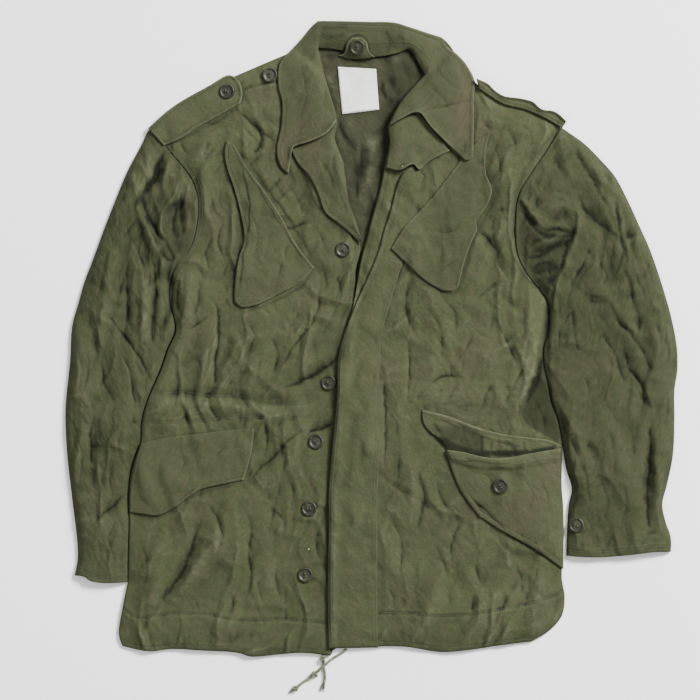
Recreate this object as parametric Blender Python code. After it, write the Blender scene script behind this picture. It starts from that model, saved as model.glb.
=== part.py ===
"""Field jacket of heavy worn cotton, laid flat on its back with the fronts half open.

Every piece that a maker cuts or sews on is one closed solid: a cloth wall over a grid that is
stretched between the piece's own cut edges. The pieces are laid one on another from the table
up, so each rests on what lies below it. Lengths in the tables are millimetres, in the plane of
the table: +X is the wearer's left, +Y is towards the collar, +Z is up. The model is in metres.
"""

import math

import bmesh
import bpy
import numpy as np

# ---------------------------------------------------------------- driving dimensions, mm
WALL = 2.0                 # heavy cotton with its turnings
LABEL_WALL = 1.0
GAP = 0.3                  # between neighbouring pieces
SEAM_INSET = 0.25          # how far each piece stays inside the line it shares with the next
PUFF = 3.4                 # how far a front stands off the back, away from its edges
PUFF_REACH = 22.0          # width of the strip in which a front comes down to its edge
SLEEVE_HEIGHT = 7.8        # flat sleeve, both layers and the air between them
SLEEVE_EDGE = 2.4          # height of the sleeve's side fold above the table
SLEEVE_LEAST = 4.7         # lowest that the upper layer of a sleeve may dip
SLEEVE_TURN = 0.6          # how far into its outermost strip a sleeve's side fold is solid
SLEEVE_REACH = 26.0        # width of the strip in which a sleeve rounds off
BUTTON_RADIUS = 10.0
CORD_DIAMETER = 3.8
CORD_STEP = 5.5            # between the points of a cord's middle line
OFF_TABLE = 0.1            # air under the drawstring
MIDDLE = (0.1, -0.9)       # middle of the whole garment in the drawing's plane

# ---------------------------------------------------------------- cut edges, x and y in mm
SHOULDER_RIGHT = (
    (-287, 286), (-261, 307), (-216, 333), (-183, 347), (-146, 363), (-108, 379),
)
ARMHOLE_RIGHT = (
    (-287, 286), (-272, 252), (-255, 232), (-239, 210), (-231, 186), (-232, 150), (-241, 119),
    (-259, 98),
)
SIDE_RIGHT = (
    (-259, 98), (-267, 77), (-268, 46), (-260, 10), (-271, -16), (-279, -40), (-289, -63),
    (-299, -86), (-306, -113), (-307, -139), (-317, -168), (-322, -196), (-322, -250), (-323, -281),
    (-324, -325),
)
SKIRT_RIGHT = (
    (-324, -325), (-331, -359), (-336, -394), (-331, -410),
)
HEM_RIGHT = (
    (-331, -410), (-295, -417), (-267, -414), (-224, -416), (-178, -419), (-160, -424),
    (-122, -421), (-94, -419), (-54, -423),
)
CENTRE_RIGHT = (
    (-108, 379), (-71, 348), (-54, 319), (-46, 288), (-49, 262), (-38, 232), (-30, 182), (-18, 137),
    (-15, 117), (-21, 90), (-22, 62), (-29, -16), (-41, -137), (-49, -256), (-53, -349),
    (-54, -423),
)
SLEEVE_RIGHT_OUTER = (
    (-287, 286), (-297, 275), (-306, 256), (-325, 220), (-338, 189), (-356, 143), (-370, 105),
    (-382, 73), (-390, 45), (-398, 16), (-401, -32), (-407, -96), (-405, -152), (-398, -215),
    (-391, -276), (-391, -296), (-395, -316),
)
CUFF_RIGHT = (
    (-395, -316), (-382, -318), (-374, -323), (-358, -326), (-324, -325),
)
SHOULDER_LEFT = (
    (111, 379), (126, 363), (138, 340), (151, 328), (175, 313), (204, 305), (235, 291), (252, 280),
)
ARMHOLE_LEFT = (
    (252, 280), (231, 246), (208, 212), (195, 188), (191, 154), (194, 110), (209, 82), (233, 57),
)
SIDE_LEFT = (
    (233, 57), (235, 34), (234, 8), (228, -15), (229, -38), (234, -61), (238, -84), (247, -109),
    (254, -145),
)
SKIRT_LEFT = (
    (254, -145), (253, -201), (255, -226), (255, -288), (253, -318), (257, -346), (253, -370),
    (237, -389), (212, -404),
)
HEM_LEFT = (
    (-51, -413), (-6, -411), (45, -411), (91, -418), (131, -415), (171, -409), (212, -404),
)
CENTRE_LEFT = (
    (111, 379), (88, 348), (65, 327), (39, 308), (22, 280), (24, 260), (19, 236), (13, 204),
    (3, 167), (-6, 133), (-14, 101), (-22, 55), (-34, -3), (-41, -36), (-44, -103), (-50, -156),
    (-53, -216), (-54, -302), (-53, -386), (-51, -413),
)
FLY_EDGE = (
    (55, 228), (42, 218), (33, 199), (26, 170), (17, 143), (10, 117), (1, 93), (-11, 67), (-24, 37),
    (-39, -3), (-45, -34), (-45, -67), (-48, -104), (-53, -156), (-57, -201), (-57, -253),
    (-58, -302), (-58, -386), (-57, -413),
)
FLY_STITCHES = (
    (70, 215), (59, 170), (47, 119), (30, 63), (17, 17), (12, -19), (11, -83), (11, -149),
    (9, -189), (8, -296), (8, -366), (9, -412),
)
SLEEVE_LEFT_OUTER = (
    (252, 280), (265, 271), (283, 258), (305, 236), (324, 214), (342, 180), (357, 147), (370, 118),
    (384, 78), (398, 30), (406, -11), (407, -42), (403, -70), (403, -109), (401, -156), (393, -196),
    (387, -221), (391, -244), (398, -265), (398, -285),
)
CUFF_VENT_LEFT = (
    (254, -145), (259, -176), (266, -201), (262, -223), (260, -256), (259, -290),
)
CUFF_LEFT = (
    (398, -285), (377, -285), (342, -289), (297, -292), (259, -290),
)
NECK_SEAM = (
    (-108, 379), (-90, 383), (-70, 383), (-43, 382), (-18, 376), (7, 374), (37, 379), (51, 385),
    (78, 387), (111, 379),
)
NECK_ROLL = (
    (-108, 379), (-95, 395), (-72, 421), (-45, 421), (-7, 420), (30, 419), (51, 413), (75, 405),
    (94, 399), (111, 379),
)
LEAF_RIGHT_END = (
    (-46, 288), (-59, 271), (-74, 263), (-88, 258), (-104, 252), (-107, 235), (-110, 218),
)
LEAF_RIGHT_INNER = (
    (-46, 288), (-54, 320), (-61, 344), (-66, 364), (-71, 385),
)
LEAF_RIGHT_OUTER = (
    (-110, 218), (-120, 226), (-126, 248), (-120, 282), (-119, 313), (-124, 335), (-122, 364),
    (-108, 381), (-95, 395), (-72, 421),
)
BAND_INNER = (
    (-71, 385), (-43, 382), (-18, 375), (7, 373), (35, 378), (50, 383), (61, 367), (71, 349),
)
BAND_OUTER = (
    (-72, 421), (-45, 421), (-7, 420), (30, 419), (51, 413), (75, 405), (94, 399),
)
LEAF_LEFT_INNER = (
    (71, 349), (55, 332), (38, 312), (22, 280),
)
LEAF_LEFT_OUTER = (
    (94, 399), (100, 387), (111, 379), (126, 363), (137, 341), (136, 321), (136, 283), (135, 240),
)
LEAF_LEFT_END = (
    (22, 280), (39, 290), (62, 299), (78, 280), (98, 260), (116, 243), (126, 235), (135, 240),
)
LAPEL_RIGHT_GORGE = (
    (-46, 288), (-59, 271), (-74, 263), (-88, 258), (-107, 250),
)
LAPEL_RIGHT_EDGE = (
    (-107, 250), (-98, 232), (-83, 215), (-72, 194), (-61, 166), (-45, 153), (-30, 141), (-14, 125),
)
LAPEL_RIGHT_ROLL = (
    (-46, 288), (-49, 266), (-43, 248), (-37, 232), (-35, 207), (-30, 182), (-23, 161), (-13, 130),
)
LAPEL_RIGHT_TIP = (
    (-13, 130), (-14, 125),
)
LAPEL_LEFT_GORGE = (
    (22, 280), (39, 290), (62, 299),
)
LAPEL_LEFT_NOTCH = (
    (62, 299), (78, 280), (92, 263), (104, 248),
)
LAPEL_LEFT_ROLL = (
    (22, 280), (24, 260), (22, 244), (19, 226),
)
LAPEL_LEFT_EDGE = (
    (19, 226), (37, 222), (55, 230), (63, 223), (75, 233), (104, 248),
)
STRAP_RIGHT_UPPER = (
    (-297, 278), (-261, 309), (-216, 335), (-191, 349), (-183, 347),
)
STRAP_RIGHT_LOWER = (
    (-276, 255), (-254, 264), (-231, 279), (-200, 296), (-174, 311),
)
STRAP_RIGHT_OUT = (
    (-297, 278), (-276, 255),
)
STRAP_RIGHT_IN = (
    (-183, 347), (-175, 339), (-171, 325), (-174, 311),
)
STRAP_LEFT_UPPER = (
    (139, 344), (155, 337), (163, 329), (176, 321), (197, 318), (215, 313), (225, 304), (244, 300),
    (259, 287),
)
STRAP_LEFT_LOWER = (
    (142, 331), (151, 325), (176, 310), (204, 303), (221, 296), (239, 287), (253, 278),
)
STRAP_LEFT_IN = (
    (139, 344), (142, 331),
)
STRAP_LEFT_OUT = (
    (259, 287), (253, 278),
)
CHEST_RIGHT_TOP = (
    (-191, 262), (-181, 255),
)
CHEST_RIGHT_HIND = (
    (-191, 262), (-195, 248), (-192, 226), (-183, 200), (-174, 165), (-169, 130), (-176, 107),
    (-181, 75), (-181, 47), (-172, 40),
)
CHEST_RIGHT_FORE = (
    (-181, 255), (-164, 224), (-143, 196), (-118, 157), (-102, 127), (-76, 93),
)
CHEST_RIGHT_BOTTOM = (
    (-172, 40), (-154, 43), (-122, 58), (-96, 73), (-76, 93),
)
CHEST_LEFT_TOP = (
    (142, 263), (158, 274),
)
CHEST_LEFT_FORE = (
    (142, 263), (119, 236), (90, 198), (67, 171), (44, 147), (26, 118),
)
CHEST_LEFT_HIND = (
    (158, 274), (152, 248), (152, 218), (160, 195), (152, 173), (139, 155), (140, 143), (132, 125),
    (124, 103), (116, 69),
)
CHEST_LEFT_BOTTOM = (
    (26, 118), (49, 96), (67, 79), (82, 69), (96, 62), (107, 62), (116, 69),
)
LOWER_RIGHT_TOP = (
    (-306, -140), (-274, -133), (-234, -128), (-175, -121), (-156, -121),
)
LOWER_RIGHT_FORE = (
    (-156, -121), (-160, -156), (-170, -189),
)
LOWER_RIGHT_BOTTOM = (
    (-321, -232), (-304, -234), (-284, -236), (-261, -225), (-239, -209), (-225, -201),
    (-200, -195), (-170, -189),
)
LOWER_RIGHT_HIND = (
    (-306, -140), (-315, -168), (-320, -196), (-321, -232),
)
TUCKED_TOP = (
    (67, -96), (104, -105), (132, -116), (170, -127), (213, -133), (235, -136), (252, -143),
)
TUCKED_FORE = (
    (67, -96), (69, -114), (80, -127),
)
TUCKED_BOTTOM = (
    (80, -127), (95, -139), (107, -159), (144, -171), (188, -171), (247, -160),
)
TUCKED_HIND = (
    (252, -143), (247, -160),
)
POCKET_MOUTH = (
    (99, -149), (123, -152), (142, -157), (164, -160), (188, -158), (213, -153), (252, -147),
)
POCKET_FORE = (
    (99, -149), (107, -177), (119, -204), (142, -236),
)
POCKET_BOTTOM = (
    (142, -236), (176, -258), (216, -280), (255, -308),
)
POCKET_HIND = (
    (252, -147), (253, -201), (255, -226), (255, -308),
)
TAB_FORE = (
    (-41, 375), (-34, 391), (-27, 397),
)
TAB_TOP = (
    (-27, 397), (-13, 397),
)
TAB_HIND = (
    (-13, 397), (-5, 391), (-3, 373),
)
TAB_BOTTOM = (
    (-41, 375), (-22, 372), (-3, 373),
)
LABEL_TOP = (
    (-45, 360), (6, 357),
)
LABEL_BOTTOM = (
    (-39, 297), (10, 303),
)
LABEL_SIDE = (
    (-45, 360), (-39, 297),
)
LABEL_FAR_SIDE = (
    (6, 357), (10, 303),
)

# Main folds. Columns: piece, height over the cloth round it (below 0 is a trough), half width,
# and the points that the fold runs through.
FOLDS = (
    ("front_right", 5, 17, ((-251, 73), (-249, 10), (-261, -22), (-279, -67), (-293, -109))),
    ("front_right", 3, 16, ((-220, 17), (-217, -30), (-224, -67))),
    ("front_right", 3, 15, ((-281, -93), (-208, -90), (-151, -96), (-95, -97), (-66, -90))),
    ("front_right", -3, 12, ((-285, -75), (-208, -75), (-151, -84), (-108, -87))),
    ("front_right", 4, 16, ((-116, -48), (-82, -32), (-50, -11))),
    ("front_right", -3, 12, ((-108, -68), (-82, -55), (-45, -26))),
    ("front_right", -3, 12, ((-87, -131), (-49, -111))),
    ("front_right", 3, 14, ((-162, -216), (-132, -192), (-100, -156))),
    ("front_right", -3, 12, ((-175, -200), (-143, -168), (-116, -141))),
    ("front_right", 5, 17, ((-201, -256), (-215, -285), (-236, -312), (-257, -344))),
    ("front_right", -3, 13, ((-229, -246), (-239, -282), (-253, -313), (-276, -348))),
    ("front_right", 4, 16, ((-224, 232), (-221, 188), (-217, 149))),
    ("front_right", 4, 16, ((-241, 101), (-245, 50), (-236, 10))),
    ("front_right", 3, 16, ((-146, 26), (-143, -16), (-154, -54))),
    ("front_right", 3, 17, ((-281, -269), (-292, -322), (-297, -369))),
    ("front_right", 3, 17, ((-146, -242), (-138, -296), (-146, -356))),
    ("front_left", 4, 16, ((178, 250), (180, 196), (175, 146), (176, 101))),
    ("front_left", -3, 12, ((146, 138), (166, 110), (176, 85))),
    ("front_left", 6, 18, ((215, 50), (211, -3), (196, -46), (178, -88))),
    ("front_left", -3, 17, ((231, -19), (223, -72), (232, -120))),
    ("front_left", 3, 17, ((38, -70), (91, -79), (139, -72), (171, -80))),
    ("front_left", 3, 18, ((96, 34), (83, -16), (74, -62))),
    ("front_left", 3, 17, ((152, 37), (150, -10), (131, -51))),
    ("front_left", 4, 17, ((94, -296), (82, -349), (59, -402))),
    ("front_left", 4, 17, ((182, -304), (158, -349), (147, -397))),
    ("front_left", 3, 17, ((38, -136), (51, -189), (43, -256))),
    ("sleeve_right", 5, 16, ((-297, 239), (-315, 190), (-320, 149))),
    ("sleeve_right", -3, 13, ((-277, 239), (-293, 203), (-309, 174))),
    ("sleeve_right", 5, 14, ((-253, 202), (-275, 166), (-279, 146), (-271, 117))),
    ("sleeve_right", 4, 13, ((-303, 175), (-291, 135), (-281, 109))),
    ("sleeve_right", 4, 18, ((-344, 130), (-358, 66), (-366, 10))),
    ("sleeve_right", 5, 17, ((-309, 63), (-312, 0), (-324, -51))),
    ("sleeve_right", -3, 15, ((-356, 10), (-354, -63), (-342, -88))),
    ("sleeve_right", 4, 16, ((-382, 2), (-384, -63), (-380, -123))),
    ("sleeve_right", 4, 16, ((-329, -88), (-337, -149), (-345, -208))),
    ("sleeve_right", -3, 14, ((-366, -103), (-372, -169))),
    ("sleeve_right", -3, 14, ((-325, -211), (-350, -232), (-372, -256))),
    ("sleeve_right", 3, 16, ((-380, -216), (-372, -285))),
    ("sleeve_left", 5, 15, ((259, 220), (235, 173), (221, 146), (236, 114))),
    ("sleeve_left", -3, 14, ((273, 196), (291, 162), (312, 143), (333, 131))),
    ("sleeve_left", 5, 16, ((301, 202), (320, 159), (331, 109), (333, 71))),
    ("sleeve_left", -3, 12, ((325, 180), (338, 127), (349, 77))),
    ("sleeve_left", 4, 17, ((283, 114), (304, 63), (331, 26), (354, -16))),
    ("sleeve_left", 5, 17, ((370, 37), (382, -16), (385, -83))),
    ("sleeve_left", -3, 14, ((332, 0), (344, -51), (366, -104))),
    ("sleeve_left", -3, 14, ((373, -123), (366, -189), (370, -253))),
    ("sleeve_left", 4, 14, ((385, -136), (378, -203), (384, -256))),
    ("sleeve_left", 4, 16, ((251, -88), (267, -128), (280, -179), (291, -224))),
    ("sleeve_left", 4, 17, ((307, -109), (333, -171), (352, -236))),
    ("sleeve_left", -3, 14, ((293, 24), (320, -27), (341, -78))),
)

# Buttons. Columns: name, x, y.
BUTTONS = (
    ("front_button_1", -38, 117),
    ("front_button_2", -57, -60),
    ("front_button_3", -74, -138),
    ("front_button_4", -83, -227),
    ("front_button_5", -88, -315),
    ("strap_button_right", -192, 327),
    ("collar_button_right", -135, 349),
    ("neck_tab_button", -19, 385),
    ("pocket_button_left", 171, -197),
    ("cuff_button_left", 272, -249),
)

# Ends of the hem's drawstring: the points that each stretch runs through.
CORD_A = ((-64, -433), (-64, -437), (-63, -441), (-62, -447), (-62, -453), (-63, -459))
CORD_B = (
    (-34, -414), (-37, -417), (-41, -420), (-46, -423),
    (-54, -428), (-62, -435), (-67, -439), (-72, -444),
)
CORD_B2 = ((-81, -451), (-86, -455), (-91, -458), (-97, -463))

# Knots. Columns: name, x, y, length, width, height.
KNOTS = (
    ("knot_a", -64.6, -427.2, 9.0, 11.0, 7.0),
    ("knot_b", -76.4, -448.1, 10.6, 10.6, 7.0),
    ("knot_b_end", -100.7, -466.0, 9.0, 9.0, 6.0),
)

# Steps along the shared seams.
COLUMNS_SLEEVE = 9
ROWS_SIDE = 26             # down the right side, from the armpit to the cuff
ROWS_SKIRT = 4             # and on to the hem
ROWS_SIDE_LEFT = 14        # down the left side, from the armpit to the cuff's vent
ROWS_VENT = 10
ROWS_SKIRT_LEFT = 12

# How each piece of cloth lies on the others. Columns: steps across, steps down, how high its
# highest point stands off what it lies on, and how far round each point it clears the pile.
LAID = {
    "label": (3, 3, 0.0, 1),
    "front_right": (14, COLUMNS_SLEEVE + ROWS_SIDE + ROWS_SKIRT, PUFF, 1),
    "front_left": (14, COLUMNS_SLEEVE + ROWS_SIDE_LEFT + ROWS_SKIRT_LEFT, PUFF, 20),
    "fly": (3, 34, 0.2, 14),
    "chest_flap_right": (6, 13, 0.3, 14),
    "lower_flap_right": (10, 6, 0.3, 14),
    "chest_flap_left": (6, 13, 0.3, 14),
    "lower_flap_left": (10, 4, 0.3, 14),
    "lower_pocket_left": (9, 9, 3.0, 14),
    "lapel_right": (6, 11, 5.0, 10),
    "lapel_left": (6, 6, 4.0, 10),
    "collar": (6, 9, 7.0, 12),
    "neck_tab": (4, 4, 0.3, 6),
    "strap_right": (4, 9, 0.0, 6),
    "strap_left": (3, 12, 9.0, 4),
}
BAND_STEPS = 11            # of the collar, between its two leaves
BAND_EDGE = 1.5            # how high the collar's band stands off the neck seam at its edges
BAND_ROLL = 6.0            # and how much higher in its middle

# Finishes. Columns: red, green, blue (linear), roughness.
FINISHES = {
    "olive_cotton": (0.098, 0.112, 0.052, 0.92),
    "olive_inside": (0.086, 0.090, 0.052, 0.95),
    "label_tape": (0.80, 0.80, 0.78, 0.80),
    "button_dark": (0.020, 0.024, 0.014, 0.35),
    "drawstring": (0.16, 0.18, 0.10, 0.95),
}


# ---------------------------------------------------------------- lines and grids
def smooth_line(points, per_span=10):
    """A smooth curve through the points, as many short steps."""
    points = np.array(points, float)
    if len(points) < 3:
        share = np.linspace(0, 1, per_span + 1)[:, None]
        return points[0] * (1 - share) + points[1] * share
    spans = np.sqrt(np.linalg.norm(np.diff(points, axis=0), axis=1))
    slopes = np.diff(points, axis=0) / spans[:, None]
    tangents = np.empty_like(points)
    weight = (spans[:-1] / (spans[:-1] + spans[1:]))[:, None]
    tangents[1:-1] = slopes[:-1] * (1 - weight) + slopes[1:] * weight
    tangents[0] = 1.5 * slopes[0] - 0.5 * tangents[1]
    tangents[-1] = 1.5 * slopes[-1] - 0.5 * tangents[-2]
    share = np.linspace(0, 1, per_span, endpoint=False)[:, None]
    pieces = []
    for i, span in enumerate(spans):
        pieces.append(
            (2 * share**3 - 3 * share**2 + 1) * points[i]
            + (share**3 - 2 * share**2 + share) * span * tangents[i]
            + (3 * share**2 - 2 * share**3) * points[i + 1]
            + (share**3 - share**2) * span * tangents[i + 1]
        )
    pieces.append(points[-1:])
    return np.concatenate(pieces)


def line_at(points, shares):
    """Points on the smooth curve at these shares of its length."""
    dense = smooth_line(points)
    run = np.concatenate([[0], np.cumsum(np.linalg.norm(np.diff(dense, axis=0), axis=1))])
    want = np.asarray(shares) * run[-1]
    return np.stack([np.interp(want, run, dense[:, k]) for k in (0, 1)], axis=1)


def even(points, steps):
    """Evenly spaced points on the smooth curve."""
    return line_at(points, np.linspace(0, 1, steps + 1))


def joined(*lines):
    """Lines laid end to end, each starting on the last point of the one before."""
    return np.concatenate([lines[0]] + [line[1:] for line in lines[1:]])


def patch(start, end, left, right):
    """Grid between four edges: start and end run left to right, left and right run start to end."""
    rows, columns = len(left), len(start)
    down = np.linspace(0, 1, rows)[:, None, None]
    over = np.linspace(0, 1, columns)[None, :, None]
    ruled = (1 - down) * start[None] + down * end[None]
    ruled += (1 - over) * left[:, None] + over * right[:, None]
    corners = (1 - down) * ((1 - over) * start[0] + over * start[-1])
    corners += down * ((1 - over) * end[0] + over * end[-1])
    return relaxed(ruled - corners)


def relaxed(grid, rounds=500):
    """The grid with its inner points moved so that its lines never cross, also by a hollow edge."""
    for _ in range(rounds):
        across = (grid[1:-1, 2:] - grid[1:-1, :-2]) / 2
        down = (grid[2:, 1:-1] - grid[:-2, 1:-1]) / 2
        pull_across = (down**2).sum(axis=-1, keepdims=True)
        pull_down = (across**2).sum(axis=-1, keepdims=True)
        skew = (across * down).sum(axis=-1, keepdims=True) / 2
        twist = grid[2:, 2:] - grid[2:, :-2] - grid[:-2, 2:] + grid[:-2, :-2]
        moved = pull_across * (grid[1:-1, 2:] + grid[1:-1, :-2])
        moved += pull_down * (grid[2:, 1:-1] + grid[:-2, 1:-1]) - skew * twist
        grid[1:-1, 1:-1] = moved / np.maximum(2 * (pull_across + pull_down), 1e-9)
    return grid


def border(rows, columns):
    """Indices of a grid's outermost points, in one round."""
    index = np.arange(rows * columns).reshape(rows, columns)
    return np.concatenate([index[0, :-1], index[:-1, -1], index[-1, :0:-1], index[:0:-1, 0]])


def shrunk(outline, distance=SEAM_INSET):
    """A closed outline with each point moved inwards, square to its neighbours."""
    after, before = np.roll(outline, -1, axis=0), np.roll(outline, 1, axis=0)
    step = after - before
    normal = np.stack([-step[:, 1], step[:, 0]], 1)
    normal /= np.linalg.norm(normal, axis=1, keepdims=True)
    area = (outline[:, 0] * after[:, 1] - outline[:, 1] * after[:, 0]).sum()
    return outline + normal * distance * (1 if area > 0 else -1)


def inset(grid, distance=SEAM_INSET):
    """The grid with its outermost points moved inwards, off the shared seam lines."""
    flat = grid.reshape(-1, 2).copy()
    ring = border(*grid.shape[:2])
    flat[ring] = shrunk(flat[ring], distance)
    return flat.reshape(grid.shape)


def distance_to(grid, line):
    """Distance from each point of the grid to a line of points, and the share of its length."""
    flat = grid.reshape(-1, 2)
    start, step = line[:-1], np.diff(line, axis=0)
    size = np.maximum((step**2).sum(axis=1), 1e-9)
    offset = flat[:, None] - start[None]
    along = np.clip((offset * step[None]).sum(axis=2) / size, 0, 1)
    gaps = np.linalg.norm(offset - along[..., None] * step[None], axis=2)
    nearest = gaps.argmin(axis=1)
    rows = np.arange(len(flat))
    run = np.concatenate([[0], np.cumsum(np.sqrt(size))])
    share = (run[nearest] + along[rows, nearest] * np.sqrt(size)[nearest]) / run[-1]
    shape = grid.shape[:-1]
    return gaps[rows, nearest].reshape(shape), share.reshape(shape)


def folds_on(piece, grid):
    """Height that the piece's main folds add at each point of its grid."""
    total = np.zeros(grid.shape[:-1])
    for owner, height, half_width, path in FOLDS:
        if owner != piece:
            continue
        gap, share = distance_to(grid, smooth_line(path, 4))
        across = 0.5 + 0.5 * np.cos(np.pi * np.minimum(gap / half_width, 1))
        along = 0.35 + 0.65 * np.sin(np.pi * np.clip(share, 0, 1))
        total += height * across * along
    return total


def rise_from(grid, edges, height, reach):
    """Height that grows from 0 on the edges to its full value within reach of them."""
    gap = np.min([distance_to(grid, edge)[0] for edge in edges], axis=0)
    return height * (1 - (1 - np.minimum(gap / reach, 1)) ** 2)


# ---------------------------------------------------------------- the pile of cloth so far
class Pile:
    """Height of the topmost surface laid so far, on a square grid over the table."""

    CELL = 2.0
    HALF = 460.0

    def __init__(self):
        count = int(2 * self.HALF / self.CELL)
        self.heights = np.zeros((count, count))

    def cells(self, points):
        index = np.floor((points[..., :2] + self.HALF) / self.CELL).astype(int)
        return index[..., 0], index[..., 1]

    def add(self, points, faces, steps=20):
        """Record a mesh: every face is sampled more finely than the grid's cells."""
        corners = points[faces]
        for i in range(steps + 1):
            for j in range(steps + 1 - i):
                weights = np.array([i, j, steps - i - j]) / steps
                samples = np.einsum("k,nkd->nd", weights, corners)
                np.maximum.at(self.heights, self.cells(samples), samples[:, 2])

    def top(self, grid, reach):
        """Highest surface within reach of each point of the grid."""
        cells = max(1, int(math.ceil(reach / self.CELL)))
        rows = self.heights
        for axis in (0, 1):
            rows = np.max([np.roll(rows, k, axis) for k in range(-cells, cells + 1)], axis=0)
        return rows[self.cells(grid)]


def drape(pile, grid, relief, reach, rounds=2):
    """Underside of a piece laid on the pile: it clears everything and has no sharp steps."""
    support = pile.top(grid, reach)
    for _ in range(rounds):
        padded = np.pad(support, 1, mode="edge")
        mean = (padded[:-2, 1:-1] + padded[2:, 1:-1] + padded[1:-1, :-2] + padded[1:-1, 2:]) / 4
        support = np.maximum(support, mean)
    return support + GAP + np.maximum(relief, 0)


# ---------------------------------------------------------------- solids
def halves(points, quads):
    """Two triangles for each quad, cut along the diagonal that stays inside it in plan."""
    a, b, c, d = (points[quads[:, k], :2] for k in range(4))

    def area(p, q, r):
        return (q[:, 0] - p[:, 0]) * (r[:, 1] - p[:, 1]) - (r[:, 0] - p[:, 0]) * (q[:, 1] - p[:, 1])

    turn = np.sign(area(a, b, c) + area(a, c, d))
    first = np.minimum(turn * area(a, b, c), turn * area(a, c, d))
    second = np.minimum(turn * area(a, b, d), turn * area(b, c, d))
    order = np.where((first >= second)[:, None], [[0, 1, 2, 0, 2, 3]], [[0, 1, 3, 1, 2, 3]])
    return np.take_along_axis(quads, order, axis=1).reshape(-1, 3)


def grid_quads(rows, columns):
    """One quad for each cell of a grid of points."""
    index = np.arange(rows * columns).reshape(rows, columns)
    corners = index[:-1, :-1], index[1:, :-1], index[1:, 1:], index[:-1, 1:]
    return np.stack([corner.ravel() for corner in corners], axis=1)


def rim_faces(rows, columns, shift):
    """Triangles that join the borders of two like grids, the second shift points later."""
    ring = border(rows, columns)
    after = np.roll(ring, -1)
    return np.concatenate(
        [np.stack([ring, after, after + shift], 1), np.stack([ring, after + shift, ring + shift], 1)]
    )


def outward(points, faces):
    """The faces, turned so that they enclose a positive volume."""
    corners = points[faces]
    volume = np.einsum("nd,nd->n", corners[:, 0], np.cross(corners[:, 1], corners[:, 2])).sum()
    return faces if volume > 0 else faces[:, ::-1]


def wall(grid, under, thickness=WALL):
    """Points and faces of a cloth wall whose underside is given at each point of the grid."""
    rows, columns = grid.shape[:2]
    top = np.dstack([grid, under + thickness]).reshape(-1, 3)
    bottom = np.dstack([grid, under]).reshape(-1, 3)
    points = np.concatenate([top, bottom])
    count = rows * columns
    upper = halves(points, grid_quads(rows, columns))
    faces = np.concatenate([upper, upper[:, ::-1] + count, rim_faces(rows, columns, count)])
    # the grid's handedness decides which way all of these faces point together
    return points, outward(points, faces)


def finish_of(name):
    """The finish's material, made once."""
    material = bpy.data.materials.get(name)
    if material is None:
        material = bpy.data.materials.new(name)
        material.use_nodes = True
        shader = material.node_tree.nodes["Principled BSDF"]
        red, green, blue, roughness = FINISHES[name]
        shader.inputs["Base Color"].default_value = (red, green, blue, 1)
        shader.inputs["Roughness"].default_value = roughness
        material.diffuse_color = (red, green, blue, 1)
    return material


def add_solid(name, points, faces, finish="olive_cotton"):
    """One named object from points in millimetres."""
    middle = np.array([MIDDLE[0], MIDDLE[1], 0.0])
    mesh = bpy.data.meshes.new(name)
    mesh.from_pydata(((points - middle) / 1000).tolist(), [], faces.tolist())
    mesh.materials.append(finish_of(finish))
    mesh.shade_smooth()
    made = bpy.data.objects.new(name, mesh)
    bpy.context.scene.collection.objects.link(made)
    return made


def slab(name, outline, low, high, finish):
    """A flat piece cut to an outline."""
    work = bmesh.new()
    middle = np.array(MIDDLE)
    ring = [work.verts.new((*((p - middle) / 1000), low / 1000)) for p in outline]
    face = work.faces.new(ring)
    moved = bmesh.ops.extrude_face_region(work, geom=[face])["geom"]
    risen = [v for v in moved if isinstance(v, bmesh.types.BMVert)]
    bmesh.ops.translate(work, verts=risen, vec=(0, 0, (high - low) / 1000))
    bmesh.ops.recalc_face_normals(work, faces=work.faces)
    bmesh.ops.triangulate(work, faces=work.faces)
    mesh = bpy.data.meshes.new(name)
    work.to_mesh(mesh)
    work.free()
    mesh.materials.append(finish_of(finish))
    made = bpy.data.objects.new(name, mesh)
    bpy.context.scene.collection.objects.link(made)
    return made


# ---------------------------------------------------------------- shared seam lines
armhole_right = even(ARMHOLE_RIGHT, COLUMNS_SLEEVE)
side_right = even(SIDE_RIGHT, ROWS_SIDE)
skirt_right = even(SKIRT_RIGHT, ROWS_SKIRT)
armhole_left = even(ARMHOLE_LEFT, COLUMNS_SLEEVE)
side_left = even(SIDE_LEFT, ROWS_SIDE_LEFT)
skirt_left = even(SKIRT_LEFT, ROWS_SKIRT_LEFT)
vent_left = even(CUFF_VENT_LEFT, ROWS_VENT)
neck_seam = even(NECK_SEAM, 16)


# ---------------------------------------------------------------- the pieces
def make_backs():
    """The back, and the under collar that is folded out behind its neck seam."""
    body = joined(
        armhole_right[::-1],
        even(SHOULDER_RIGHT, 8),
        neck_seam,
        even(SHOULDER_LEFT, 8),
        armhole_left,
        side_left,
        skirt_left,
        even(HEM_LEFT, 12)[::-1],
        np.array([HEM_LEFT[0], HEM_RIGHT[-1]], float),
        even(HEM_RIGHT, 12)[::-1],
        skirt_right[::-1],
        side_right[::-1],
    )[:-1]
    slab("back", shrunk(body), 0, WALL, "olive_inside")
    collar = joined(even(NECK_ROLL, 16), neck_seam[::-1])[:-1]
    inner = shrunk(collar, 2 * SEAM_INSET)
    slab("under_collar", inner, 0, WALL, "olive_cotton")
    return body


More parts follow.
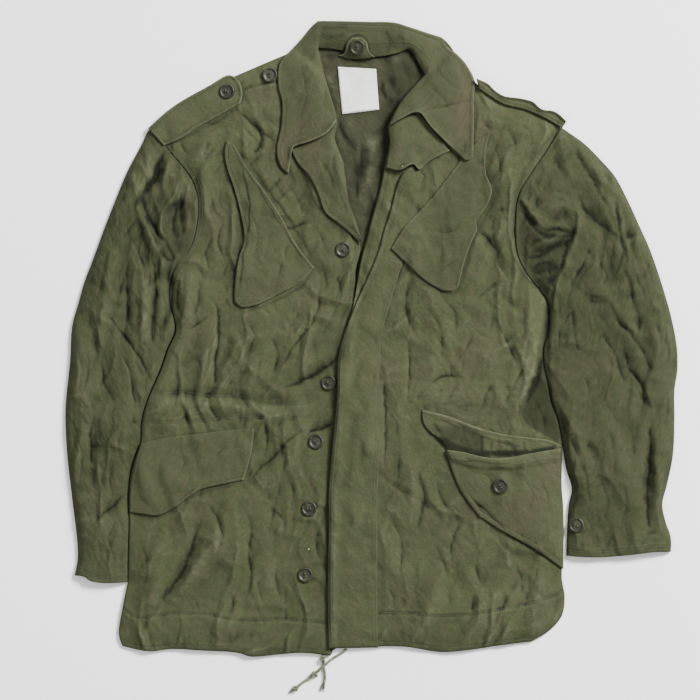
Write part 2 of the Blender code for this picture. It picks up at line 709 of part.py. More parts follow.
def back_top(pile, outline):
    """Tell the pile of the back's upper face and the under collar's."""
    low, high = outline.min(axis=0), outline.max(axis=0)
    steps = np.arange(low[0], high[0], 1.9), np.arange(low[1], high[1], 1.9)
    samples = np.stack(np.meshgrid(*steps, indexing="ij"), axis=-1)
    inside = np.zeros(samples.shape[:2], bool)
    for a, b in zip(outline, np.roll(outline, -1, axis=0)):
        crosses = (a[1] > samples[..., 1]) != (b[1] > samples[..., 1])
        rise = np.where(abs(b[1] - a[1]) < 1e-9, 1e-9, b[1] - a[1])
        where = a[0] + (samples[..., 1] - a[1]) / rise * (b[0] - a[0])
        inside ^= crosses & (samples[..., 0] < where)
    pile.heights[pile.cells(samples[inside])] = WALL


def sleeve_rings(grid, upper):
    """The outer and inner rings of a flattened sleeve, one pair for each row of its grid."""
    outer, inner = [], []
    columns = grid.shape[1]
    for row, heights in zip(grid, upper):
        def at(column, height):
            return (*row[column], height)

        def between(column, other, share, height):
            return (*(row[column] * (1 - share) + row[other] * share), height)

        inside = range(1, columns - 1)
        back = range(columns - 2, 0, -1)
        outer.append(
            [at(0, SLEEVE_EDGE)]
            + [at(k, heights[k]) for k in inside]
            + [at(columns - 1, SLEEVE_EDGE)]
            + [at(k, 0) for k in back]
        )
        inner.append(
            [between(0, 1, SLEEVE_TURN, SLEEVE_EDGE)]
            + [at(k, heights[k] - WALL) for k in inside]
            + [between(columns - 1, columns - 2, SLEEVE_TURN, SLEEVE_EDGE)]
            + [at(k, WALL) for k in back]
        )
    return np.array(outer), np.array(inner)


def tube(outer, inner):
    """Points and faces of an open tube between two like sets of closed rings."""
    rows, around = outer.shape[:2]
    points = np.concatenate([outer.reshape(-1, 3), inner.reshape(-1, 3)])
    shift = rows * around
    index = np.arange(shift).reshape(rows, around)
    after = np.roll(index, -1, axis=1)
    corners = index[:-1], after[:-1], after[1:], index[1:]
    quads = np.stack([corner.ravel() for corner in corners], axis=1)
    inside = halves(points, quads + shift)[:, ::-1]
    faces = [halves(points, quads), inside]
    for row, turned in ((0, True), (rows - 1, False)):
        start, stop = index[row], after[row]
        lower = np.stack([start, stop, stop + shift], 1)
        upper = np.stack([start, stop + shift, start + shift], 1)
        ends = np.concatenate([lower, upper])
        faces.append(ends[:, ::-1] if turned else ends)
    faces = np.concatenate(faces)
    return points, outward(points, faces)


def make_sleeve(name, pile, armhole, outer_edge, inner_edge, cuff):
    """A flattened sleeve from its armhole seam to its cuff, flat on the table."""
    grid = inset(patch(armhole, cuff, outer_edge, inner_edge))
    edges = [smooth_line(outer_edge, 1), smooth_line(inner_edge, 1)]
    upper = SLEEVE_EDGE + rise_from(grid, edges, SLEEVE_HEIGHT - SLEEVE_EDGE, SLEEVE_REACH)
    upper = np.maximum(upper + folds_on(name, grid), SLEEVE_LEAST)
    points, faces = tube(*sleeve_rings(grid, upper))
    add_solid(name, points, faces)
    pile.add(points, faces)


def make_sleeves():
    """Both sleeves; the inner edge of each follows the body's side."""
    pile = Pile()
    make_sleeve(
        "sleeve_right", pile, armhole_right, even(SLEEVE_RIGHT_OUTER, ROWS_SIDE), side_right,
        even(CUFF_RIGHT, COLUMNS_SLEEVE),
    )
    inner_left = joined(side_left, vent_left)
    make_sleeve(
        "sleeve_left", pile, armhole_left, even(SLEEVE_LEFT_OUTER, len(inner_left) - 1),
        inner_left, even(CUFF_LEFT, COLUMNS_SLEEVE),
    )
    return pile


def lying(grid, height):
    """Relief of a piece that lies flat."""
    return np.full(grid.shape[:2], height)


def bellied(grid, height):
    """Relief of a piece that fills out in its middle."""
    rows, columns = grid.shape[:2]
    across = np.sin(np.pi * np.linspace(0.1, 0.9, columns))[None]
    down = np.sin(np.pi * np.linspace(0.1, 0.9, rows))[:, None]
    return height * across * down


def rolled(grid, height):
    """Relief of a leaf that turns over along its first edge and comes down to its last."""
    share = np.linspace(0, 1, grid.shape[1])
    roll = height * np.where(share < 0.2, 0.6 + 2 * share, (1.25 - 1.25 * share) ** 1.2)
    return np.broadcast_to(roll, grid.shape[:2]) + GAP


def standing(grid, height):
    """Relief of a strap that stands on its last edge."""
    return np.broadcast_to(height * np.linspace(1, 0, grid.shape[1]), grid.shape[:2])


def collar_relief(grid, height):
    """A leaf is high along its roll, and the band behind the neck is high in its middle."""
    rows, columns = grid.shape[:2]
    band = BAND_EDGE + BAND_ROLL * np.sin(np.pi * np.linspace(0, 1, columns)) ** 0.8
    leaf_rows = (rows - BAND_STEPS) // 2
    row = np.arange(rows)
    blend = np.clip(np.minimum(row - leaf_rows + 1, rows - leaf_rows - row) / 2, 0, 1)[:, None]
    return rolled(grid, height) * (1 - blend) + band[None] * blend


def lay(name, pile, grid, relief, finish="olive_cotton", thickness=WALL):
    """Lay one piece of cloth on the pile and tell the pile of it."""
    height, reach = LAID[name][2:]
    grid = inset(grid)
    under = drape(pile, grid, relief(grid, height), reach)
    points, faces = wall(grid, under, thickness)
    add_solid(name, points, faces, finish)
    pile.add(points, faces)


def four_edged(name, start, end, left, right):
    """Grid of a piece between its four edges, in its own number of steps."""
    across, down = LAID[name][:2]
    return patch(even(start, across), even(end, across), even(left, down), even(right, down))


def make_front(name, pile, seams, hem, centre, shoulder, mirrored):
    """One front: its relief rises from all of its edges but the armhole, and carries its folds."""
    side = joined(*seams)
    across, down = LAID[name][:2]
    low = [smooth_line(line, 2) for line in (shoulder, centre, hem)]
    low += seams[1:]
    middle = even(centre, down)
    left, right = (middle, side) if mirrored else (side, middle)
    grid = patch(even(shoulder, across), even(hem, across), left, right)

    def relief(grid, height):
        return rise_from(grid, low, height, PUFF_REACH) + folds_on(name, grid)

    lay(name, pile, grid, relief)


def make_fronts(pile):
    """The right front, then the left front and its fly, which lap over it."""
    make_front(
        "front_right", pile, (armhole_right, side_right, skirt_right), HEM_RIGHT, CENTRE_RIGHT,
        SHOULDER_RIGHT, False,
    )
    make_front(
        "front_left", pile, (armhole_left, side_left, skirt_left), HEM_LEFT, CENTRE_LEFT,
        SHOULDER_LEFT, True,
    )
    top = (FLY_EDGE[0], FLY_STITCHES[0])
    bottom = (FLY_EDGE[-1], FLY_STITCHES[-1])
    lay("fly", pile, four_edged("fly", top, bottom, FLY_EDGE, FLY_STITCHES), lying)


def make_flaps(pile):
    """Pocket flaps, the open lower pocket and the flap that is tucked into it."""
    # name, start, end, left, right, relief
    rows = (
        ("chest_flap_right", CHEST_RIGHT_TOP, CHEST_RIGHT_BOTTOM, CHEST_RIGHT_HIND,
         CHEST_RIGHT_FORE, lying),
        ("lower_flap_right", LOWER_RIGHT_TOP, LOWER_RIGHT_BOTTOM, LOWER_RIGHT_HIND,
         LOWER_RIGHT_FORE, lying),
        ("chest_flap_left", CHEST_LEFT_TOP, CHEST_LEFT_BOTTOM, CHEST_LEFT_FORE,
         CHEST_LEFT_HIND, lying),
        ("lower_flap_left", TUCKED_TOP, TUCKED_BOTTOM, TUCKED_FORE, TUCKED_HIND, lying),
        ("lower_pocket_left", POCKET_MOUTH, POCKET_BOTTOM, POCKET_FORE, POCKET_HIND, bellied),
    )
    for name, start, end, left, right, relief in rows:
        lay(name, pile, four_edged(name, start, end, left, right), relief)


def make_collar(pile):
    """The lapels, and the upper collar in one piece round the neck."""
    # name, start, end, left, right
    lapels = (
        ("lapel_right", LAPEL_RIGHT_GORGE, LAPEL_RIGHT_TIP, LAPEL_RIGHT_ROLL, LAPEL_RIGHT_EDGE),
        ("lapel_left", LAPEL_LEFT_GORGE, LAPEL_LEFT_EDGE, LAPEL_LEFT_ROLL, LAPEL_LEFT_NOTCH),
    )
    for name, start, end, left, right in lapels:
        lay(name, pile, four_edged(name, start, end, left, right), rolled)

    across, down = LAID["collar"][:2]
    neck_right = even((BAND_INNER[0], BAND_OUTER[0]), across)
    neck_left = even((BAND_INNER[-1], BAND_OUTER[-1]), across)
    # start, end, inner edge, outer edge, steps along the neck
    blocks = (
        (even(LEAF_RIGHT_END, across), neck_right, LEAF_RIGHT_INNER, LEAF_RIGHT_OUTER, down),
        (neck_right, neck_left, BAND_INNER, BAND_OUTER, BAND_STEPS),
        (neck_left, even(LEAF_LEFT_END, across), LEAF_LEFT_INNER, LEAF_LEFT_OUTER, down),
    )
    grid = joined(
        *[patch(start, end, even(inner, steps), even(outer, steps))
          for start, end, inner, outer, steps in blocks]
    )
    lay("collar", pile, grid, collar_relief)
    lay("neck_tab", pile, four_edged("neck_tab", TAB_TOP, TAB_BOTTOM, TAB_FORE, TAB_HIND), lying)


def make_straps(pile):
    """Shoulder straps, over the shoulder and the head of the sleeve."""
    grid = four_edged(
        "strap_right", STRAP_RIGHT_OUT, STRAP_RIGHT_IN, STRAP_RIGHT_UPPER, STRAP_RIGHT_LOWER,
    )
    lay("strap_right", pile, grid, lying)
    grid = four_edged(
        "strap_left", STRAP_LEFT_IN, STRAP_LEFT_OUT, STRAP_LEFT_UPPER, STRAP_LEFT_LOWER,
    )
    lay("strap_left", pile, grid, standing)


def make_label(pile):
    """A bare woven label on the inside of the back."""
    grid = four_edged("label", LABEL_TOP, LABEL_BOTTOM, LABEL_SIDE, LABEL_FAR_SIDE)
    lay("label", pile, grid, lying, "label_tape", LABEL_WALL)


# Radius and height of a button's section, from its middle underneath to its middle on top.
BUTTON_SECTION = (
    (0.0, 0.0), (8.4, 0.0), (10.0, 1.2), (10.0, 2.6), (9.2, 3.4), (7.6, 3.1), (6.4, 2.2), (0.0, 2.2),
)
BUTTON_SIDES = 14


def make_buttons(pile):
    """Dished buttons, each resting on the highest cloth under it."""
    for name, x, y in BUTTONS:
        rest = pile.top(np.array([[x, y]], float), BUTTON_RADIUS)[0] + GAP
        turn = 2 * math.pi / BUTTON_SIDES
        points = [(x, y, rest + BUTTON_SECTION[0][1]), (x, y, rest + BUTTON_SECTION[-1][1])]
        faces = []
        rings = BUTTON_SECTION[1:-1]
        for radius, height in rings:
            points += [
                (x + radius * math.cos(turn * k), y + radius * math.sin(turn * k), rest + height)
                for k in range(BUTTON_SIDES)
            ]
        for ring in range(len(rings) - 1):
            for k in range(BUTTON_SIDES):
                a, b = 2 + ring * BUTTON_SIDES + k, 2 + ring * BUTTON_SIDES + (k + 1) % BUTTON_SIDES
                faces += [(a, b, b + BUTTON_SIDES), (a, b + BUTTON_SIDES, a + BUTTON_SIDES)]
        last = 2 + (len(rings) - 1) * BUTTON_SIDES
        for k in range(BUTTON_SIDES):
            after = (k + 1) % BUTTON_SIDES
            faces += [(0, 2 + after, 2 + k), (1, last + k, last + after)]
        points, faces = np.array(points), np.array(faces)
        add_solid(name, points, outward(points, faces), "button_dark")


def make_cord(name, path, heights):
    """One stretch of drawstring that lies on the table."""
    steps = np.linalg.norm(np.diff(smooth_line(path), axis=0), axis=1)
    flat = even(path, max(3, int(round(steps.sum() / CORD_STEP))))
    share = np.linspace(0, 1, len(flat))
    rise = np.interp(share, np.linspace(0, 1, len(heights)), heights)
    line = bpy.data.curves.new(name, "CURVE")
    line.dimensions = "3D"
    line.bevel_depth = CORD_DIAMETER / 2000
    line.bevel_resolution = 2
    line.use_fill_caps = True
    spline = line.splines.new("POLY")
    spline.points.add(len(flat) - 1)
    for point, (x, y), z in zip(spline.points, flat, rise):
        point.co = ((x - MIDDLE[0]) / 1000, (y - MIDDLE[1]) / 1000, z / 1000, 1)
    line.materials.append(finish_of("drawstring"))
    made = bpy.data.objects.new(name, line)
    bpy.context.scene.collection.objects.link(made)


def make_knot(name, x, y, length, width, height):
    """A knot as one rounded lump on the table."""
    work = bmesh.new()
    bmesh.ops.create_icosphere(work, subdivisions=2, radius=1)
    bmesh.ops.scale(work, verts=work.verts, vec=(length / 2000, width / 2000, height / 2000))
    place = (x - MIDDLE[0], y - MIDDLE[1], height / 2 + OFF_TABLE)
    bmesh.ops.translate(work, verts=work.verts, vec=[value / 1000 for value in place])
    mesh = bpy.data.meshes.new(name)
    work.to_mesh(mesh)
    work.free()
    mesh.materials.append(finish_of("drawstring"))
    made = bpy.data.objects.new(name, mesh)
    bpy.context.scene.collection.objects.link(made)


def make_drawstring():
    """Both free ends of the hem's drawstring, with their knots."""
    low = CORD_DIAMETER / 2 + OFF_TABLE
    over = low + CORD_DIAMETER + GAP
    rising = (low + over) / 2
    make_cord("cord_a", CORD_A, (low, low))
    hump = (low,) * 5 + (rising,) + (over,) * 4 + (rising, low)
    make_cord("cord_b", CORD_B, hump)
    make_cord("cord_b_end", CORD_B2, (low, low))
    for knot in KNOTS:
        make_knot(*knot)


def main():
    for leftover in list(bpy.data.objects):
        bpy.data.objects.remove(leftover)
    pile = Pile()
    outline = make_backs()
    back_top(pile, outline)
    back_top(pile, np.array(smooth_line(NECK_ROLL)))
    sleeves = make_sleeves()
    make_label(pile)
    make_fronts(pile)
    make_flaps(pile)
    make_collar(pile)
    both = Pile()
    both.heights = np.maximum(pile.heights, sleeves.heights)
    make_straps(both)
    make_buttons(both)
    make_drawstring()


main()
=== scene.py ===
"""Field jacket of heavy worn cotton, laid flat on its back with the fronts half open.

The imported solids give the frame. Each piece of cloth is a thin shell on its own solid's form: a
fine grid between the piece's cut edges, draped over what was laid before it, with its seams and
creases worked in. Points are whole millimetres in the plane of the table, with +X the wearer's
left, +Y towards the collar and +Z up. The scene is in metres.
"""

import logging
import math
from dataclasses import dataclass
from enum import Enum
from functools import cache, partialmethod
from typing import Any, Callable, Iterable, Optional, Sequence, Union

import bpy
import numpy as np
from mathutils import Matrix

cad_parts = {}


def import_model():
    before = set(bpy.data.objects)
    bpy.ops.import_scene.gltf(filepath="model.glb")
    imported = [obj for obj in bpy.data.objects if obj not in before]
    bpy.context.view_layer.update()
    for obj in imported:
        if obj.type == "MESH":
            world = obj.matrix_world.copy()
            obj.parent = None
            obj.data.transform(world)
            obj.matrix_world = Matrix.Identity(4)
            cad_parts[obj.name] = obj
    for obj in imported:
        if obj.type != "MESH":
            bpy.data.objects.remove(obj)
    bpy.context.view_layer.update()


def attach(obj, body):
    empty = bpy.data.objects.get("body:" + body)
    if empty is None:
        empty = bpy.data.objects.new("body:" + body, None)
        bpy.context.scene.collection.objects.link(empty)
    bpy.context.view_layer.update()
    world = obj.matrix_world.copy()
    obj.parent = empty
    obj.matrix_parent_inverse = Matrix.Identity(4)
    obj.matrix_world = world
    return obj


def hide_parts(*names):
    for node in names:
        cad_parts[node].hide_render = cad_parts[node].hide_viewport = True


logging.basicConfig(level=logging.INFO, format="%(name)s: %(message)s")
log = logging.getLogger("jacket")

Array = np.ndarray
Line = Sequence[tuple[float, float]]
Edge = tuple[tuple[Line, int], ...]
Row = tuple[float, ...]
Relief = Callable[[Array], Array]

WALL = 2.0                 # heavy cotton with its turnings
CORE = 0.8                 # share of the wall between a shell's two faces
GAP = 0.3                  # between neighbouring pieces
EDGE_DROP = 0.55           # how far a cut edge lies below the cloth beside it
SEAM_INSET = 0.08          # how far each piece stays inside the line it shares with the next
MIDDLE = (0.1, -0.9)       # middle of the whole garment in the plane of the tables
TABLE_HALF = 470.0         # half the side of the square in which heights are kept
TINY = 1e-9                # least length or area that something is divided by
STITCH = (3.3, 2.3)        # spacing of stitches, and the length that shows of each
FINE_STITCH = (2.9, 2.0)   # the same on flaps, collar and straps
SMALL_STITCH = (2.6, 1.8)  # the same on the neck tab and the label
STITCH_SINK = 0.12         # how far a stitch's ends lie in the cloth
STITCH_RISE = 0.08         # how far its middle line stands off the cloth
STITCH_HALF = 0.30         # half of its thickness
STITCH_FULL = (0.22, 0.78)  # where on its length it is full

# ---------------------------------------------------------------- cut edges
SHOULDER_RIGHT = ((-287, 286), (-261, 307), (-216, 333), (-183, 347), (-146, 363), (-108, 379))
ARMHOLE_RIGHT = (
    (-287, 286), (-272, 252), (-255, 232), (-239, 210), (-231, 186), (-232, 150), (-241, 119),
    (-259, 98),
)
SIDE_RIGHT = (
    (-259, 98), (-267, 77), (-268, 46), (-260, 10), (-271, -16), (-279, -40), (-289, -63),
    (-299, -86), (-306, -113), (-307, -139), (-317, -168), (-322, -196), (-322, -250), (-323, -281),
    (-324, -325),
)
SKIRT_RIGHT = ((-324, -325), (-331, -359), (-336, -394), (-331, -410))
HEM_RIGHT = (
    (-331, -410), (-295, -417), (-267, -414), (-224, -416), (-178, -419), (-160, -424),
    (-122, -421), (-94, -419), (-54, -423),
)
CENTRE_RIGHT = (
    (-108, 379), (-71, 348), (-54, 319), (-46, 288), (-49, 262), (-38, 232), (-30, 182), (-18, 137),
    (-15, 117), (-21, 90), (-22, 62), (-29, -16), (-41, -137), (-49, -256), (-53, -349),
    (-54, -423),
)
SLEEVE_RIGHT_OUTER = (
    (-287, 286), (-297, 275), (-306, 256), (-325, 220), (-338, 189), (-356, 143), (-370, 105),
    (-382, 73), (-390, 45), (-398, 16), (-401, -32), (-407, -96), (-405, -152), (-398, -215),
    (-391, -276), (-391, -296), (-395, -316),
)
CUFF_RIGHT = ((-395, -316), (-382, -318), (-374, -323), (-358, -326), (-324, -325))
SHOULDER_LEFT = (
    (111, 379), (126, 363), (138, 340), (151, 328), (175, 313), (204, 305), (235, 291), (252, 280),
)
ARMHOLE_LEFT = (
    (252, 280), (231, 246), (208, 212), (195, 188), (191, 154), (194, 110), (209, 82), (233, 57),
)
SIDE_LEFT = (
    (233, 57), (235, 34), (234, 8), (228, -15), (229, -38), (234, -61), (238, -84), (247, -109),
    (254, -145),
)
SKIRT_LEFT = (
    (254, -145), (253, -201), (255, -226), (255, -288), (253, -318), (257, -346), (253, -370),
    (237, -389), (212, -404),
)
HEM_LEFT = ((-51, -413), (-6, -411), (45, -411), (91, -418), (131, -415), (171, -409), (212, -404))
CENTRE_LEFT = (
    (111, 379), (88, 348), (65, 327), (39, 308), (22, 280), (24, 260), (19, 236), (13, 204),
    (3, 167), (-6, 133), (-14, 101), (-22, 55), (-34, -3), (-41, -36), (-44, -103), (-50, -156),
    (-53, -216), (-54, -302), (-53, -386), (-51, -413),
)
FLY_EDGE = (
    (55, 228), (42, 218), (33, 199), (26, 170), (17, 143), (10, 117), (1, 93), (-11, 67), (-24, 37),
    (-39, -3), (-45, -34), (-45, -67), (-48, -104), (-53, -156), (-57, -201), (-57, -253),
    (-58, -302), (-58, -386), (-57, -413),
)
FLY_STITCHES = (
    (70, 215), (59, 170), (47, 119), (30, 63), (17, 17), (12, -19), (11, -83), (11, -149),
    (9, -189), (8, -296), (8, -366), (9, -412),
)
SLEEVE_LEFT_OUTER = (
    (252, 280), (265, 271), (283, 258), (305, 236), (324, 214), (342, 180), (357, 147), (370, 118),
    (384, 78), (398, 30), (406, -11), (407, -42), (403, -70), (403, -109), (401, -156), (393, -196),
    (387, -221), (391, -244), (398, -265), (398, -285),
)
CUFF_VENT_LEFT = ((254, -145), (259, -176), (266, -201), (262, -223), (260, -256), (259, -290))
CUFF_LEFT = ((398, -285), (377, -285), (342, -289), (297, -292), (259, -290))
NECK_SEAM = (
    (-108, 379), (-90, 383), (-70, 383), (-43, 382), (-18, 376), (7, 374), (37, 379), (51, 385),
    (78, 387), (111, 379),
)
NECK_ROLL = (
    (-108, 379), (-95, 395), (-72, 421), (-45, 421), (-7, 420), (30, 419), (51, 413), (75, 405),
    (94, 399), (111, 379),
)
LEAF_RIGHT_END = (
    (-46, 288), (-59, 271), (-74, 263), (-88, 258), (-104, 252), (-107, 235), (-110, 218),
)
LEAF_RIGHT_INNER = ((-46, 288), (-54, 320), (-61, 344), (-66, 364), (-71, 385))
LEAF_RIGHT_OUTER = (
    (-110, 218), (-120, 226), (-126, 248), (-120, 282), (-119, 313), (-124, 335), (-122, 364),
    (-108, 381), (-95, 395), (-72, 421),
)
BAND_INNER = (
    (-71, 385), (-43, 382), (-18, 375), (7, 373), (35, 378), (50, 383), (61, 367), (71, 349),
)
BAND_OUTER = ((-72, 421), (-45, 421), (-7, 420), (30, 419), (51, 413), (75, 405), (94, 399))
LEAF_LEFT_INNER = ((71, 349), (55, 332), (38, 312), (22, 280))
LEAF_LEFT_OUTER = (
    (94, 399), (100, 387), (111, 379), (126, 363), (137, 341), (136, 321), (136, 283), (135, 240),
)
LEAF_LEFT_END = (
    (22, 280), (39, 290), (62, 299), (78, 280), (98, 260), (116, 243), (126, 235), (135, 240),
)
LAPEL_RIGHT_GORGE = ((-46, 288), (-59, 271), (-74, 263), (-88, 258), (-107, 250))
LAPEL_RIGHT_EDGE = (
    (-107, 250), (-98, 232), (-83, 215), (-72, 194), (-61, 166), (-45, 153), (-30, 141), (-14, 125),
)
LAPEL_RIGHT_ROLL = (
    (-46, 288), (-49, 266), (-43, 248), (-37, 232), (-35, 207), (-30, 182), (-23, 161), (-13, 130),
)
LAPEL_RIGHT_TIP = ((-13, 130), (-14, 125))
LAPEL_LEFT_GORGE = ((22, 280), (39, 290), (62, 299))
LAPEL_LEFT_NOTCH = ((62, 299), (78, 280), (92, 263), (104, 248))
LAPEL_LEFT_ROLL = ((22, 280), (24, 260), (22, 244), (19, 226))
LAPEL_LEFT_EDGE = ((19, 226), (37, 222), (55, 230), (63, 223), (75, 233), (104, 248))
STRAP_RIGHT_UPPER = ((-297, 278), (-261, 309), (-216, 335), (-191, 349), (-183, 347))
STRAP_RIGHT_LOWER = ((-276, 255), (-254, 264), (-231, 279), (-200, 296), (-174, 311))
STRAP_RIGHT_OUT = ((-297, 278), (-276, 255))
STRAP_RIGHT_IN = ((-183, 347), (-175, 339), (-171, 325), (-174, 311))
STRAP_LEFT_UPPER = (
    (139, 344), (155, 337), (163, 329), (176, 321), (197, 318), (215, 313), (225, 304), (244, 300),
    (259, 287),
)
STRAP_LEFT_LOWER = (
    (142, 331), (151, 325), (176, 310), (204, 303), (221, 296), (239, 287), (253, 278),
)
STRAP_LEFT_IN = ((139, 344), (142, 331))
STRAP_LEFT_OUT = ((259, 287), (253, 278))
CHEST_RIGHT_TOP = ((-191, 262), (-181, 255))
CHEST_RIGHT_HIND = (
    (-191, 262), (-195, 248), (-192, 226), (-183, 200), (-174, 165), (-169, 130), (-176, 107),
    (-181, 75), (-181, 47), (-172, 40),
)
CHEST_RIGHT_FORE = ((-181, 255), (-164, 224), (-143, 196), (-118, 157), (-102, 127), (-76, 93))
CHEST_RIGHT_BOTTOM = ((-172, 40), (-154, 43), (-122, 58), (-96, 73), (-76, 93))
CHEST_LEFT_TOP = ((142, 263), (158, 274))
CHEST_LEFT_FORE = ((142, 263), (119, 236), (90, 198), (67, 171), (44, 147), (26, 118))
CHEST_LEFT_HIND = (
    (158, 274), (152, 248), (152, 218), (160, 195), (152, 173), (139, 155), (140, 143), (132, 125),
    (124, 103), (116, 69),
)
CHEST_LEFT_BOTTOM = ((26, 118), (49, 96), (67, 79), (82, 69), (96, 62), (107, 62), (116, 69))
LOWER_RIGHT_TOP = ((-306, -140), (-274, -133), (-234, -128), (-175, -121), (-156, -121))
LOWER_RIGHT_FORE = ((-156, -121), (-160, -156), (-170, -189))
LOWER_RIGHT_BOTTOM = (
    (-321, -232), (-304, -234), (-284, -236), (-261, -225), (-239, -209), (-225, -201),
    (-200, -195), (-170, -189),
)
LOWER_RIGHT_HIND = ((-306, -140), (-315, -168), (-320, -196), (-321, -232))
TUCKED_TOP = (
    (67, -96), (104, -105), (132, -116), (170, -127), (213, -133), (235, -136), (252, -143),
)
TUCKED_FORE = ((67, -96), (69, -114), (80, -127))
TUCKED_BOTTOM = ((80, -127), (95, -139), (107, -159), (144, -171), (188, -171), (247, -160))
TUCKED_HIND = ((252, -143), (247, -160))
POCKET_MOUTH = (
    (99, -149), (123, -152), (142, -157), (164, -160), (188, -158), (213, -153), (252, -147),
)
POCKET_FORE = ((99, -149), (107, -177), (119, -204), (142, -236))
POCKET_BOTTOM = ((142, -236), (176, -258), (216, -280), (255, -308))
POCKET_HIND = ((252, -147), (253, -201), (255, -226), (255, -308))
TAB_FORE = ((-26, 398), (-33, 390), (-36, 379), (-43, 375))
TAB_TOP = ((-26, 398), (-14, 398))
TAB_HIND = ((-14, 398), (-6, 391), (-3, 380), (5, 373))
TAB_BOTTOM = ((-43, 375), (-34, 371), (-8, 370), (5, 373))
LABEL_TOP = ((-45, 360), (6, 357))
LABEL_BOTTOM = ((-39, 297), (10, 303))
LABEL_SIDE = ((-45, 360), (-39, 297))
LABEL_FAR_SIDE = ((6, 357), (10, 303))

# Main folds of each piece. Columns: height over the cloth round it (below 0 is a trough), half
# width, then x and y of each point that the fold runs through.
FOLDS: dict[str, tuple[Row, ...]] = {
    "front_right": (
        (5, 17, -251, 73, -249, 10, -261, -22, -279, -67, -293, -109),
        (3, 16, -220, 17, -217, -30, -224, -67),
        (3, 15, -281, -93, -208, -90, -151, -96, -95, -97, -66, -90),
        (-3, 12, -285, -75, -208, -75, -151, -84, -108, -87),
        (4, 16, -116, -48, -82, -32, -50, -11), (-3, 12, -108, -68, -82, -55, -45, -26),
        (-3, 12, -87, -131, -49, -111), (3, 14, -162, -216, -132, -192, -100, -156),
        (-3, 12, -175, -200, -143, -168, -116, -141),
        (5, 17, -201, -256, -215, -285, -236, -312, -257, -344),
        (-3, 13, -229, -246, -239, -282, -253, -313, -276, -348),
        (4, 16, -224, 232, -221, 188, -217, 149), (4, 16, -241, 101, -245, 50, -236, 10),
        (3, 16, -146, 26, -143, -16, -154, -54), (3, 17, -281, -269, -292, -322, -297, -369),
        (3, 17, -146, -242, -138, -296, -146, -356),
    ),
    "front_left": (
        (4, 16, 178, 250, 180, 196, 175, 146, 176, 101), (-3, 12, 146, 138, 166, 110, 176, 85),
        (6, 18, 215, 50, 211, -3, 196, -46, 178, -88), (-3, 17, 231, -19, 223, -72, 232, -120),
        (3, 17, 38, -70, 91, -79, 139, -72, 171, -80), (3, 18, 96, 34, 83, -16, 74, -62),
        (3, 17, 152, 37, 150, -10, 131, -51), (4, 17, 94, -296, 82, -349, 59, -402),
        (4, 17, 182, -304, 158, -349, 147, -397), (3, 17, 38, -136, 51, -189, 43, -256),
    ),
    "sleeve_right": (
        (5, 16, -297, 239, -315, 190, -320, 149), (-3, 13, -277, 239, -293, 203, -309, 174),
        (5, 14, -253, 202, -275, 166, -279, 146, -271, 117),
        (4, 13, -303, 175, -291, 135, -281, 109), (4, 18, -344, 130, -358, 66, -366, 10),
        (5, 17, -309, 63, -312, 0, -324, -51), (-3, 15, -356, 10, -354, -63, -342, -88),
        (4, 16, -382, 2, -384, -63, -380, -123), (4, 16, -329, -88, -337, -149, -345, -208),
        (-3, 14, -366, -103, -372, -169), (-3, 14, -325, -211, -350, -232, -372, -256),
        (3, 16, -380, -216, -372, -285),
    ),
    "sleeve_left": (
        (5, 15, 259, 220, 235, 173, 221, 146, 236, 114),
        (-3, 14, 273, 196, 291, 162, 312, 143, 333, 131),
        (5, 16, 301, 202, 320, 159, 331, 109, 333, 71), (-3, 12, 325, 180, 338, 127, 349, 77),
        (4, 17, 283, 114, 304, 63, 331, 26, 354, -16), (5, 17, 370, 37, 382, -16, 385, -83),
        (-3, 14, 332, 0, 344, -51, 366, -104), (-3, 14, 373, -123, 366, -189, 370, -253),
        (4, 14, 385, -136, 378, -203, 384, -256),
        (4, 16, 251, -88, 267, -128, 280, -179, 291, -224),
        (4, 17, 307, -109, 333, -171, 352, -236), (-3, 14, 293, 24, 320, -27, 341, -78),
    ),
}

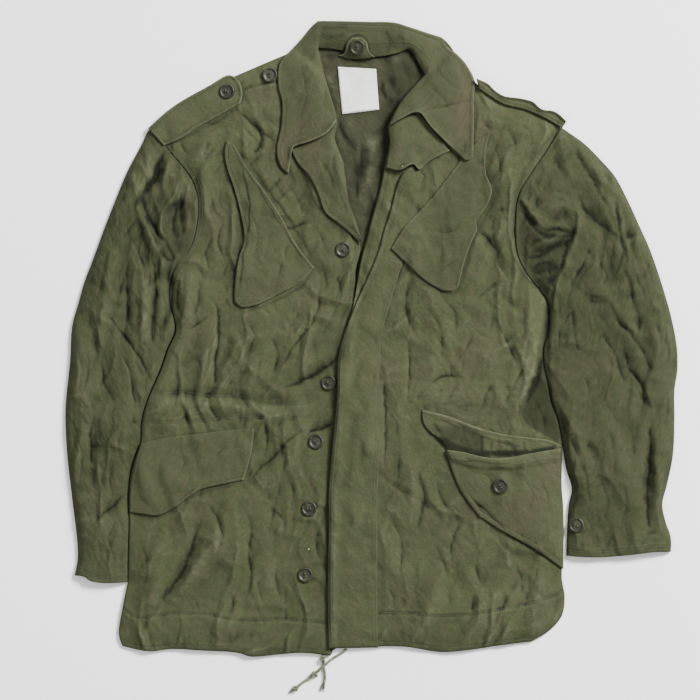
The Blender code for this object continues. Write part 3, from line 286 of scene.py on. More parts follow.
# Creases of each piece, in the same columns.
CREASES: dict[str, tuple[Row, ...]] = {
    "front_right": (
        (-3.2, 5, -254, 87, -257, 41, -249, 22), (-2.4, 5, -228, 75, -229, 50, -235, 29),
        (-3.2, 4.5, -217, 55, -205, 42, -204, 25, -203, 0, -207, -28, -209, -64),
        (-2.2, 4.5, -211, 0, -216, -19, -217, -47), (-2.8, 4.5, -243, 10, -227, 21, -209, 34),
        (-1.6, 4, -201, 42, -191, 50), (-1.6, 4, -146, 44, -135, 30),
        (-2.2, 4.5, -67, 83, -71, 41, -80, 18, -105, -12, -118, -38),
        (-2, 4.5, -94, 18, -106, 6, -114, -10), (-3, 6, -133, 0, -124, -19, -129, -49),
        (-2.6, 5, -146, -28, -150, -43, -152, -59), (-2, 4.5, -45, -4, -60, -21),
        (-4, 5.5, -43, -25, -57, -36, -80, -51, -99, -60, -116, -65),
        (-1.6, 4, -273, -113, -263, -105, -252, -100), (-2, 5, -256, -113, -245, -104, -235, -96),
        (-3.8, 4.5, -216, -72, -215, -81, -212, -94, -205, -109), (-2.6, 4, -175, -88, -173, -115),
        (-1.8, 4, -179, -75, -183, -59), (-1.8, 4, -192, -68, -186, -55),
        (-1.8, 4, -164, -100, -150, -88), (-3.4, 5.5, -144, -111, -139, -135, -142, -161),
        (-3.6, 5, -49, -111, -67, -121, -83, -127),
        (-3, 5, -92, -122, -106, -133, -116, -144, -120, -159), (-2, 4.5, -90, -139, -79, -122),
        (-1.2, 4, -252, -47, -249, -31, -239, -16), (-1.2, 4, -232, -27, -224, -43, -217, -59),
        (-1.6, 4, -82, -35, -84, -56), (-2.6, 5, -159, -188, -150, -176, -140, -167, -116, -145),
        (-2.4, 5, -150, -212, -140, -199, -131, -187),
        (-1.8, 5, -114, -176, -104, -203, -107, -232),
        (-1.6, 5, -135, -223, -118, -242, -114, -270), (2, 8, -188, -216, -178, -248, -180, -280),
        (-2, 5.5, -167, -232, -159, -256, -163, -290, -156, -322),
        (-2.6, 5.5, -229, -246, -235, -266, -248, -305, -265, -333, -276, -348),
        (-2.4, 5.5, -221, -219, -203, -242, -199, -269, -207, -292),
        (2.4, 7, -211, -277, -235, -305, -257, -342),
        (-1.8, 4.5, -269, -332, -275, -345, -263, -357), (-1.8, 4, -235, -345, -227, -366),
        (-1.8, 4, -184, -338, -183, -371), (-1.8, 4, -152, -322, -144, -354),
        (-1.4, 5, -308, -269, -299, -296, -304, -336),
        (-1.2, 5, -122, -290, -127, -322, -118, -353), (-1.6, 4.5, -71, -176, -76, -203, -70, -216),
        (-1.4, 4.5, -66, -242, -74, -276, -66, -296), (-1.6, 4.5, -271, -16, -257, -32, -260, -56),
        (-1.4, 4.5, -187, 5, -191, -19, -180, -43), (2.4, 8, -187, 16, -175, -10, -171, -46),
        (-1.8, 4.5, -167, 21, -156, 5, -162, -19), (-2, 4.5, -45, 43, -54, 24, -66, 5),
        (-2, 4, -46, 83, -41, 61, -45, 43), (-1.6, 4.5, -92, 50, -99, 26, -112, 10),
        (-2.4, 4.5, -216, 266, -219, 250, -223, 234), (-2, 4.5, -207, 252, -216, 242, -223, 234),
        (-2.4, 4.5, -213, 188, -209, 168, -198, 162), (2.2, 7, -220, 202, -223, 176, -216, 154),
        (-2, 5, -198, 154, -203, 127, -194, 101), (-2, 5, -211, 135, -219, 111, -212, 85),
        (-1.6, 5, -191, 101, -196, 77, -190, 55), (-1.8, 4.5, -159, 295, -146, 274, -126, 260),
        (-1.6, 4.5, -175, 292, -159, 267, -138, 247), (-1.6, 5, -228, 292, -212, 284, -199, 287),
        (-1.4, 4.5, -146, 306, -135, 288, -123, 279), (-1.8, 4.5, -115, 207, -100, 188, -91, 165),
        (-1.6, 4.5, -132, 212, -119, 190, -106, 178), (-1.6, 4.5, -79, 149, -66, 133, -55, 106),
        (-1.4, 4.5, -71, 101, -61, 82, -63, 61), (-1.8, 4.5, -247, 279, -253, 262, -244, 242),
        (-4, 5, -261, 106, -267, 83, -265, 42, -273, 4),
        (3.5, 7, -247, 163, -252, 130, -255, 101, -252, 50),
        (-3.2, 4.5, -179, 299, -155, 283, -147, 263, -156, 242),
        (-2.4, 4, -120, 214, -128, 202, -140, 192), (2.2, 5, -135, 290, -127, 263, -135, 236),
        (-2.2, 4.5, -167, 223, -154, 236, -140, 244), (-2.4, 4, -146, 130, -95, 150, -74, 154),
    ),
    "front_left": (
        (-2.6, 7, 27, 95, 19, 63, 12, 28, 5, -16), (-2.4, 6, 51, 79, 47, 53, 47, 34, 55, 0),
        (-2, 5, 12, -15, 16, -59, 19, -108, 17, -176), (-2, 5, 46, 0, 51, -31, 46, -96),
        (-1.6, 5, 31, -96, 37, -149, 33, -205), (-2.4, 4.5, 143, 142, 163, 120, 171, 95, 183, 75),
        (-2.2, 4.5, 178, 77, 154, 64, 139, 47), (-2.2, 4.5, 164, 256, 171, 230, 171, 207),
        (-2, 4, 171, 176, 175, 165, 183, 154), (-1.8, 4, 166, 162, 160, 141, 167, 122),
        (-2.2, 6, 70, 40, 85, 25, 92, 4, 92, -28), (-2.2, 6, 137, 8, 126, -15, 113, -35),
        (-1.4, 4.5, 126, 21, 144, 6, 160, -4), (-2.2, 4.5, 175, 10, 184, -15, 197, -40),
        (2, 6, 187, 42, 192, 21, 195, -6), (-1.6, 4.5, 201, 42, 204, 18, 199, -10),
        (-2, 4.5, 59, -86, 72, -67, 88, -54, 122, -50), (-1.8, 4.5, 162, -58, 152, -78, 147, -99),
        (-1.8, 4.5, 115, -58, 105, -78, 96, -91), (-1.6, 4.5, 94, -67, 88, -88),
        (-1.6, 4, 86, -38, 92, -51), (-1.6, 4, 104, -35, 107, -52), (-1.6, 4, 122, -30, 119, -48),
        (-1.8, 4.5, 174, -54, 182, -72, 174, -93), (-2.4, 5, 211, 10, 203, -32, 186, -72),
        (-2.4, 5, 203, -95, 212, -109, 222, -129), (-2, 5, 216, -78, 225, -97, 236, -123),
        (-2, 5, 229, -62, 235, -83, 244, -107), (-1.6, 5, 198, -80, 196, -101, 207, -123),
        (-2.4, 6, -14, -40, -18, -67, -19, -96, -18, -140),
        (-1.8, 5, -6, -176, -10, -229, -5, -282), (-1.6, 5, -23, -216, -27, -276, -22, -336),
        (2.2, 8, -1, -56, -2, -123, -7, -189), (-1.8, 6, 27, -242, 41, -276, 35, -322),
        (-1.6, 5.5, 62, -176, 70, -216, 59, -256), (-1.8, 5.5, 87, -189, 99, -223, 126, -249),
        (-2, 5, 120, -242, 107, -276, 111, -309), (-1.8, 5, 152, -276, 139, -298, 147, -333),
        (-1.8, 5, 78, -269, 92, -290, 102, -322), (-1.6, 5, 57, -329, 75, -344, 86, -362),
        (-1.6, 5, 18, -329, 31, -349, 22, -365), (-1.8, 5, 184, -296, 199, -316, 198, -346),
        (-1.8, 5, 224, -302, 216, -325, 227, -346), (-1.4, 4, 102, -338, 107, -362),
        (-1.4, 4, 136, -341, 134, -365), (-1.4, 4, 41, -344, 45, -363),
        (-2, 5, 23, 183, 35, 165, 33, 141), (-1.6, 5, 65, 50, 54, 21, 65, -10),
        (-1.8, 5, 96, 50, 111, 32, 111, 5), (-1.6, 5, 155, 50, 162, 26, 155, 5),
        (-1.6, 4.5, 178, 279, 191, 260, 187, 236), (-1.4, 4.5, 198, 284, 213, 271, 211, 252),
        (-1.6, 4.5, 152, 308, 167, 292, 187, 290), (2, 7, 182, 226, 187, 196, 182, 167),
        (-1.6, 4.5, 144, 300, 150, 284, 164, 274), (-4, 5, 232, -10, 225, -35, 217, -64, 205, -88),
        (4, 6, 220, -3, 211, -50, 196, -86, 187, -123),
        (1.4, 3, 192, 231, 184, 183, 187, 119, 195, 101, 228, 53),
    ),
    "sleeve_right": (
        (-4, 5, -272, 252, -283, 232, -295, 203, -311, 174),
        (-3.6, 5, -295, 143, -285, 125, -275, 107, -261, 99),
        (-4, 6, -251, 194, -254, 176, -253, 154, -249, 135),
        (2.6, 5, -256, 208, -265, 187, -276, 166, -280, 149, -274, 129),
        (2.4, 6, -304, 176, -295, 154, -283, 130),
        (-2.6, 4.5, -320, 134, -311, 117, -304, 98, -301, 73),
        (-3, 5, -288, 67, -289, 37, -292, 6, -288, -11), (-2.4, 4.5, -324, 87, -332, 67, -336, 50),
        (-2.6, 4, -349, 29, -334, 10, -320, -10, -304, -34, -289, -62),
        (-2.4, 6, -364, 10, -360, -19, -357, -47, -352, -66, -340, -86),
        (-2.4, 4.5, -331, -23, -321, -47, -317, -71, -313, -96),
        (-3, 5, -370, -105, -373, -136, -372, -168),
        (-2.4, 4.5, -356, -177, -360, -197, -361, -219),
        (-2.8, 5, -323, -205, -338, -219, -353, -230, -374, -254),
        (-1.8, 4, -321, -109, -306, -120), (-2.2, 4.5, -342, -90, -344, -109, -342, -129),
        (-2, 5, -323, 212, -329, 188, -340, 166), (-2, 5, -336, 154, -344, 126, -356, 101),
        (-1.8, 5, -350, 93, -361, 63, -366, 34), (2.2, 7, -308, 50, -303, 21, -305, -8),
        (-2, 4.5, -319, 50, -323, 26, -316, 5), (-2.2, 4.5, -279, 61, -273, 34, -277, 8),
        (-2, 4.5, -309, -10, -312, -32, -303, -54), (-1.8, 4.5, -390, -16, -385, -46, -389, -76),
        (-1.8, 4.5, -378, -10, -376, -40, -381, -72),
        (-1.8, 4.5, -332, -123, -336, -147, -328, -171),
        (-1.8, 4.5, -388, -136, -384, -165, -388, -196),
        (-1.8, 4.5, -341, -165, -348, -192, -344, -213),
        (-1.8, 4.5, -382, -226, -374, -242, -380, -269),
        (-1.8, 4.5, -337, -242, -349, -262, -344, -290),
        (-1.6, 4.5, -364, -269, -360, -290, -366, -309), (2, 6, -356, -245, -366, -269, -361, -298),
        (-1.8, 4.5, -301, 220, -313, 196, -324, 183), (-1.8, 4.5, -313, 159, -323, 141, -333, 130),
        (-2.4, 4.5, -279, 117, -284, 93, -281, 69), (-2, 4.5, -297, 101, -295, 77, -300, 50),
        (5.5, 5, -255, 215, -260, 190, -275, 169, -279, 147, -271, 123, -261, 106),
        (-5, 8, -247, 184, -255, 175, -263, 154, -257, 130),
        (4.5, 6, -313, 178, -300, 151, -291, 130, -276, 109),
        (-5, 5, -304, 188, -299, 165, -285, 142, -268, 117, -263, 101),
        (-5, 5, -273, 247, -284, 228, -291, 207, -304, 191),
        (3.5, 6, -265, 244, -273, 223, -277, 202, -271, 183),
        (-3.5, 6, -289, 101, -287, 50, -289, -10), (3, 7, -304, 97, -303, 50, -307, -16),
        (-3, 6, -320, 137, -325, 90, -324, 37, -329, -16),
        (3, 8, -344, 130, -354, 63, -361, -3, -366, -83),
    ),
    "sleeve_left": (
        (-3, 4.5, 275, 188, 293, 158, 312, 146, 332, 131),
        (-2.4, 4.5, 287, 218, 301, 196, 316, 167, 329, 135),
        (-2, 4.5, 297, 210, 308, 198, 316, 184), (2.8, 5.5, 329, 180, 336, 137, 349, 98, 366, 51),
        (-3.6, 4.5, 323, 182, 328, 154, 334, 125, 342, 90),
        (-4, 6, 216, 161, 231, 149, 248, 143, 269, 141),
        (-3.4, 5, 208, 114, 231, 117, 251, 122, 267, 133),
        (3, 6, 221, 179, 240, 175, 259, 176, 269, 167), (3, 6, 219, 129, 237, 130, 255, 133),
        (-4, 8, 236, 101, 237, 83, 241, 66), (-3, 5, 271, 142, 259, 111, 247, 85),
        (2.2, 6, 281, 62, 301, 58, 320, 61, 336, 67), (-2.2, 4.5, 285, 50, 301, 47, 315, 50),
        (-3, 5, 315, 51, 327, 25, 346, 3, 360, -16, 373, -44),
        (-2.6, 4.5, 333, -2, 341, -35, 353, -54, 365, -78, 369, -105),
        (-2.4, 4.5, 353, 39, 356, 21, 355, 2), (-2.6, 4.5, 267, 37, 269, 4, 279, -26),
        (-2.4, 4.5, 267, 37, 253, 13, 248, -20), (-1.6, 4.5, 298, 20, 320, -16, 338, -64),
        (-2.2, 4.5, 346, 91, 358, 67, 367, 46), (-2, 4.5, 344, 85, 347, 63, 347, 43),
        (-1.8, 4.5, 269, 77, 275, 61, 272, 43), (-2, 4.5, 283, -50, 289, -72, 295, -92),
        (-2.2, 5, 251, 66, 248, 42, 251, 20),
        (-3.4, 5.5, 372, -107, 369, -163, 366, -209, 370, -254),
        (2.6, 6, 381, -112, 378, -165, 376, -216), (-1.8, 4.5, 362, -261, 378, -260, 396, -262),
        (-1.8, 4.5, 236, -87, 259, -125, 271, -151, 283, -181, 289, -224),
        (2, 6, 245, -80, 269, -123, 291, -176), (-1.8, 4.5, 313, -123, 323, -152, 320, -184),
        (-1.6, 4.5, 341, -116, 349, -147, 344, -176), (-1.6, 4.5, 304, -189, 313, -216, 308, -245),
        (-1.6, 4.5, 333, -192, 338, -221, 332, -249), (-1.6, 4.5, 277, -229, 291, -248, 285, -269),
        (-1.6, 4.5, 389, 10, 394, -16, 390, -46), (-1.6, 4.5, 377, 24, 385, -3, 382, -32),
        (-1.6, 4.5, 392, -67, 394, -93, 389, -120), (-1.8, 4.5, 304, 101, 312, 79, 305, 66),
        (-1.6, 4.5, 288, 122, 293, 103, 287, 87), (-1.4, 4.5, 265, 250, 280, 236, 291, 239),
        (-1.4, 4.5, 253, 236, 271, 223, 283, 220), (-1.8, 4.5, 235, 192, 248, 195, 264, 190),
        (-1.4, 4.5, 304, 226, 320, 204, 328, 188), (-1.6, 4.5, 357, 117, 368, 93, 373, 69),
        (-1.6, 4.5, 309, -76, 320, -101, 331, -115),
        (5, 4.5, 196, 190, 211, 167, 225, 151, 245, 146, 271, 149),
        (-2.5, 4, 201, 167, 216, 146, 231, 135, 251, 133, 267, 138),
        (4, 4, 203, 113, 219, 121, 237, 129, 259, 139),
        (-2.2, 4, 207, 105, 224, 110, 241, 121, 260, 131), (-2.2, 4, 213, 94, 228, 99, 247, 103),
        (6, 5, 272, 175, 273, 143, 265, 123, 255, 93, 245, 63, 241, 34),
        (-2, 6, 293, 130, 283, 101, 267, 70, 259, 37),
    ),
    "chest_flap_right": (
        (-1.6, 3.5, -110, 126, -119, 95, -128, 66), (-1, 4, -159, 165, -151, 135, -156, 106),
        (-0.8, 4, -135, 149, -138, 122, -146, 101),
    ),
    "chest_flap_left": (
        (-1.8, 3.5, 84, 74, 97, 92, 117, 103), (-1.6, 4, 63, 142, 86, 141, 107, 141, 120, 154),
        (-1.4, 4.5, 68, 135, 72, 114, 70, 93), (-1.4, 4, 119, 135, 116, 109),
        (1.4, 6, 94, 130, 98, 111, 104, 95),
    ),
    "lower_flap_right": (
        (-1.2, 4, -207, -160, -196, -145, -188, -136),
        (-0.9, 4, -255, -144, -249, -165, -260, -192),
        (-0.9, 4, -229, -136, -233, -160, -224, -181),
    ),
    "lower_pocket_left": (
        (-2.6, 4, 122, -201, 135, -215, 151, -230, 179, -256),
        (-1.4, 4, 142, -179, 155, -184, 160, -205), (-1.4, 4, 198, -189, 213, -205, 208, -232),
        (-1.2, 4, 224, -187, 235, -213, 231, -242),
    ),
    "lower_flap_left": (
        (-1.4, 3.5, 118, -112, 122, -128, 115, -144), (-1.4, 3.5, 135, -120, 134, -136, 142, -149),
        (-1.2, 3.5, 171, -131, 179, -144, 175, -157), (-1.6, 3, 208, -133, 209, -152),
    ),
    "collar": (
        (-1.4, 4, 62, 299, 91, 306, 136, 315), (-1, 4, -95, 361, -87, 327, -95, 290),
        (-1, 4, -75, 316, -84, 292, -98, 271), (-1.2, 4, -41, 409, -26, 405, -2, 408),
        (-1.2, 4, 86, 356, 104, 337, 120, 329), (-1, 4, 78, 332, 96, 316, 104, 292),
    ),
    "lapel_right": (
        (-1.2, 4, -71, 239, -58, 220, -50, 196), (-1, 4, -47, 212, -39, 183, -31, 159),
    ),
    "back": (
        (2.4, 6, 17, 287, 9, 263, -5, 239), (-1.4, 5, -26, 287, -15, 263, -13, 236),
        (2.4, 6, 35, 340, 27, 321, 11, 311), (2, 6, -34, 279, -27, 252, -23, 223),
        (1.8, 6, -2, 223, -7, 194, -5, 165), (2, 6, 38, 361, 43, 340, 35, 324),
        (2, 6, -62, 353, -50, 327, -45, 300), (-2.5, 5, 13, 337, 18, 324, 30, 312),
        (2, 5, 18, 343, 22, 327, 34, 315), (-2.5, 5, 25, 348, 30, 335, 41, 323),
        (-2.5, 6, -45, 292, -34, 268, -18, 250), (2.5, 8, -35, 295, -21, 270, -5, 250),
        (-2.5, 6, -7, 276, -13, 236, -21, 183), (2.2, 7, 3, 263, -2, 230, -10, 196),
    ),
}

# Painted shadows and shade of each piece. Columns: strength (below 0 for a rubbed line), half width
# (or minus the softness of a filled outline), then x and y of each point.
SHADES: dict[str, tuple[Row, ...]] = {
    "sleeve_right": (
        (0.8, 3, -273, 250, -284, 231, -289, 208, -304, 191, -313, 175, -306, 147, -296, 118, -282,
         105), (0.95, 3, -304, 188, -299, 165, -285, 142, -268, 117, -263, 103),
        (0.45, 7, -295, 196, -300, 163, -284, 133, -271, 111),
        (0.9, 6, -273, 167, -265, 176, -253, 179, -244, 184),
        (0.45, 9, -260, 159, -253, 173, -241, 182),
        (0.5, 4, -255, 208, -260, 187, -273, 166, -276, 147, -268, 123, -260, 106),
        (0.5, 5, -289, 81, -288, 50, -289, 10),
        (1, 4, -263, 106, -267, 93, -268, 73, -266, 42, -273, 10),
        (0.35, 5, -319, 143, -324, 103, -321, 63, -327, 10),
        (0.3, 6, -348, 117, -361, 50, -368, -16),
        (0.4, 3, -284, -10, -299, -63, -308, -123, -311, -176, -319, -242),
        (0.6, 3.5, -296, 272, -285, 263, -275, 254),
        (0.5, -1.5, -279, 166, -259, 179, -244, 179, -245, 154, -251, 123, -260, 109, -272, 126,
         -277, 146), (-0.6, 1.8, -281, 167, -281, 146, -275, 125, -265, 106),
    ),
    "front_right": (
        (1, 2.6, -261, 109, -265, 93, -267, 73, -265, 42, -271, 10, -284, -19),
        (0.4, 6, -233, 230, -228, 196, -233, 176), (0.5, 4, -212, 182, -211, 167, -194, 158),
        (0.45, 3, -273, 4, -292, -43, -303, -96, -305, -136),
        (0.6, 3.5, -275, 254, -255, 263, -228, 276, -199, 292, -175, 307),
        (0.5, 4, -175, 343, -171, 327, -178, 308),
        (0.6, 3.5, -118, 356, -120, 329, -118, 292, -123, 263, -125, 236, -116, 219, -107, 223),
        (0.6, 4, -107, 247, -91, 220, -74, 179, -51, 151, -19, 127),
        (0.35, 9, -106, 230, -87, 196, -71, 163, -47, 141),
        (0.75, 3.5, -196, 255, -192, 226, -179, 183, -172, 158, -171, 135, -179, 106, -183, 81,
         -182, 50, -174, 38), (0.45, 7, -178, 176, -174, 143, -183, 103, -187, 63),
        (0.5, 3, -174, 38, -151, 40, -128, 50, -102, 62, -76, 87),
        (0.65, 2.4, -183, 259, -150, 214, -115, 167, -74, 98),
        (0.5, 3, -179, 299, -155, 283, -147, 263, -156, 242),
        (0.4, 3, -120, 214, -128, 202, -140, 192),
        (0.5, 3, -323, -233, -284, -238, -260, -226, -240, -212, -208, -201, -171, -191),
        (0.45, 3, -156, -125, -162, -156, -170, -189), (0.3, 3, -308, -140, -255, -131, -159, -120),
        (0.55, 4, -21, 77, -34, 37, -45, -10, -47, -83, -53, -216, -55, -402),
        (0.3, 9, -29, 50, -49, -16, -53, -109, -58, -242, -62, -389),
    ),
    "fly": (
        (-0.6, 1.6, 31, 179, 19, 142, 11, 106, -6, 71, -29, 20, -35, 5),
        (-0.5, 1.8, -39, -19, -42, -63, -43, -123),
    ),
    "front_left": (
        (-0.6, 1.6, 26, 183, 14, 146, 6, 110, -11, 75, -34, 24),
        (0.6, 3.5, 19, 236, 23, 227, 38, 226, 57, 223, 70, 232, 99, 248),
        (0.5, 3, 99, 250, 115, 239, 134, 235), (0.35, 3, 139, 323, 139, 290, 135, 239),
        (0.55, 3.5, 26, 118, 38, 101, 54, 85, 70, 71, 86, 65, 107, 59, 118, 69, 126, 97, 139, 149,
         158, 180), (0.4, 4, 27, 126, 43, 146, 71, 176, 107, 215, 123, 236),
        (0.5, 5, 154, 250, 159, 216, 166, 196, 150, 163), (0.5, 4, 142, 145, 166, 119, 176, 86),
        (0.55, 3.5, 68, -99, 71, -115, 86, -132, 98, -147),
        (0.65, 4, 98, -149, 107, -173, 120, -197, 139, -224, 167, -249, 198, -270, 231, -293),
        (0.3, 9, 99, -169, 118, -209, 144, -237),
        (0.35, 3, 71, -99, 118, -116, 171, -128, 245, -139),
        (0.9, 3, 235, 50, 231, -10, 225, -43, 217, -72, 205, -90),
        (0.72, -1.2, 232, 0, 225, -32, 216, -64, 204, -88, 199, -100, 208, -117, 229, -129, 249,
         -140, 247, -109, 240, -76, 233, -32), (0.5, 3, 205, -91, 219, -109, 235, -120),
        (0.4, 2.5, 216, -72, 228, -93, 240, -109),
        (0.45, 3.5, 253, 279, 224, 250, 198, 210, 191, 176, 195, 117),
        (0.4, 3, 140, 327, 178, 312, 211, 300, 251, 279),
        (0.65, 2.5, 147, 236, 156, 212, 160, 178, 143, 146, 132, 117, 122, 77),
    ),
    "lapel_right": (
        (-0.6, 1.6, -106, 247, -88, 220, -71, 183, -58, 162, -35, 141, -15, 127),
        (0.5, 3, -46, 250, -50, 230, -35, 190, -22, 150), (0.35, 4, -79, 250, -71, 220, -55, 188),
    ),
    "chest_flap_right": (
        (0.85, 1.6, -184, 252, -170, 220, -162, 182, -163, 150, -170, 106, -175, 53),
        (-0.6, 1.6, -188, 252, -175, 216, -168, 179, -167, 154, -174, 109, -178, 63),
        (0.75, 1.6, -180, 252, -154, 204, -130, 165, -90, 101),
        (0.12, -6, -194, 259, -162, 263, -95, 170, -71, 101, -95, 66, -170, 42, -180, 63, -167,
         130, -175, 183),
    ),
    "back": (
        (0.9, 4, 46, 391, 57, 372, 71, 348), (0.6, 9, 38, 369, 59, 343, 43, 316),
        (0.7, 5, 25, 306, 19, 263, 17, 223, 3, 183, -7, 143),
        (0.6, 4, -51, 292, -47, 256, -39, 216, -31, 176, -18, 130),
        (0.75, 4, -66, 381, -49, 376, -15, 372, 17, 373, 43, 381),
        (0.4, 4, -45, 361, -47, 329, -42, 300), (0.35, 4, -42, 298, -15, 299, 10, 303),
        (0.6, 5, -29, 263, -21, 230, -26, 196), (0.85, 2.4, 14, 339, 19, 324, 30, 311, 38, 320),
        (0.6, 2.4, 23, 345, 29, 332, 39, 323), (0.5, 3, 31, 356, 37, 343, 47, 332),
        (0.55, -6, 17, 369, 51, 367, 68, 345, 43, 316, 27, 300, 19, 250, 9, 196, -7, 157, -2, 210,
         9, 276, 17, 316), (0.8, 3, -43, 290, -34, 266, -18, 248),
        (0.5, 4, -26, 243, -13, 230, 7, 236),
    ),
    "lapel_left": (
        (0.6, 3.5, 59, 300, 72, 292, 86, 276, 104, 259, 123, 240),
    ),
    "lower_flap_left": (
        (0.9, -1.2, 88, -131, 99, -147, 120, -157, 158, -159, 160, -152, 136, -147, 115, -141, 99,
         -131),
        (0.95, -1.2, 142, -152, 171, -159, 211, -155, 245, -148, 245, -144, 211, -148, 171, -149),
        (0.55, -2.5, 91, -120, 107, -144, 142, -152, 144, -123, 120, -115),
        (0.8, 2.5, 146, -128, 147, -144, 143, -155), (0.75, 3, 176, -133, 188, -144, 194, -156),
        (0.95, 2, 203, -136, 205, -152), (-0.6, 1.5, 209, -136, 211, -152),
        (0.7, 1.4, 72, -103, 98, -111, 131, -124, 171, -139, 204, -145),
        (-0.6, 1.3, 68, -97, 92, -103, 126, -115, 171, -133, 208, -137, 251, -141),
        (0.7, 3, 80, -111, 91, -125, 99, -144), (0.6, 2, 112, -117, 107, -139),
        (0.6, 2, 160, -136, 158, -151),
    ),
    "sleeve_left": (
        (0.85, 3, 235, 58, 236, 24, 235, -10, 236, -50, 241, -90, 251, -136),
        (0.35, 5, 245, 50, 244, -10, 248, -70), (0.6, 5, 265, -242, 269, -223, 280, -205),
        (0.35, 5, 373, -109, 370, -163, 372, -216, 368, -256), (0.3, 5, 357, 103, 370, 50, 377, -3),
        (0.55, -1.5, 199, 174, 216, 149, 231, 141, 251, 138, 268, 141, 259, 122, 251, 101, 243, 77,
         233, 55, 221, 69, 207, 93, 198, 114, 196, 146),
        (0.85, 2.4, 203, 169, 219, 146, 232, 137, 251, 134, 268, 141),
        (0.85, 2.4, 208, 106, 225, 111, 241, 121, 260, 133),
        (0.9, -1.2, 213, 93, 224, 99, 245, 99, 248, 90, 235, 87, 216, 82),
        (0.8, -1, 215, 77, 231, 82, 240, 79, 236, 63, 232, 54, 224, 65),
        (0.45, 4, 283, 101, 268, 70, 260, 30, 259, -16),
        (0.7, 3, 273, 167, 304, 149, 332, 127, 332, 101, 319, 75),
        (0.65, 3, 321, 188, 329, 157, 333, 130),
        (0.2, -10, 251, 276, 304, 250, 384, 77, 400, -269, 291, -289, 237, -16, 195, 130, 192, 183),
    ),
    "collar": (
        (0.85, 2.2, -46, 375, -37, 379, -34, 391, -27, 399, -19, 401, -10, 399, -5, 389, -2, 380,
         9, 373), (0.35, 4, -35, 405, -26, 408, -7, 407), (0.5, 2, 6, 412, 6, 393, 10, 375),
        (0.45, 3, 43, 391, 51, 385, 59, 372),
        (0.38, -3, -71, 423, 38, 420, 41, 391, 11, 375, 1, 377, -7, 396, -29, 401, -38, 380, -68,
         385), (0.65, 3, -68, 404, -50, 400, -34, 404), (0.6, 3, -66, 413, -47, 411, -29, 415),
        (0.7, 2.5, 19, 409, 25, 393, 19, 377), (0.65, 2.5, 31, 401, 41, 396, 43, 383),
    ),
    "chest_flap_left": (
        (0.24, -6, 29, 122, 118, 230, 144, 236, 158, 183, 118, 71, 91, 63, 54, 85),
    ),
    "lower_pocket_left": (
        (-0.5, 1.5, 99, -153, 136, -159, 188, -161, 248, -153),
        (0.55, 1.5, 104, -160, 139, -165, 188, -168, 248, -160),
    ),
}

# Seams within each piece. Columns: kind, points.
SEAMS: dict[str, tuple[tuple[str, Line], ...]] = {
    "front_right": (
        ("CHANNEL", ((-289, -74), (-268, -73), (-247, -72), (-225, -76), (-175, -78), (-162, -81),
         (-148, -87), (-110, -88), (-87, -86), (-72, -81))),
        ("CHANNEL", ((-303, -112), (-247, -112), (-175, -105), (-151, -106), (-110, -108),
         (-82, -104))),
        ("HEM", ((-331, -358), (-316, -369), (-300, -371), (-276, -367), (-239, -366), (-215, -367),
         (-186, -374), (-155, -375), (-115, -374), (-58, -379))),
        ("LINE", ((-114, -332), (-114, -374))),
        ("SHOULDER", ((-172, 328), (-155, 335), (-124, 340))),
    ),
    "front_left": (
        ("CHANNEL", ((51, -86), (80, -72), (107, -70), (144, -67), (187, -68), (211, -71))),
        ("CHANNEL", ((27, -104), (65, -95), (91, -90), (131, -90))),
        ("HEM", ((11, -366), (38, -365), (91, -369), (131, -367), (178, -359), (224, -349),
         (255, -336))),
        ("LINE", ((179, -257), (211, -278), (255, -308))),
        ("YOKE", ((70, 215), (66, 183), (54, 135), (39, 93), (26, 50), (17, 17))),
    ),
}

# Buttons. Columns: name, x, y.
BUTTONS = (
    ("front_button_1", -38, 117),
    ("front_button_2", -57, -60),
    ("front_button_3", -74, -138),
    ("front_button_4", -83, -227),
    ("front_button_5", -88, -315),
    ("strap_button_right", -192, 327),
    ("collar_button_right", -135, 349),
    ("neck_tab_button", -19, 385),
    ("pocket_button_left", 171, -197),
    ("cuff_button_left", 272, -249),
)

# The drawstring's stretches.
CORD_A = ((-64, -433), (-64, -437), (-63, -441), (-62, -447), (-62, -453), (-63, -459))
CORD_B = (
    (-34, -414), (-37, -417), (-41, -420), (-46, -423), (-54, -428), (-62, -435), (-67, -439),
    (-72, -444),
)
CORD_B2 = ((-81, -451), (-86, -455), (-91, -458), (-97, -463))


# ---------------------------------------------------------------- lines
def smooth_line(points: Line, per_span: int = 10) -> Array:
    """A smooth curve through the points, as many short steps.

    Args:
        points: Points in mm.
        per_span: Steps between two neighbouring points.

    Returns:
        The curve's points, one row each.
    """
    marks = np.array(points, float)
    if len(marks) < 3:
        share = np.linspace(0, 1, per_span + 1)[:, None]
        return marks[0] * (1 - share) + marks[1] * share
    spans = np.sqrt(np.linalg.norm(np.diff(marks, axis=0), axis=1))
    slopes = np.diff(marks, axis=0) / spans[:, None]
    tangents = np.empty_like(marks)
    weight = (spans[:-1] / (spans[:-1] + spans[1:]))[:, None]
    tangents[1:-1] = slopes[:-1] * (1 - weight) + slopes[1:] * weight
    tangents[0] = 1.5 * slopes[0] - 0.5 * tangents[1]
    tangents[-1] = 1.5 * slopes[-1] - 0.5 * tangents[-2]
    share = np.linspace(0, 1, per_span, endpoint=False)[:, None]
    pieces = []
    for i, span in enumerate(spans):
        pieces.append(
            (2 * share**3 - 3 * share**2 + 1) * marks[i]
            + (share**3 - 2 * share**2 + share) * span * tangents[i]
            + (3 * share**2 - 2 * share**3) * marks[i + 1]
            + (share**3 - share**2) * span * tangents[i + 1]
        )
    pieces.append(marks[-1:])
    return np.concatenate(pieces)


def run_along(line: Array) -> Array:
    """Distance run from a line's start to each of its points."""
    return np.concatenate([[0], np.cumsum(np.linalg.norm(np.diff(line, axis=0), axis=1))])


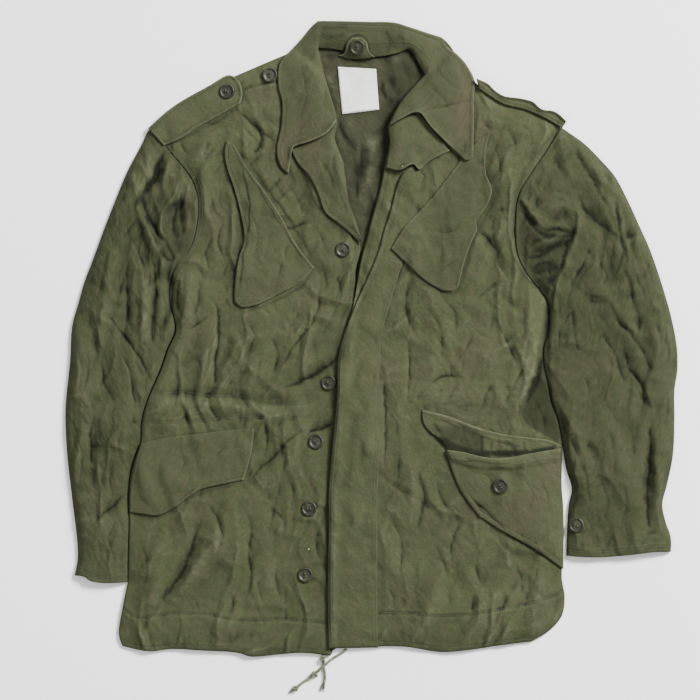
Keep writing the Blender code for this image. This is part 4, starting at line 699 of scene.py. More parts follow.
def length_of(line: Array) -> float:
    """A line's whole length."""
    return float(np.linalg.norm(np.diff(line, axis=0), axis=1).sum())


def even(points: Line, steps: int) -> Array:
    """Evenly spaced points on the smooth curve.

    Args:
        points: Points that the curve runs through.
        steps: How many equal steps to take along it.

    Returns:
        One row more than there are steps.
    """
    dense = smooth_line(points)
    run = run_along(dense)
    want = np.linspace(0, run[-1], steps + 1)
    return np.stack([np.interp(want, run, dense[:, k]) for k in range(dense.shape[1])], axis=1)


def joined(*lines: Array) -> Array:
    """Lines laid end to end, each starting on the last point of the one before."""
    return np.concatenate([lines[0]] + [line[1:] for line in lines[1:]])


def run_of(edge: Edge, finer: int) -> Array:
    """An edge's points at a number of steps for each of its coarse steps."""
    return joined(*[even(points, steps * finer) for points, steps in edge])


def relaxed(grid: Array, rounds: int = 500) -> Array:
    """The grid with its inner points moved so that its lines never cross, also by a hollow edge.

    Args:
        grid: Points of the grid, changed in place.
        rounds: How often all of the inner points move.

    Returns:
        The same grid.
    """
    for _ in range(rounds):
        across = (grid[1:-1, 2:] - grid[1:-1, :-2]) / 2
        down = (grid[2:, 1:-1] - grid[:-2, 1:-1]) / 2
        pull_across = (down**2).sum(axis=-1, keepdims=True)
        pull_down = (across**2).sum(axis=-1, keepdims=True)
        skew = (across * down).sum(axis=-1, keepdims=True) / 2
        twist = grid[2:, 2:] - grid[2:, :-2] - grid[:-2, 2:] + grid[:-2, :-2]
        moved = pull_across * (grid[1:-1, 2:] + grid[1:-1, :-2])
        moved += pull_down * (grid[2:, 1:-1] + grid[:-2, 1:-1]) - skew * twist
        grid[1:-1, 1:-1] = moved / np.maximum(2 * (pull_across + pull_down), TINY)
    return grid


def ruled(start: Array, end: Array, left: Array, right: Array) -> Array:
    """Grid between four edges.

    Args:
        start: First edge, from left to right.
        end: Last edge, from left to right.
        left: Left edge, from start to end.
        right: Right edge, from start to end.

    Returns:
        The grid's points.
    """
    down = np.linspace(0, 1, len(left))[:, None, None]
    over = np.linspace(0, 1, len(start))[None, :, None]
    grid = (1 - down) * start[None] + down * end[None]
    grid = grid + (1 - over) * left[:, None] + over * right[:, None]
    corners = (1 - down) * ((1 - over) * start[0] + over * start[-1])
    return grid - corners - down * ((1 - over) * end[0] + over * end[-1])


def finer_grid(grid: Array, rows: int, columns: int) -> Array:
    """A smooth grid through a coarse one.

    Args:
        grid: The coarse grid, any number of values a point.
        rows: Fine steps for each coarse step down.
        columns: Fine steps for each coarse step across.

    Returns:
        The fine grid.
    """
    for times in (rows, columns):
        padded = np.concatenate([2 * grid[:1] - grid[1:2], grid, 2 * grid[-1:] - grid[-2:-1]])
        place = np.arange((len(grid) - 1) * times + 1) / times
        whole = np.minimum(place.astype(int), len(grid) - 2)
        t = (place - whole).reshape(-1, *([1] * (grid.ndim - 1)))
        a, b, c, d = (padded[whole + k] for k in range(4))
        grid = 0.5 * (2 * b + (c - a) * t + (2 * a - 5 * b + 4 * c - d) * t**2
                      + (3 * b - a - 3 * c + d) * t**3)
        grid = np.swapaxes(grid, 0, 1)
    return grid


@dataclass(frozen=True)
class Block:
    """A four-edged stretch of a piece: start and end run across, left and right run down."""

    start: Line
    end: Line
    left: Edge
    right: Edge


@dataclass(frozen=True)
class Cut:
    """A piece's cut in the plane of the table.

    Attributes:
        across: Coarse steps from left to right.
        blocks: The stretches, from the piece's start to its end.
        finer: Fine steps for each coarse step, down and across.
    """

    across: int
    blocks: tuple[Block, ...]
    finer: tuple[int, int]

    def coarse(self) -> Array:
        """The coarse grid, the one that the piece's solid has."""
        grids = [
            relaxed(ruled(even(b.start, self.across), even(b.end, self.across),
                          run_of(b.left, 1), run_of(b.right, 1)))
            for b in self.blocks
        ]
        return joined(*grids)

    def fine(self) -> Array:
        """The fine grid, whose border follows the cut edges.

        Returns:
            Rows and columns of points.
        """
        down, over = self.finer
        grid = finer_grid(self.coarse(), down, over)
        left = joined(*[run_of(b.left, down) for b in self.blocks])
        right = joined(*[run_of(b.right, down) for b in self.blocks])
        start = even(self.blocks[0].start, self.across * over)
        end = even(self.blocks[-1].end, self.across * over)
        grid = grid + ruled(start - grid[0], end - grid[-1], left - grid[:, 0], right - grid[:, -1])
        ring = border(*grid.shape[:2])
        flat = grid.reshape(-1, 2)
        flat[ring] = shrunk(flat[ring], SEAM_INSET)
        return flat.reshape(grid.shape)


def four_edged(start: Line, end: Line, left: Line, right: Line, across: int, down: int,
               finer: tuple[int, int]) -> Cut:
    """The cut of a piece with one plain line for each of its edges."""
    return Cut(across, (Block(start, end, ((left, down),), ((right, down),)),), finer)


def border(rows: int, columns: int) -> Array:
    """Indices of a grid's outermost points, in one round."""
    index = np.arange(rows * columns).reshape(rows, columns)
    return np.concatenate([index[0, :-1], index[:-1, -1], index[-1, :0:-1], index[:0:-1, 0]])


def shrunk(outline: Array, distance: float) -> Array:
    """A closed outline with each point moved inwards, square to its neighbours.

    Args:
        outline: The outline's points.
        distance: How far they move.

    Returns:
        The moved points.
    """
    after, before = np.roll(outline, -1, axis=0), np.roll(outline, 1, axis=0)
    step = after - before
    normal = np.stack([-step[:, 1], step[:, 0]], 1)
    normal /= np.maximum(np.linalg.norm(normal, axis=1, keepdims=True), TINY)
    area = (outline[:, 0] * after[:, 1] - outline[:, 1] * after[:, 0]).sum()
    return outline + normal * distance * (1 if area > 0 else -1)


# ---------------------------------------------------------------- heights over the table
class Noise:
    """Seeded gradient noise in the plane."""

    def __init__(self, seed: int) -> None:
        """Draw the gradients.

        Args:
            seed: Which of the noises this is.
        """
        rng = np.random.default_rng(seed)
        self.order = rng.permutation(256)
        angle = rng.uniform(0, 2 * math.pi, 256)
        self.slopes = np.stack([np.cos(angle), np.sin(angle)], axis=-1)

    def at(self, x: Array, y: Array) -> Array:
        """Values from about -1 to 1, whose grain is one unit.

        Args:
            x: First coordinate of each point.
            y: Second coordinate.

        Returns:
            One value a point.
        """
        column, row = np.floor(x).astype(int), np.floor(y).astype(int)
        u, v = x - column, y - row
        fade_u, fade_v = u**3 * (u * (6 * u - 15) + 10), v**3 * (v * (6 * v - 15) + 10)
        total = np.zeros(np.shape(x))
        for i in (0, 1):
            for j in (0, 1):
                which = self.order[(self.order[(column + i) % 256] + row + j) % 256]
                slope = self.slopes[which]
                dot = slope[..., 0] * (u - i) + slope[..., 1] * (v - j)
                total += dot * (fade_u if i else 1 - fade_u) * (fade_v if j else 1 - fade_v)
        return total * 1.5


def blurred(cells: Array, sigma: float) -> Array:
    """Rows and columns of values, blurred.

    Args:
        cells: The values.
        sigma: How wide the blur is, in cells.

    Returns:
        The blurred values.
    """
    reach = int(3 * sigma)
    weights = np.exp(-0.5 * (np.arange(-reach, reach + 1) / sigma) ** 2)
    weights /= weights.sum()
    for _ in range(2):
        wide = np.pad(cells, ((reach, reach), (0, 0)), mode="edge")
        cells = sum(w * wide[k:k + len(cells)] for k, w in enumerate(weights)).T
    return cells


class Heights:
    """A value over each millimetre of the table."""

    def __init__(self, value: float = 0.0) -> None:
        """Start with one value all over.

        Args:
            value: The value of each cell.
        """
        count = int(2 * TABLE_HALF)
        self.cells = np.full((count, count), value, float)

    @staticmethod
    def window(points: Array, reach: float) -> tuple[slice, slice]:
        """The cells round some points.

        Args:
            points: The points.
            reach: How far past them the window goes.

        Returns:
            The window's rows and columns.
        """
        count = int(2 * TABLE_HALF)
        low = np.clip(np.floor(points.min(axis=0) - reach + TABLE_HALF), 0, count - 2).astype(int)
        high = np.clip(np.ceil(points.max(axis=0) + reach + TABLE_HALF), 1, count).astype(int)
        return slice(low[0], max(high[0], low[0] + 2)), slice(low[1], max(high[1], low[1] + 2))

    @staticmethod
    def middles(window: tuple[slice, slice]) -> tuple[Array, Array]:
        """X and Y of the middles of a window's cells."""
        x, y = (np.arange(s.start, s.stop) + 0.5 - TABLE_HALF for s in window)
        return np.meshgrid(x, y, indexing="ij")

    def sample(self, plan: Array) -> Array:
        """Values at any points.

        Args:
            plan: Points, two values each.

        Returns:
            One value a point, blended between the cells' middles.
        """
        place = np.clip(plan[..., :2] + TABLE_HALF - 0.5, 0, len(self.cells) - 1.001)
        i, j = place[..., 0].astype(int), place[..., 1].astype(int)
        u, v = place[..., 0] - i, place[..., 1] - j
        cells = self.cells
        return (cells[i, j] * (1 - u) * (1 - v) + cells[i + 1, j] * u * (1 - v)
                + cells[i, j + 1] * (1 - u) * v + cells[i + 1, j + 1] * u * v)

    def spread(self, reach: int) -> "Heights":
        """The highest value round each cell.

        Args:
            reach: How many cells away values count.

        Returns:
            The highest values.
        """
        out = Heights()
        cells = self.cells
        for axis in (0, 1):
            cells = np.max([np.roll(cells, k, axis) for k in range(-reach, reach + 1)], axis=0)
        out.cells = cells
        return out

    def soft(self, sigma: float) -> "Heights":
        """The same values, blurred.

        Args:
            sigma: How wide the blur is, in cells.

        Returns:
            The blurred values.
        """
        out = Heights()
        out.cells = blurred(self.cells, sigma)
        return out

    def add_cloth(self, points: Array, parts: int = 4) -> None:
        """Lay a fine grid of points on top of what is there.

        Args:
            points: Rows and columns of points, three values each.
            parts: Samples along each side of each of the grid's cells.
        """
        a, b, c, d = points[:-1, :-1], points[1:, :-1], points[1:, 1:], points[:-1, 1:]
        for i in range(parts):
            for j in range(parts):
                u, v = i / parts, j / parts
                spot = a * (1 - u) * (1 - v) + b * u * (1 - v) + c * u * v + d * (1 - u) * v
                index = np.floor(spot[..., :2] + TABLE_HALF).astype(int)
                np.maximum.at(self.cells, (index[..., 0], index[..., 1]), spot[..., 2])

    def add_flat(self, outline: Array, height: float) -> None:
        """Raise all of the cells inside an outline to a height.

        Args:
            outline: The outline's points.
            height: The height that they have at least.
        """
        window, inside = within(outline, 2)
        part = self.cells[window]
        part[inside] = np.maximum(part[inside], height)


def within(outline: Array, reach: float) -> tuple[tuple[slice, slice], Array]:
    """The cells inside an outline.

    Args:
        outline: The outline's points.
        reach: How far past it the window goes.

    Returns:
        A window round the outline, and which of its cells are inside.
    """
    window = Heights.window(outline, reach)
    x, y = Heights.middles(window)
    inside = np.zeros(x.shape, bool)
    for a, b in zip(outline, np.roll(outline, -1, axis=0)):
        crosses = (a[1] > y) != (b[1] > y)
        rise = b[1] - a[1] if abs(b[1] - a[1]) > TINY else TINY
        inside ^= crosses & (x < a[0] + (y - a[1]) / rise * (b[0] - a[0]))
    return window, inside


def near(line: Array, reach: float, sway: Optional[Array] = None
         ) -> tuple[tuple[slice, slice], Array, Array, Array]:
    """Distance from the cells round a line to it.

    Args:
        line: The line's points.
        reach: How far from the line distances are wanted.
        sway: How far each of the table's cells is moved first, so that the line wanders.

    Returns:
        The window of cells, each cell's distance, how far along the line its nearest point is, and
        1 on the line's left or -1 on its right.
    """
    window = Heights.window(line, reach)
    x, y = Heights.middles(window)
    if sway is not None:
        x, y = x + sway[0][window], y + sway[1][window]
    gap = np.full(x.shape, 1e6)
    along = np.zeros(x.shape)
    side = np.ones(x.shape)
    run = 0.0
    for a, b in zip(line[:-1], line[1:]):
        step = b - a
        size = max(float(np.hypot(*step)), 1e-6)
        part = Heights.window(np.array([a, b]), reach)
        here = tuple(
            slice(max(p.start - w.start, 0), max(p.stop - w.start, 0)) for p, w in zip(part, window)
        )
        px, py = x[here] - a[0], y[here] - a[1]
        t = np.clip((px * step[0] + py * step[1]) / size**2, 0, 1)
        far = np.hypot(px - t * step[0], py - t * step[1])
        closer = far < gap[here]
        gap[here] = np.where(closer, far, gap[here])
        turn = np.where(step[0] * py - step[1] * px >= 0, 1.0, -1.0)
        side[here] = np.where(closer, turn, side[here])
        along[here] = np.where(closer, run + t * size, along[here])
        run += size
    return window, gap, along, side


# ---------------------------------------------------------------- finishes
class Wire:
    """A socket of a material's node, with arithmetic on it."""

    def __init__(self, nodes: "Nodes", socket: Any) -> None:
        """Hold the socket.

        Args:
            nodes: The material that it belongs to.
            socket: The output socket.
        """
        self.nodes = nodes
        self.socket = socket

    def math(self, operation: str, *others: Union[float, "Wire"]) -> "Wire":
        """A Math node that takes this socket first."""
        values = dict(enumerate((self, *others)))
        return self.nodes.add("ShaderNodeMath", {"operation": operation}, values)

    def taken_from(self, other: float) -> "Wire":
        """Other minus this."""
        return self.nodes.add("ShaderNodeMath", {"operation": "SUBTRACT"}, {0: other, 1: self})

    __add__ = __radd__ = partialmethod(math, "ADD")
    __mul__ = __rmul__ = partialmethod(math, "MULTIPLY")
    __sub__ = partialmethod(math, "SUBTRACT")
    __rsub__ = taken_from
    __pow__ = partialmethod(math, "POWER")

    def clamped(self, low: float, high: float) -> "Wire":
        """0 at low and below, 1 at high and above, and a smooth rise between."""
        return self.nodes.add(
            "ShaderNodeMapRange", {"interpolation_type": "SMOOTHSTEP"},
            {"Value": self, "From Min": low, "From Max": high, "To Min": 0.0, "To Max": 1.0},
        )


Colour = tuple[float, float, float]


class Nodes:
    """The nodes of one material."""

    def __init__(self, name: str, flat: Colour, roughness: float) -> None:
        """Make the material.

        Args:
            name: The material's name.
            flat: Its mean colour.
            roughness: Its mean roughness.
        """
        self.material = bpy.data.materials.new(name)
        self.material.use_nodes = True
        self.material.diffuse_color = (*flat, 1)
        self.tree = self.material.node_tree
        self.shader = self.tree.nodes["Principled BSDF"]
        self.shader.inputs["Base Color"].default_value = (*flat, 1)
        self.shader.inputs["Roughness"].default_value = roughness

    def add(self, kind: str, settings: Optional[dict[str, Any]] = None,
            sockets: Optional[dict[Any, Any]] = None, out: Union[int, str] = 0) -> Wire:
        """Any node.

        Args:
            kind: The node's type.
            settings: Its own settings, set first.
            sockets: A value or a wire for each of its inputs, by name or number.
            out: Which output is wanted.

        Returns:
            That output.
        """
        node = self.tree.nodes.new(kind)
        for key, value in (settings or {}).items():
            setattr(node, key, value)
        for key, value in (sockets or {}).items():
            if isinstance(value, Wire):
                self.tree.links.new(value.socket, node.inputs[key])
            else:
                node.inputs[key].default_value = value
        return Wire(self, node.outputs[out])

    def feed(self, name: str, wire: Wire) -> None:
        """Link a wire to the shader."""
        self.tree.links.new(wire.socket, self.shader.inputs[name])

    def blend(self, share: Union[float, Wire], first: Any, second: Any,
              mode: str = "MIX") -> Wire:
        """A colour between two others.

        Args:
            share: How much of the second there is.
            first: The first, as a colour or a wire.
            second: The second.
            mode: How they are mixed.

        Returns:
            The mixed colour.
        """
        pair = [(*value, 1) if isinstance(value, tuple) else value for value in (first, second)]
        settings = {"data_type": "RGBA", "blend_type": mode, "clamp_factor": True}
        return self.add("ShaderNodeMix", settings, {0: share, 6: pair[0], 7: pair[1]}, out=2)

    def noise(self, where: Wire, scale: float, detail: float = 2.0) -> Wire:
        """Soft noise with so many grains to a metre."""
        return self.add("ShaderNodeTexNoise", {},
                        {"Vector": where, "Scale": scale, "Detail": detail, "Roughness": 0.55})

    def value_of(self, attribute: str) -> Wire:
        """A value that the piece carries on its points."""
        return self.add("ShaderNodeAttribute", {"attribute_name": attribute}, out="Fac")

    def bump(self, height: Wire, depth: float, strength: float = 1.0) -> None:
        """Give the shader a bump of this depth in metres."""
        self.feed("Normal", self.add("ShaderNodeBump", {}, {
            "Height": height, "Distance": depth, "Strength": strength}))


@dataclass(frozen=True)
class Cotton:
    """Worn heavy cotton: weave, grain, fading, pale worn ridges and edges, painted shade in
    hollows.

    Attributes:
        name: The finish's name.
        slot: A slot name that it carries; not used.
        cloth: Its colour where it is neither worn nor shaded.
        faded: The colour of its faded patches.
        stained: The colour of its browner patches.
        worn: The colour of rubbed ridges and edges.
        hollow: Colour of the painted shade in hollows and creases, and of dark specks in the grain.
        browning: How much of it is browner.
        pitch: Threads' spacing in metres.
    """

    name: str
    slot: str
    cloth: Colour = (0.036, 0.044, 0.0185)
    faded: Colour = (0.049, 0.057, 0.026)
    stained: Colour = (0.048, 0.045, 0.025)
    worn: Colour = (0.088, 0.095, 0.054)
    hollow: Colour = (0.003, 0.0038, 0.0018)
    browning: float = 0.5
    pitch: float = 0.0011

    def make(self) -> Any:
        """Build the material.

        Returns:
            The material.
        """
        n = Nodes(self.name, self.cloth, 0.92)
        n.shader.inputs["Sheen Weight"].default_value = 0.02
        n.shader.inputs["Specular IOR Level"].default_value = 0.12
        place = n.add("ShaderNodeTexCoord", out="Object")
        cloth = n.add("ShaderNodeTexCoord", out="UV")
        broad, patch = n.noise(place, 7.5, 3.0), n.noise(place, 24.0, 4.0)
        brown, mottle = n.noise(place, 11.0, 2.0), n.noise(cloth, 170.0, 4.0)
        grain, fibre = n.noise(cloth, 560.0, 3.0), n.noise(cloth, 1500.0, 2.0)
        wear, hollow = n.value_of("wear"), n.value_of("hollow")

        fading = (broad * 0.6 + patch * 0.4).clamped(0.42, 0.62)
        colour = n.blend(fading, self.cloth, self.faded)
        colour = n.blend(brown.clamped(0.5, 0.68) * self.browning, colour, self.stained)
        rubbed = (wear * (0.55 + 0.9 * mottle)).clamped(0.06, 0.95)
        colour = n.blend(rubbed * 0.62, colour, self.worn)
        dull = n.noise(cloth, 95.0, 3.0).clamped(0.46, 0.62)
        colour = n.blend(dull * 0.55, colour, self.stained)
        pale = (mottle * 0.55 + grain * 0.45).clamped(0.50, 0.66)
        colour = n.blend(pale * 0.32, colour, self.worn)
        speckle = (grain * 0.7 + fibre * 0.3).clamped(0.42, 0.66)
        colour = n.blend(speckle * 0.34, colour, self.hollow)
        # Painted shade: hollows, crease bottoms and shadows blended towards the hollow colour.
        sunk = (hollow * (0.8 + 0.4 * mottle)) ** 1.3
        colour = n.blend(sunk * 0.9, colour, self.hollow)
        lint = n.add("ShaderNodeTexVoronoi", {"feature": "F1"},
                     {"Vector": place, "Scale": 48.0, "Randomness": 1.0})
        which = n.add("ShaderNodeTexVoronoi", {"feature": "F1"},
                      {"Vector": place, "Scale": 48.0, "Randomness": 1.0}, out="Color")
        rare = n.add("ShaderNodeSeparateColor", {}, {0: which}).clamped(0.955, 0.965)
        fleck = (1 - lint.clamped(0.02, 0.04)) * rare
        colour = n.blend(fleck, colour, (0.62, 0.62, 0.56))
        n.feed("Base Color", colour)
        n.feed("Roughness", 0.86 + 0.12 * mottle)

        parts = n.add("ShaderNodeSeparateXYZ", {}, {0: cloth})
        across, along = parts, Wire(n, parts.socket.node.outputs[1])
        turn = 2 * math.pi / self.pitch
        weft = (across * turn).math("SINE") * (along * turn).math("SINE")
        rib = ((across + along) * (turn * 0.5)).math("SINE")
        crinkle = n.noise(cloth, 75.0, 5.0)
        height = weft * 0.10 + rib * 0.05 + grain * 0.7 + mottle * 1.0 + fibre * 0.2
        n.bump(height + (crinkle - 0.5).math("ABSOLUTE") * 3.5, 0.00055, 0.8)
        return n.material


@dataclass(frozen=True)
class Tape:
    """Bare woven tape.

    Attributes:
        name: The finish's name.
        slot: A slot name; not used.
        colour: Its colour.
        grubby: The colour of its greyer patches.
    """

    name: str = "label_tape_woven"
    slot: str = "label_tape"
    colour: Colour = (0.74, 0.74, 0.72)
    grubby: Colour = (0.52, 0.53, 0.50)

    def make(self) -> Any:
        """Build the material.

        Returns:
            The material.
        """
        n = Nodes(self.name, self.colour, 0.8)
        place = n.add("ShaderNodeTexCoord", out="Object")
        cloth = n.add("ShaderNodeTexCoord", out="UV")
        patch, grain = n.noise(place, 60.0, 3.0), n.noise(cloth, 1300.0, 2.0)
        edge = n.value_of("wear")
        colour = n.blend(patch.clamped(0.45, 0.7) * 0.6, self.colour, self.grubby)
        colour = n.blend(edge * 0.35, colour, self.grubby)
        n.feed("Base Color", n.blend(grain.clamped(0.3, 0.7) * 0.12, colour, self.grubby))
        n.feed("Roughness", 0.7 + 0.2 * grain)
        parts = n.add("ShaderNodeSeparateXYZ", {}, {0: cloth})
        ribs = (Wire(n, parts.socket.node.outputs[1]) * (2 * math.pi / 0.0006)).math("SINE")
        n.bump(ribs * 0.3 + grain * 0.5, 0.00012)
        return n.material


@dataclass(frozen=True)
class Thread:
    """Sewing thread or drawstring yarn.

    Attributes:
        name: The finish's name.
        slot: A slot name; not used.
        colour: Its colour.
        pale: The colour of its worn fibres.
        depth: Depth of its fibres in metres.
    """

    name: str
    slot: str
    colour: Colour
    pale: Colour
    depth: float = 0.0001

    def make(self) -> Any:
        """Build the material.

        Returns:
            The material.
        """
        n = Nodes(self.name, self.colour, 0.9)
        n.shader.inputs["Sheen Weight"].default_value = 0.1
        place = n.add("ShaderNodeTexCoord", out="Object")
        tuft, fibre = n.noise(place, 420.0, 3.0), n.noise(place, 2600.0, 2.0)
        colour = n.blend(tuft.clamped(0.4, 0.62), self.colour, self.pale)
        dark = tuple(0.45 * part for part in self.colour)
        n.feed("Base Color", n.blend(fibre.clamped(0.5, 0.75) * 0.5, colour, dark))
        n.feed("Roughness", 0.82 + 0.14 * fibre)
        n.bump(fibre * 0.7 + tuft * 0.3, self.depth)
        return n.material


@dataclass(frozen=True)
class Moulded:
    """Hard moulded plastic of a button.

    Attributes:
        name: The finish's name.
        slot: A slot name; not used.
        colour: Its colour.
        rubbed: The colour where it is rubbed.
        gloss: Its roughness where it is smooth.
    """

    name: str = "button_moulded"
    slot: str = "button_dark"
    colour: Colour = (0.010, 0.0105, 0.005)
    rubbed: Colour = (0.036, 0.034, 0.019)
    gloss: float = 0.34

    def make(self) -> Any:
        """Build the material.

        Returns:
            The material.
        """
        n = Nodes(self.name, self.colour, self.gloss)
        n.shader.inputs["Specular IOR Level"].default_value = 0.3
        place = n.add("ShaderNodeTexCoord", out="Object")
        swirl, scratch = n.noise(place, 130.0, 4.0), n.noise(place, 900.0, 3.0)
        n.feed("Base Color", n.blend(swirl.clamped(0.42, 0.68) * 0.8, self.colour, self.rubbed))
        n.feed("Roughness", self.gloss + 0.35 * scratch.clamped(0.4, 0.7))
        n.bump(scratch * 0.4 + swirl * 0.6, 0.00012)
        return n.material


@dataclass(frozen=True)
class Plain:
    """Matt paper of the table.

    Attributes:
        name: The finish's name.
        colour: Its colour.
    """

    name: str = "table_paper"
    colour: Colour = (0.97, 0.97, 0.97)

    def make(self) -> Any:
        """Build the material.

        Returns:
            The material.
        """
        n = Nodes(self.name, self.colour, 0.95)
        place = n.add("ShaderNodeTexCoord", out="Object")
        grain = n.noise(place, 300.0, 2.0)
        off = tuple(0.985 * part for part in self.colour)
        n.feed("Base Color", n.blend(grain.clamped(0.4, 0.6), self.colour, off))
        return n.material


class Finish(Enum):
    """The jacket's finishes."""

    SHELL = Cotton("olive_cotton_worn", "olive_cotton")
    # A darker copy of the cotton for the sleeves: painted shade.
    SLEEVE = Cotton("olive_cotton_sleeve_painted_shade", "olive_cotton", cloth=(0.0285, 0.0352, 0.0142),
                    faded=(0.039, 0.046, 0.0205), worn=(0.078, 0.085, 0.048))
    FLAP = Cotton("olive_cotton_flap", "olive_cotton", cloth=(0.039, 0.046, 0.0205), browning=0.7)
    COLLAR = Cotton("olive_cotton_collar", "olive_cotton", cloth=(0.0375, 0.0442, 0.0203),
                    stained=(0.050, 0.0465, 0.0265), browning=0.9)
    INSIDE = Cotton("olive_inside_worn", "olive_inside", cloth=(0.029, 0.031, 0.016),
                    faded=(0.038, 0.039, 0.022), stained=(0.037, 0.034, 0.020), browning=0.8)
    TAPE = Tape()
    SEWING = Thread("sewing_thread", "olive_cotton", (0.034, 0.040, 0.019), (0.052, 0.057, 0.031))
    CORD = Thread("drawstring_yarn", "drawstring", (0.072, 0.080, 0.042), (0.150, 0.160, 0.100),
                  0.00025)
    BUTTON = Moulded()
    TABLE = Plain()


@cache
def finish_of(finish: Finish) -> Any:
    """The finish's material, made once."""
    return finish.value.make()


# ---------------------------------------------------------------- meshes
def metres(points: Array) -> Array:
    """Points in mm, as the tables give them, as points in metres of the frame."""
    return (np.asarray(points, float) - np.array([MIDDLE[0], MIDDLE[1], 0.0])) / 1000


def mesh_object(name: str, points: Array, faces: list[Any], finish: Finish,
                values: Optional[dict[str, Array]] = None, flat: Optional[Array] = None) -> Any:
    """One named piece from points in mm.

    Args:
        name: The piece's name.
        points: Its points.
        faces: Its faces, as lists of point numbers.
        finish: What it is made of.
        values: Values that it carries on its points.
        flat: Each point's place on the flat cloth, in metres.

    Returns:
        The object.
    """
    mesh = bpy.data.meshes.new(name)
    mesh.from_pydata(metres(points).tolist(), [], faces)
    for key, value in (values or {}).items():
        mesh.attributes.new(key, "FLOAT", "POINT").data.foreach_set(
            "value", np.ascontiguousarray(value, dtype=np.float32))
    if flat is not None:
        corner = np.empty(len(mesh.loops), dtype=np.int32)
        mesh.loops.foreach_get("vertex_index", corner)
        layer = mesh.uv_layers.new(name="cloth")
        layer.data.foreach_set("uv", flat[corner].astype(np.float32).ravel())
    mesh.materials.append(finish_of(finish))
    mesh.shade_smooth()
    made = bpy.data.objects.new(name, mesh)
    bpy.context.scene.collection.objects.link(made)
    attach(made, "root")
    return made


def quads_of(rows: int, columns: int) -> Array:
    """One quad for each cell of a grid of points.

    Args:
        rows: The grid's rows.
        columns: Its columns.

    Returns:
        Four point numbers a quad.
    """
    index = np.arange(rows * columns).reshape(rows, columns)
    corners = index[:-1, :-1], index[1:, :-1], index[1:, 1:], index[:-1, 1:]
    return np.stack([corner.ravel() for corner in corners], axis=1)


def fans(fine: Array, coarse: Array, step: int) -> list[list[int]]:
    """Triangles between a fine ring of points and a coarse one.

    Args:
        fine: The fine ring's point numbers.
        coarse: The coarse ring's, one for each step of the fine ring's.
        step: Fine points for each coarse one.

    Returns:
        The triangles.
    """
    made = []
    count = len(fine)
    for k, (a, b) in enumerate(zip(coarse, np.roll(coarse, -1))):
        ring = [int(fine[(k * step + i) % count]) for i in range(step + 1)]
        half = step // 2
        made += [[int(a), ring[i], ring[i + 1]] for i in range(half)]
        made.append([int(a), ring[half], int(b)])
        made += [[int(b), ring[i], ring[i + 1]] for i in range(half, step)]
    return made


def signed_volume(points: Array, faces: list[Any]) -> float:
    """Volume that some faces enclose.

    Args:
        points: Their points.
        faces: The faces, of three or four corners.

    Returns:
        The volume, below 0 where the faces point inwards.
    """
    total = 0.0
    for count in (3, 4):
        some = np.array([face for face in faces if len(face) == count])
        if len(some):
            for k in range(1, count - 1):
                a, b, c = points[some[:, 0]], points[some[:, k]], points[some[:, k + 1]]
                total += float(np.einsum("nd,nd->n", a, np.cross(b, c)).sum())
    return total / 6


def outward(points: Array, faces: list[Any]) -> list[Any]:
    """The faces, turned so that they enclose a positive volume."""
    return faces if signed_volume(points, faces) > 0 else [face[::-1] for face in faces]


def averaged(values: Array, rounds: int) -> Array:
    """A grid of values, blurred along its own rows and columns.

    Args:
        values: The values.
        rounds: How often each is mixed with its neighbours.

    Returns:
        The blurred values.
    """
    for _ in range(rounds):
        padded = np.pad(values, 1, mode="edge")
        values = (4 * values + padded[:-2, 1:-1] + padded[2:, 1:-1]
                  + padded[1:-1, :-2] + padded[1:-1, 2:]) / 8
    return values


def lowest(values: Array, reach: int) -> Array:
    """The lowest value round each of a grid's points.

    Args:
        values: The values.
        reach: How many points away values count.

    Returns:
        The lowest values.
    """
    for axis in (0, 1):
        pad = [(reach, reach) if k == axis else (0, 0) for k in (0, 1)]
        padded = np.pad(values, pad, mode="edge")
        size = values.shape[axis]
        values = np.min([np.take(padded, range(k, k + size), axis) for k in range(2 * reach + 1)],
                        axis=0)
    return values


def lengths(points: Array, axis: int) -> Array:
    """Distance run along each of a grid's lines.

    Args:
        points: The grid.
        axis: 0 for the lines that run down, 1 for those that run across.

    Returns:
        One value a point.
    """
    steps = np.linalg.norm(np.diff(points, axis=axis), axis=-1)
    shape = [(1, 0) if k == axis else (0, 0) for k in (0, 1)]
    return np.pad(np.cumsum(steps, axis=axis), shape)


# ---------------------------------------------------------------- working cloth
class Rim(Enum):
    """An edge of a piece's grid."""

    START = 0
    RIGHT = 1
    END = 2
    LEFT = 3


@dataclass(frozen=True)
class Look:
    """How a piece of cloth is worked.

    Attributes:
        seed: Which of the random draws it takes.
        crumple: Depth of the long soft creases that cross it.
        strokes: Short creases for each 100 square centimetres.
        lean: Direction that the creases favour, in radians from up the piece.
        sewn: Edges that are turned under and top-stitched.
        welt: How high a sewn edge stands.
        inset: How far inside a sewn edge its stitches run.
        calm: Width of the strip along the edges in which creases fade.
        edge_wear: How rubbed the edges are.
        blur: How softly the piece follows what it lies on.
    """

    seed: int
    crumple: float = 1.5
    strokes: float = 9.0
    lean: float = 0.0
    sewn: tuple[Rim, ...] = ()
    welt: float = 0.3
    inset: float = 6.0
    calm: float = 9.0
    edge_wear: float = 0.35
    blur: float = 3.0


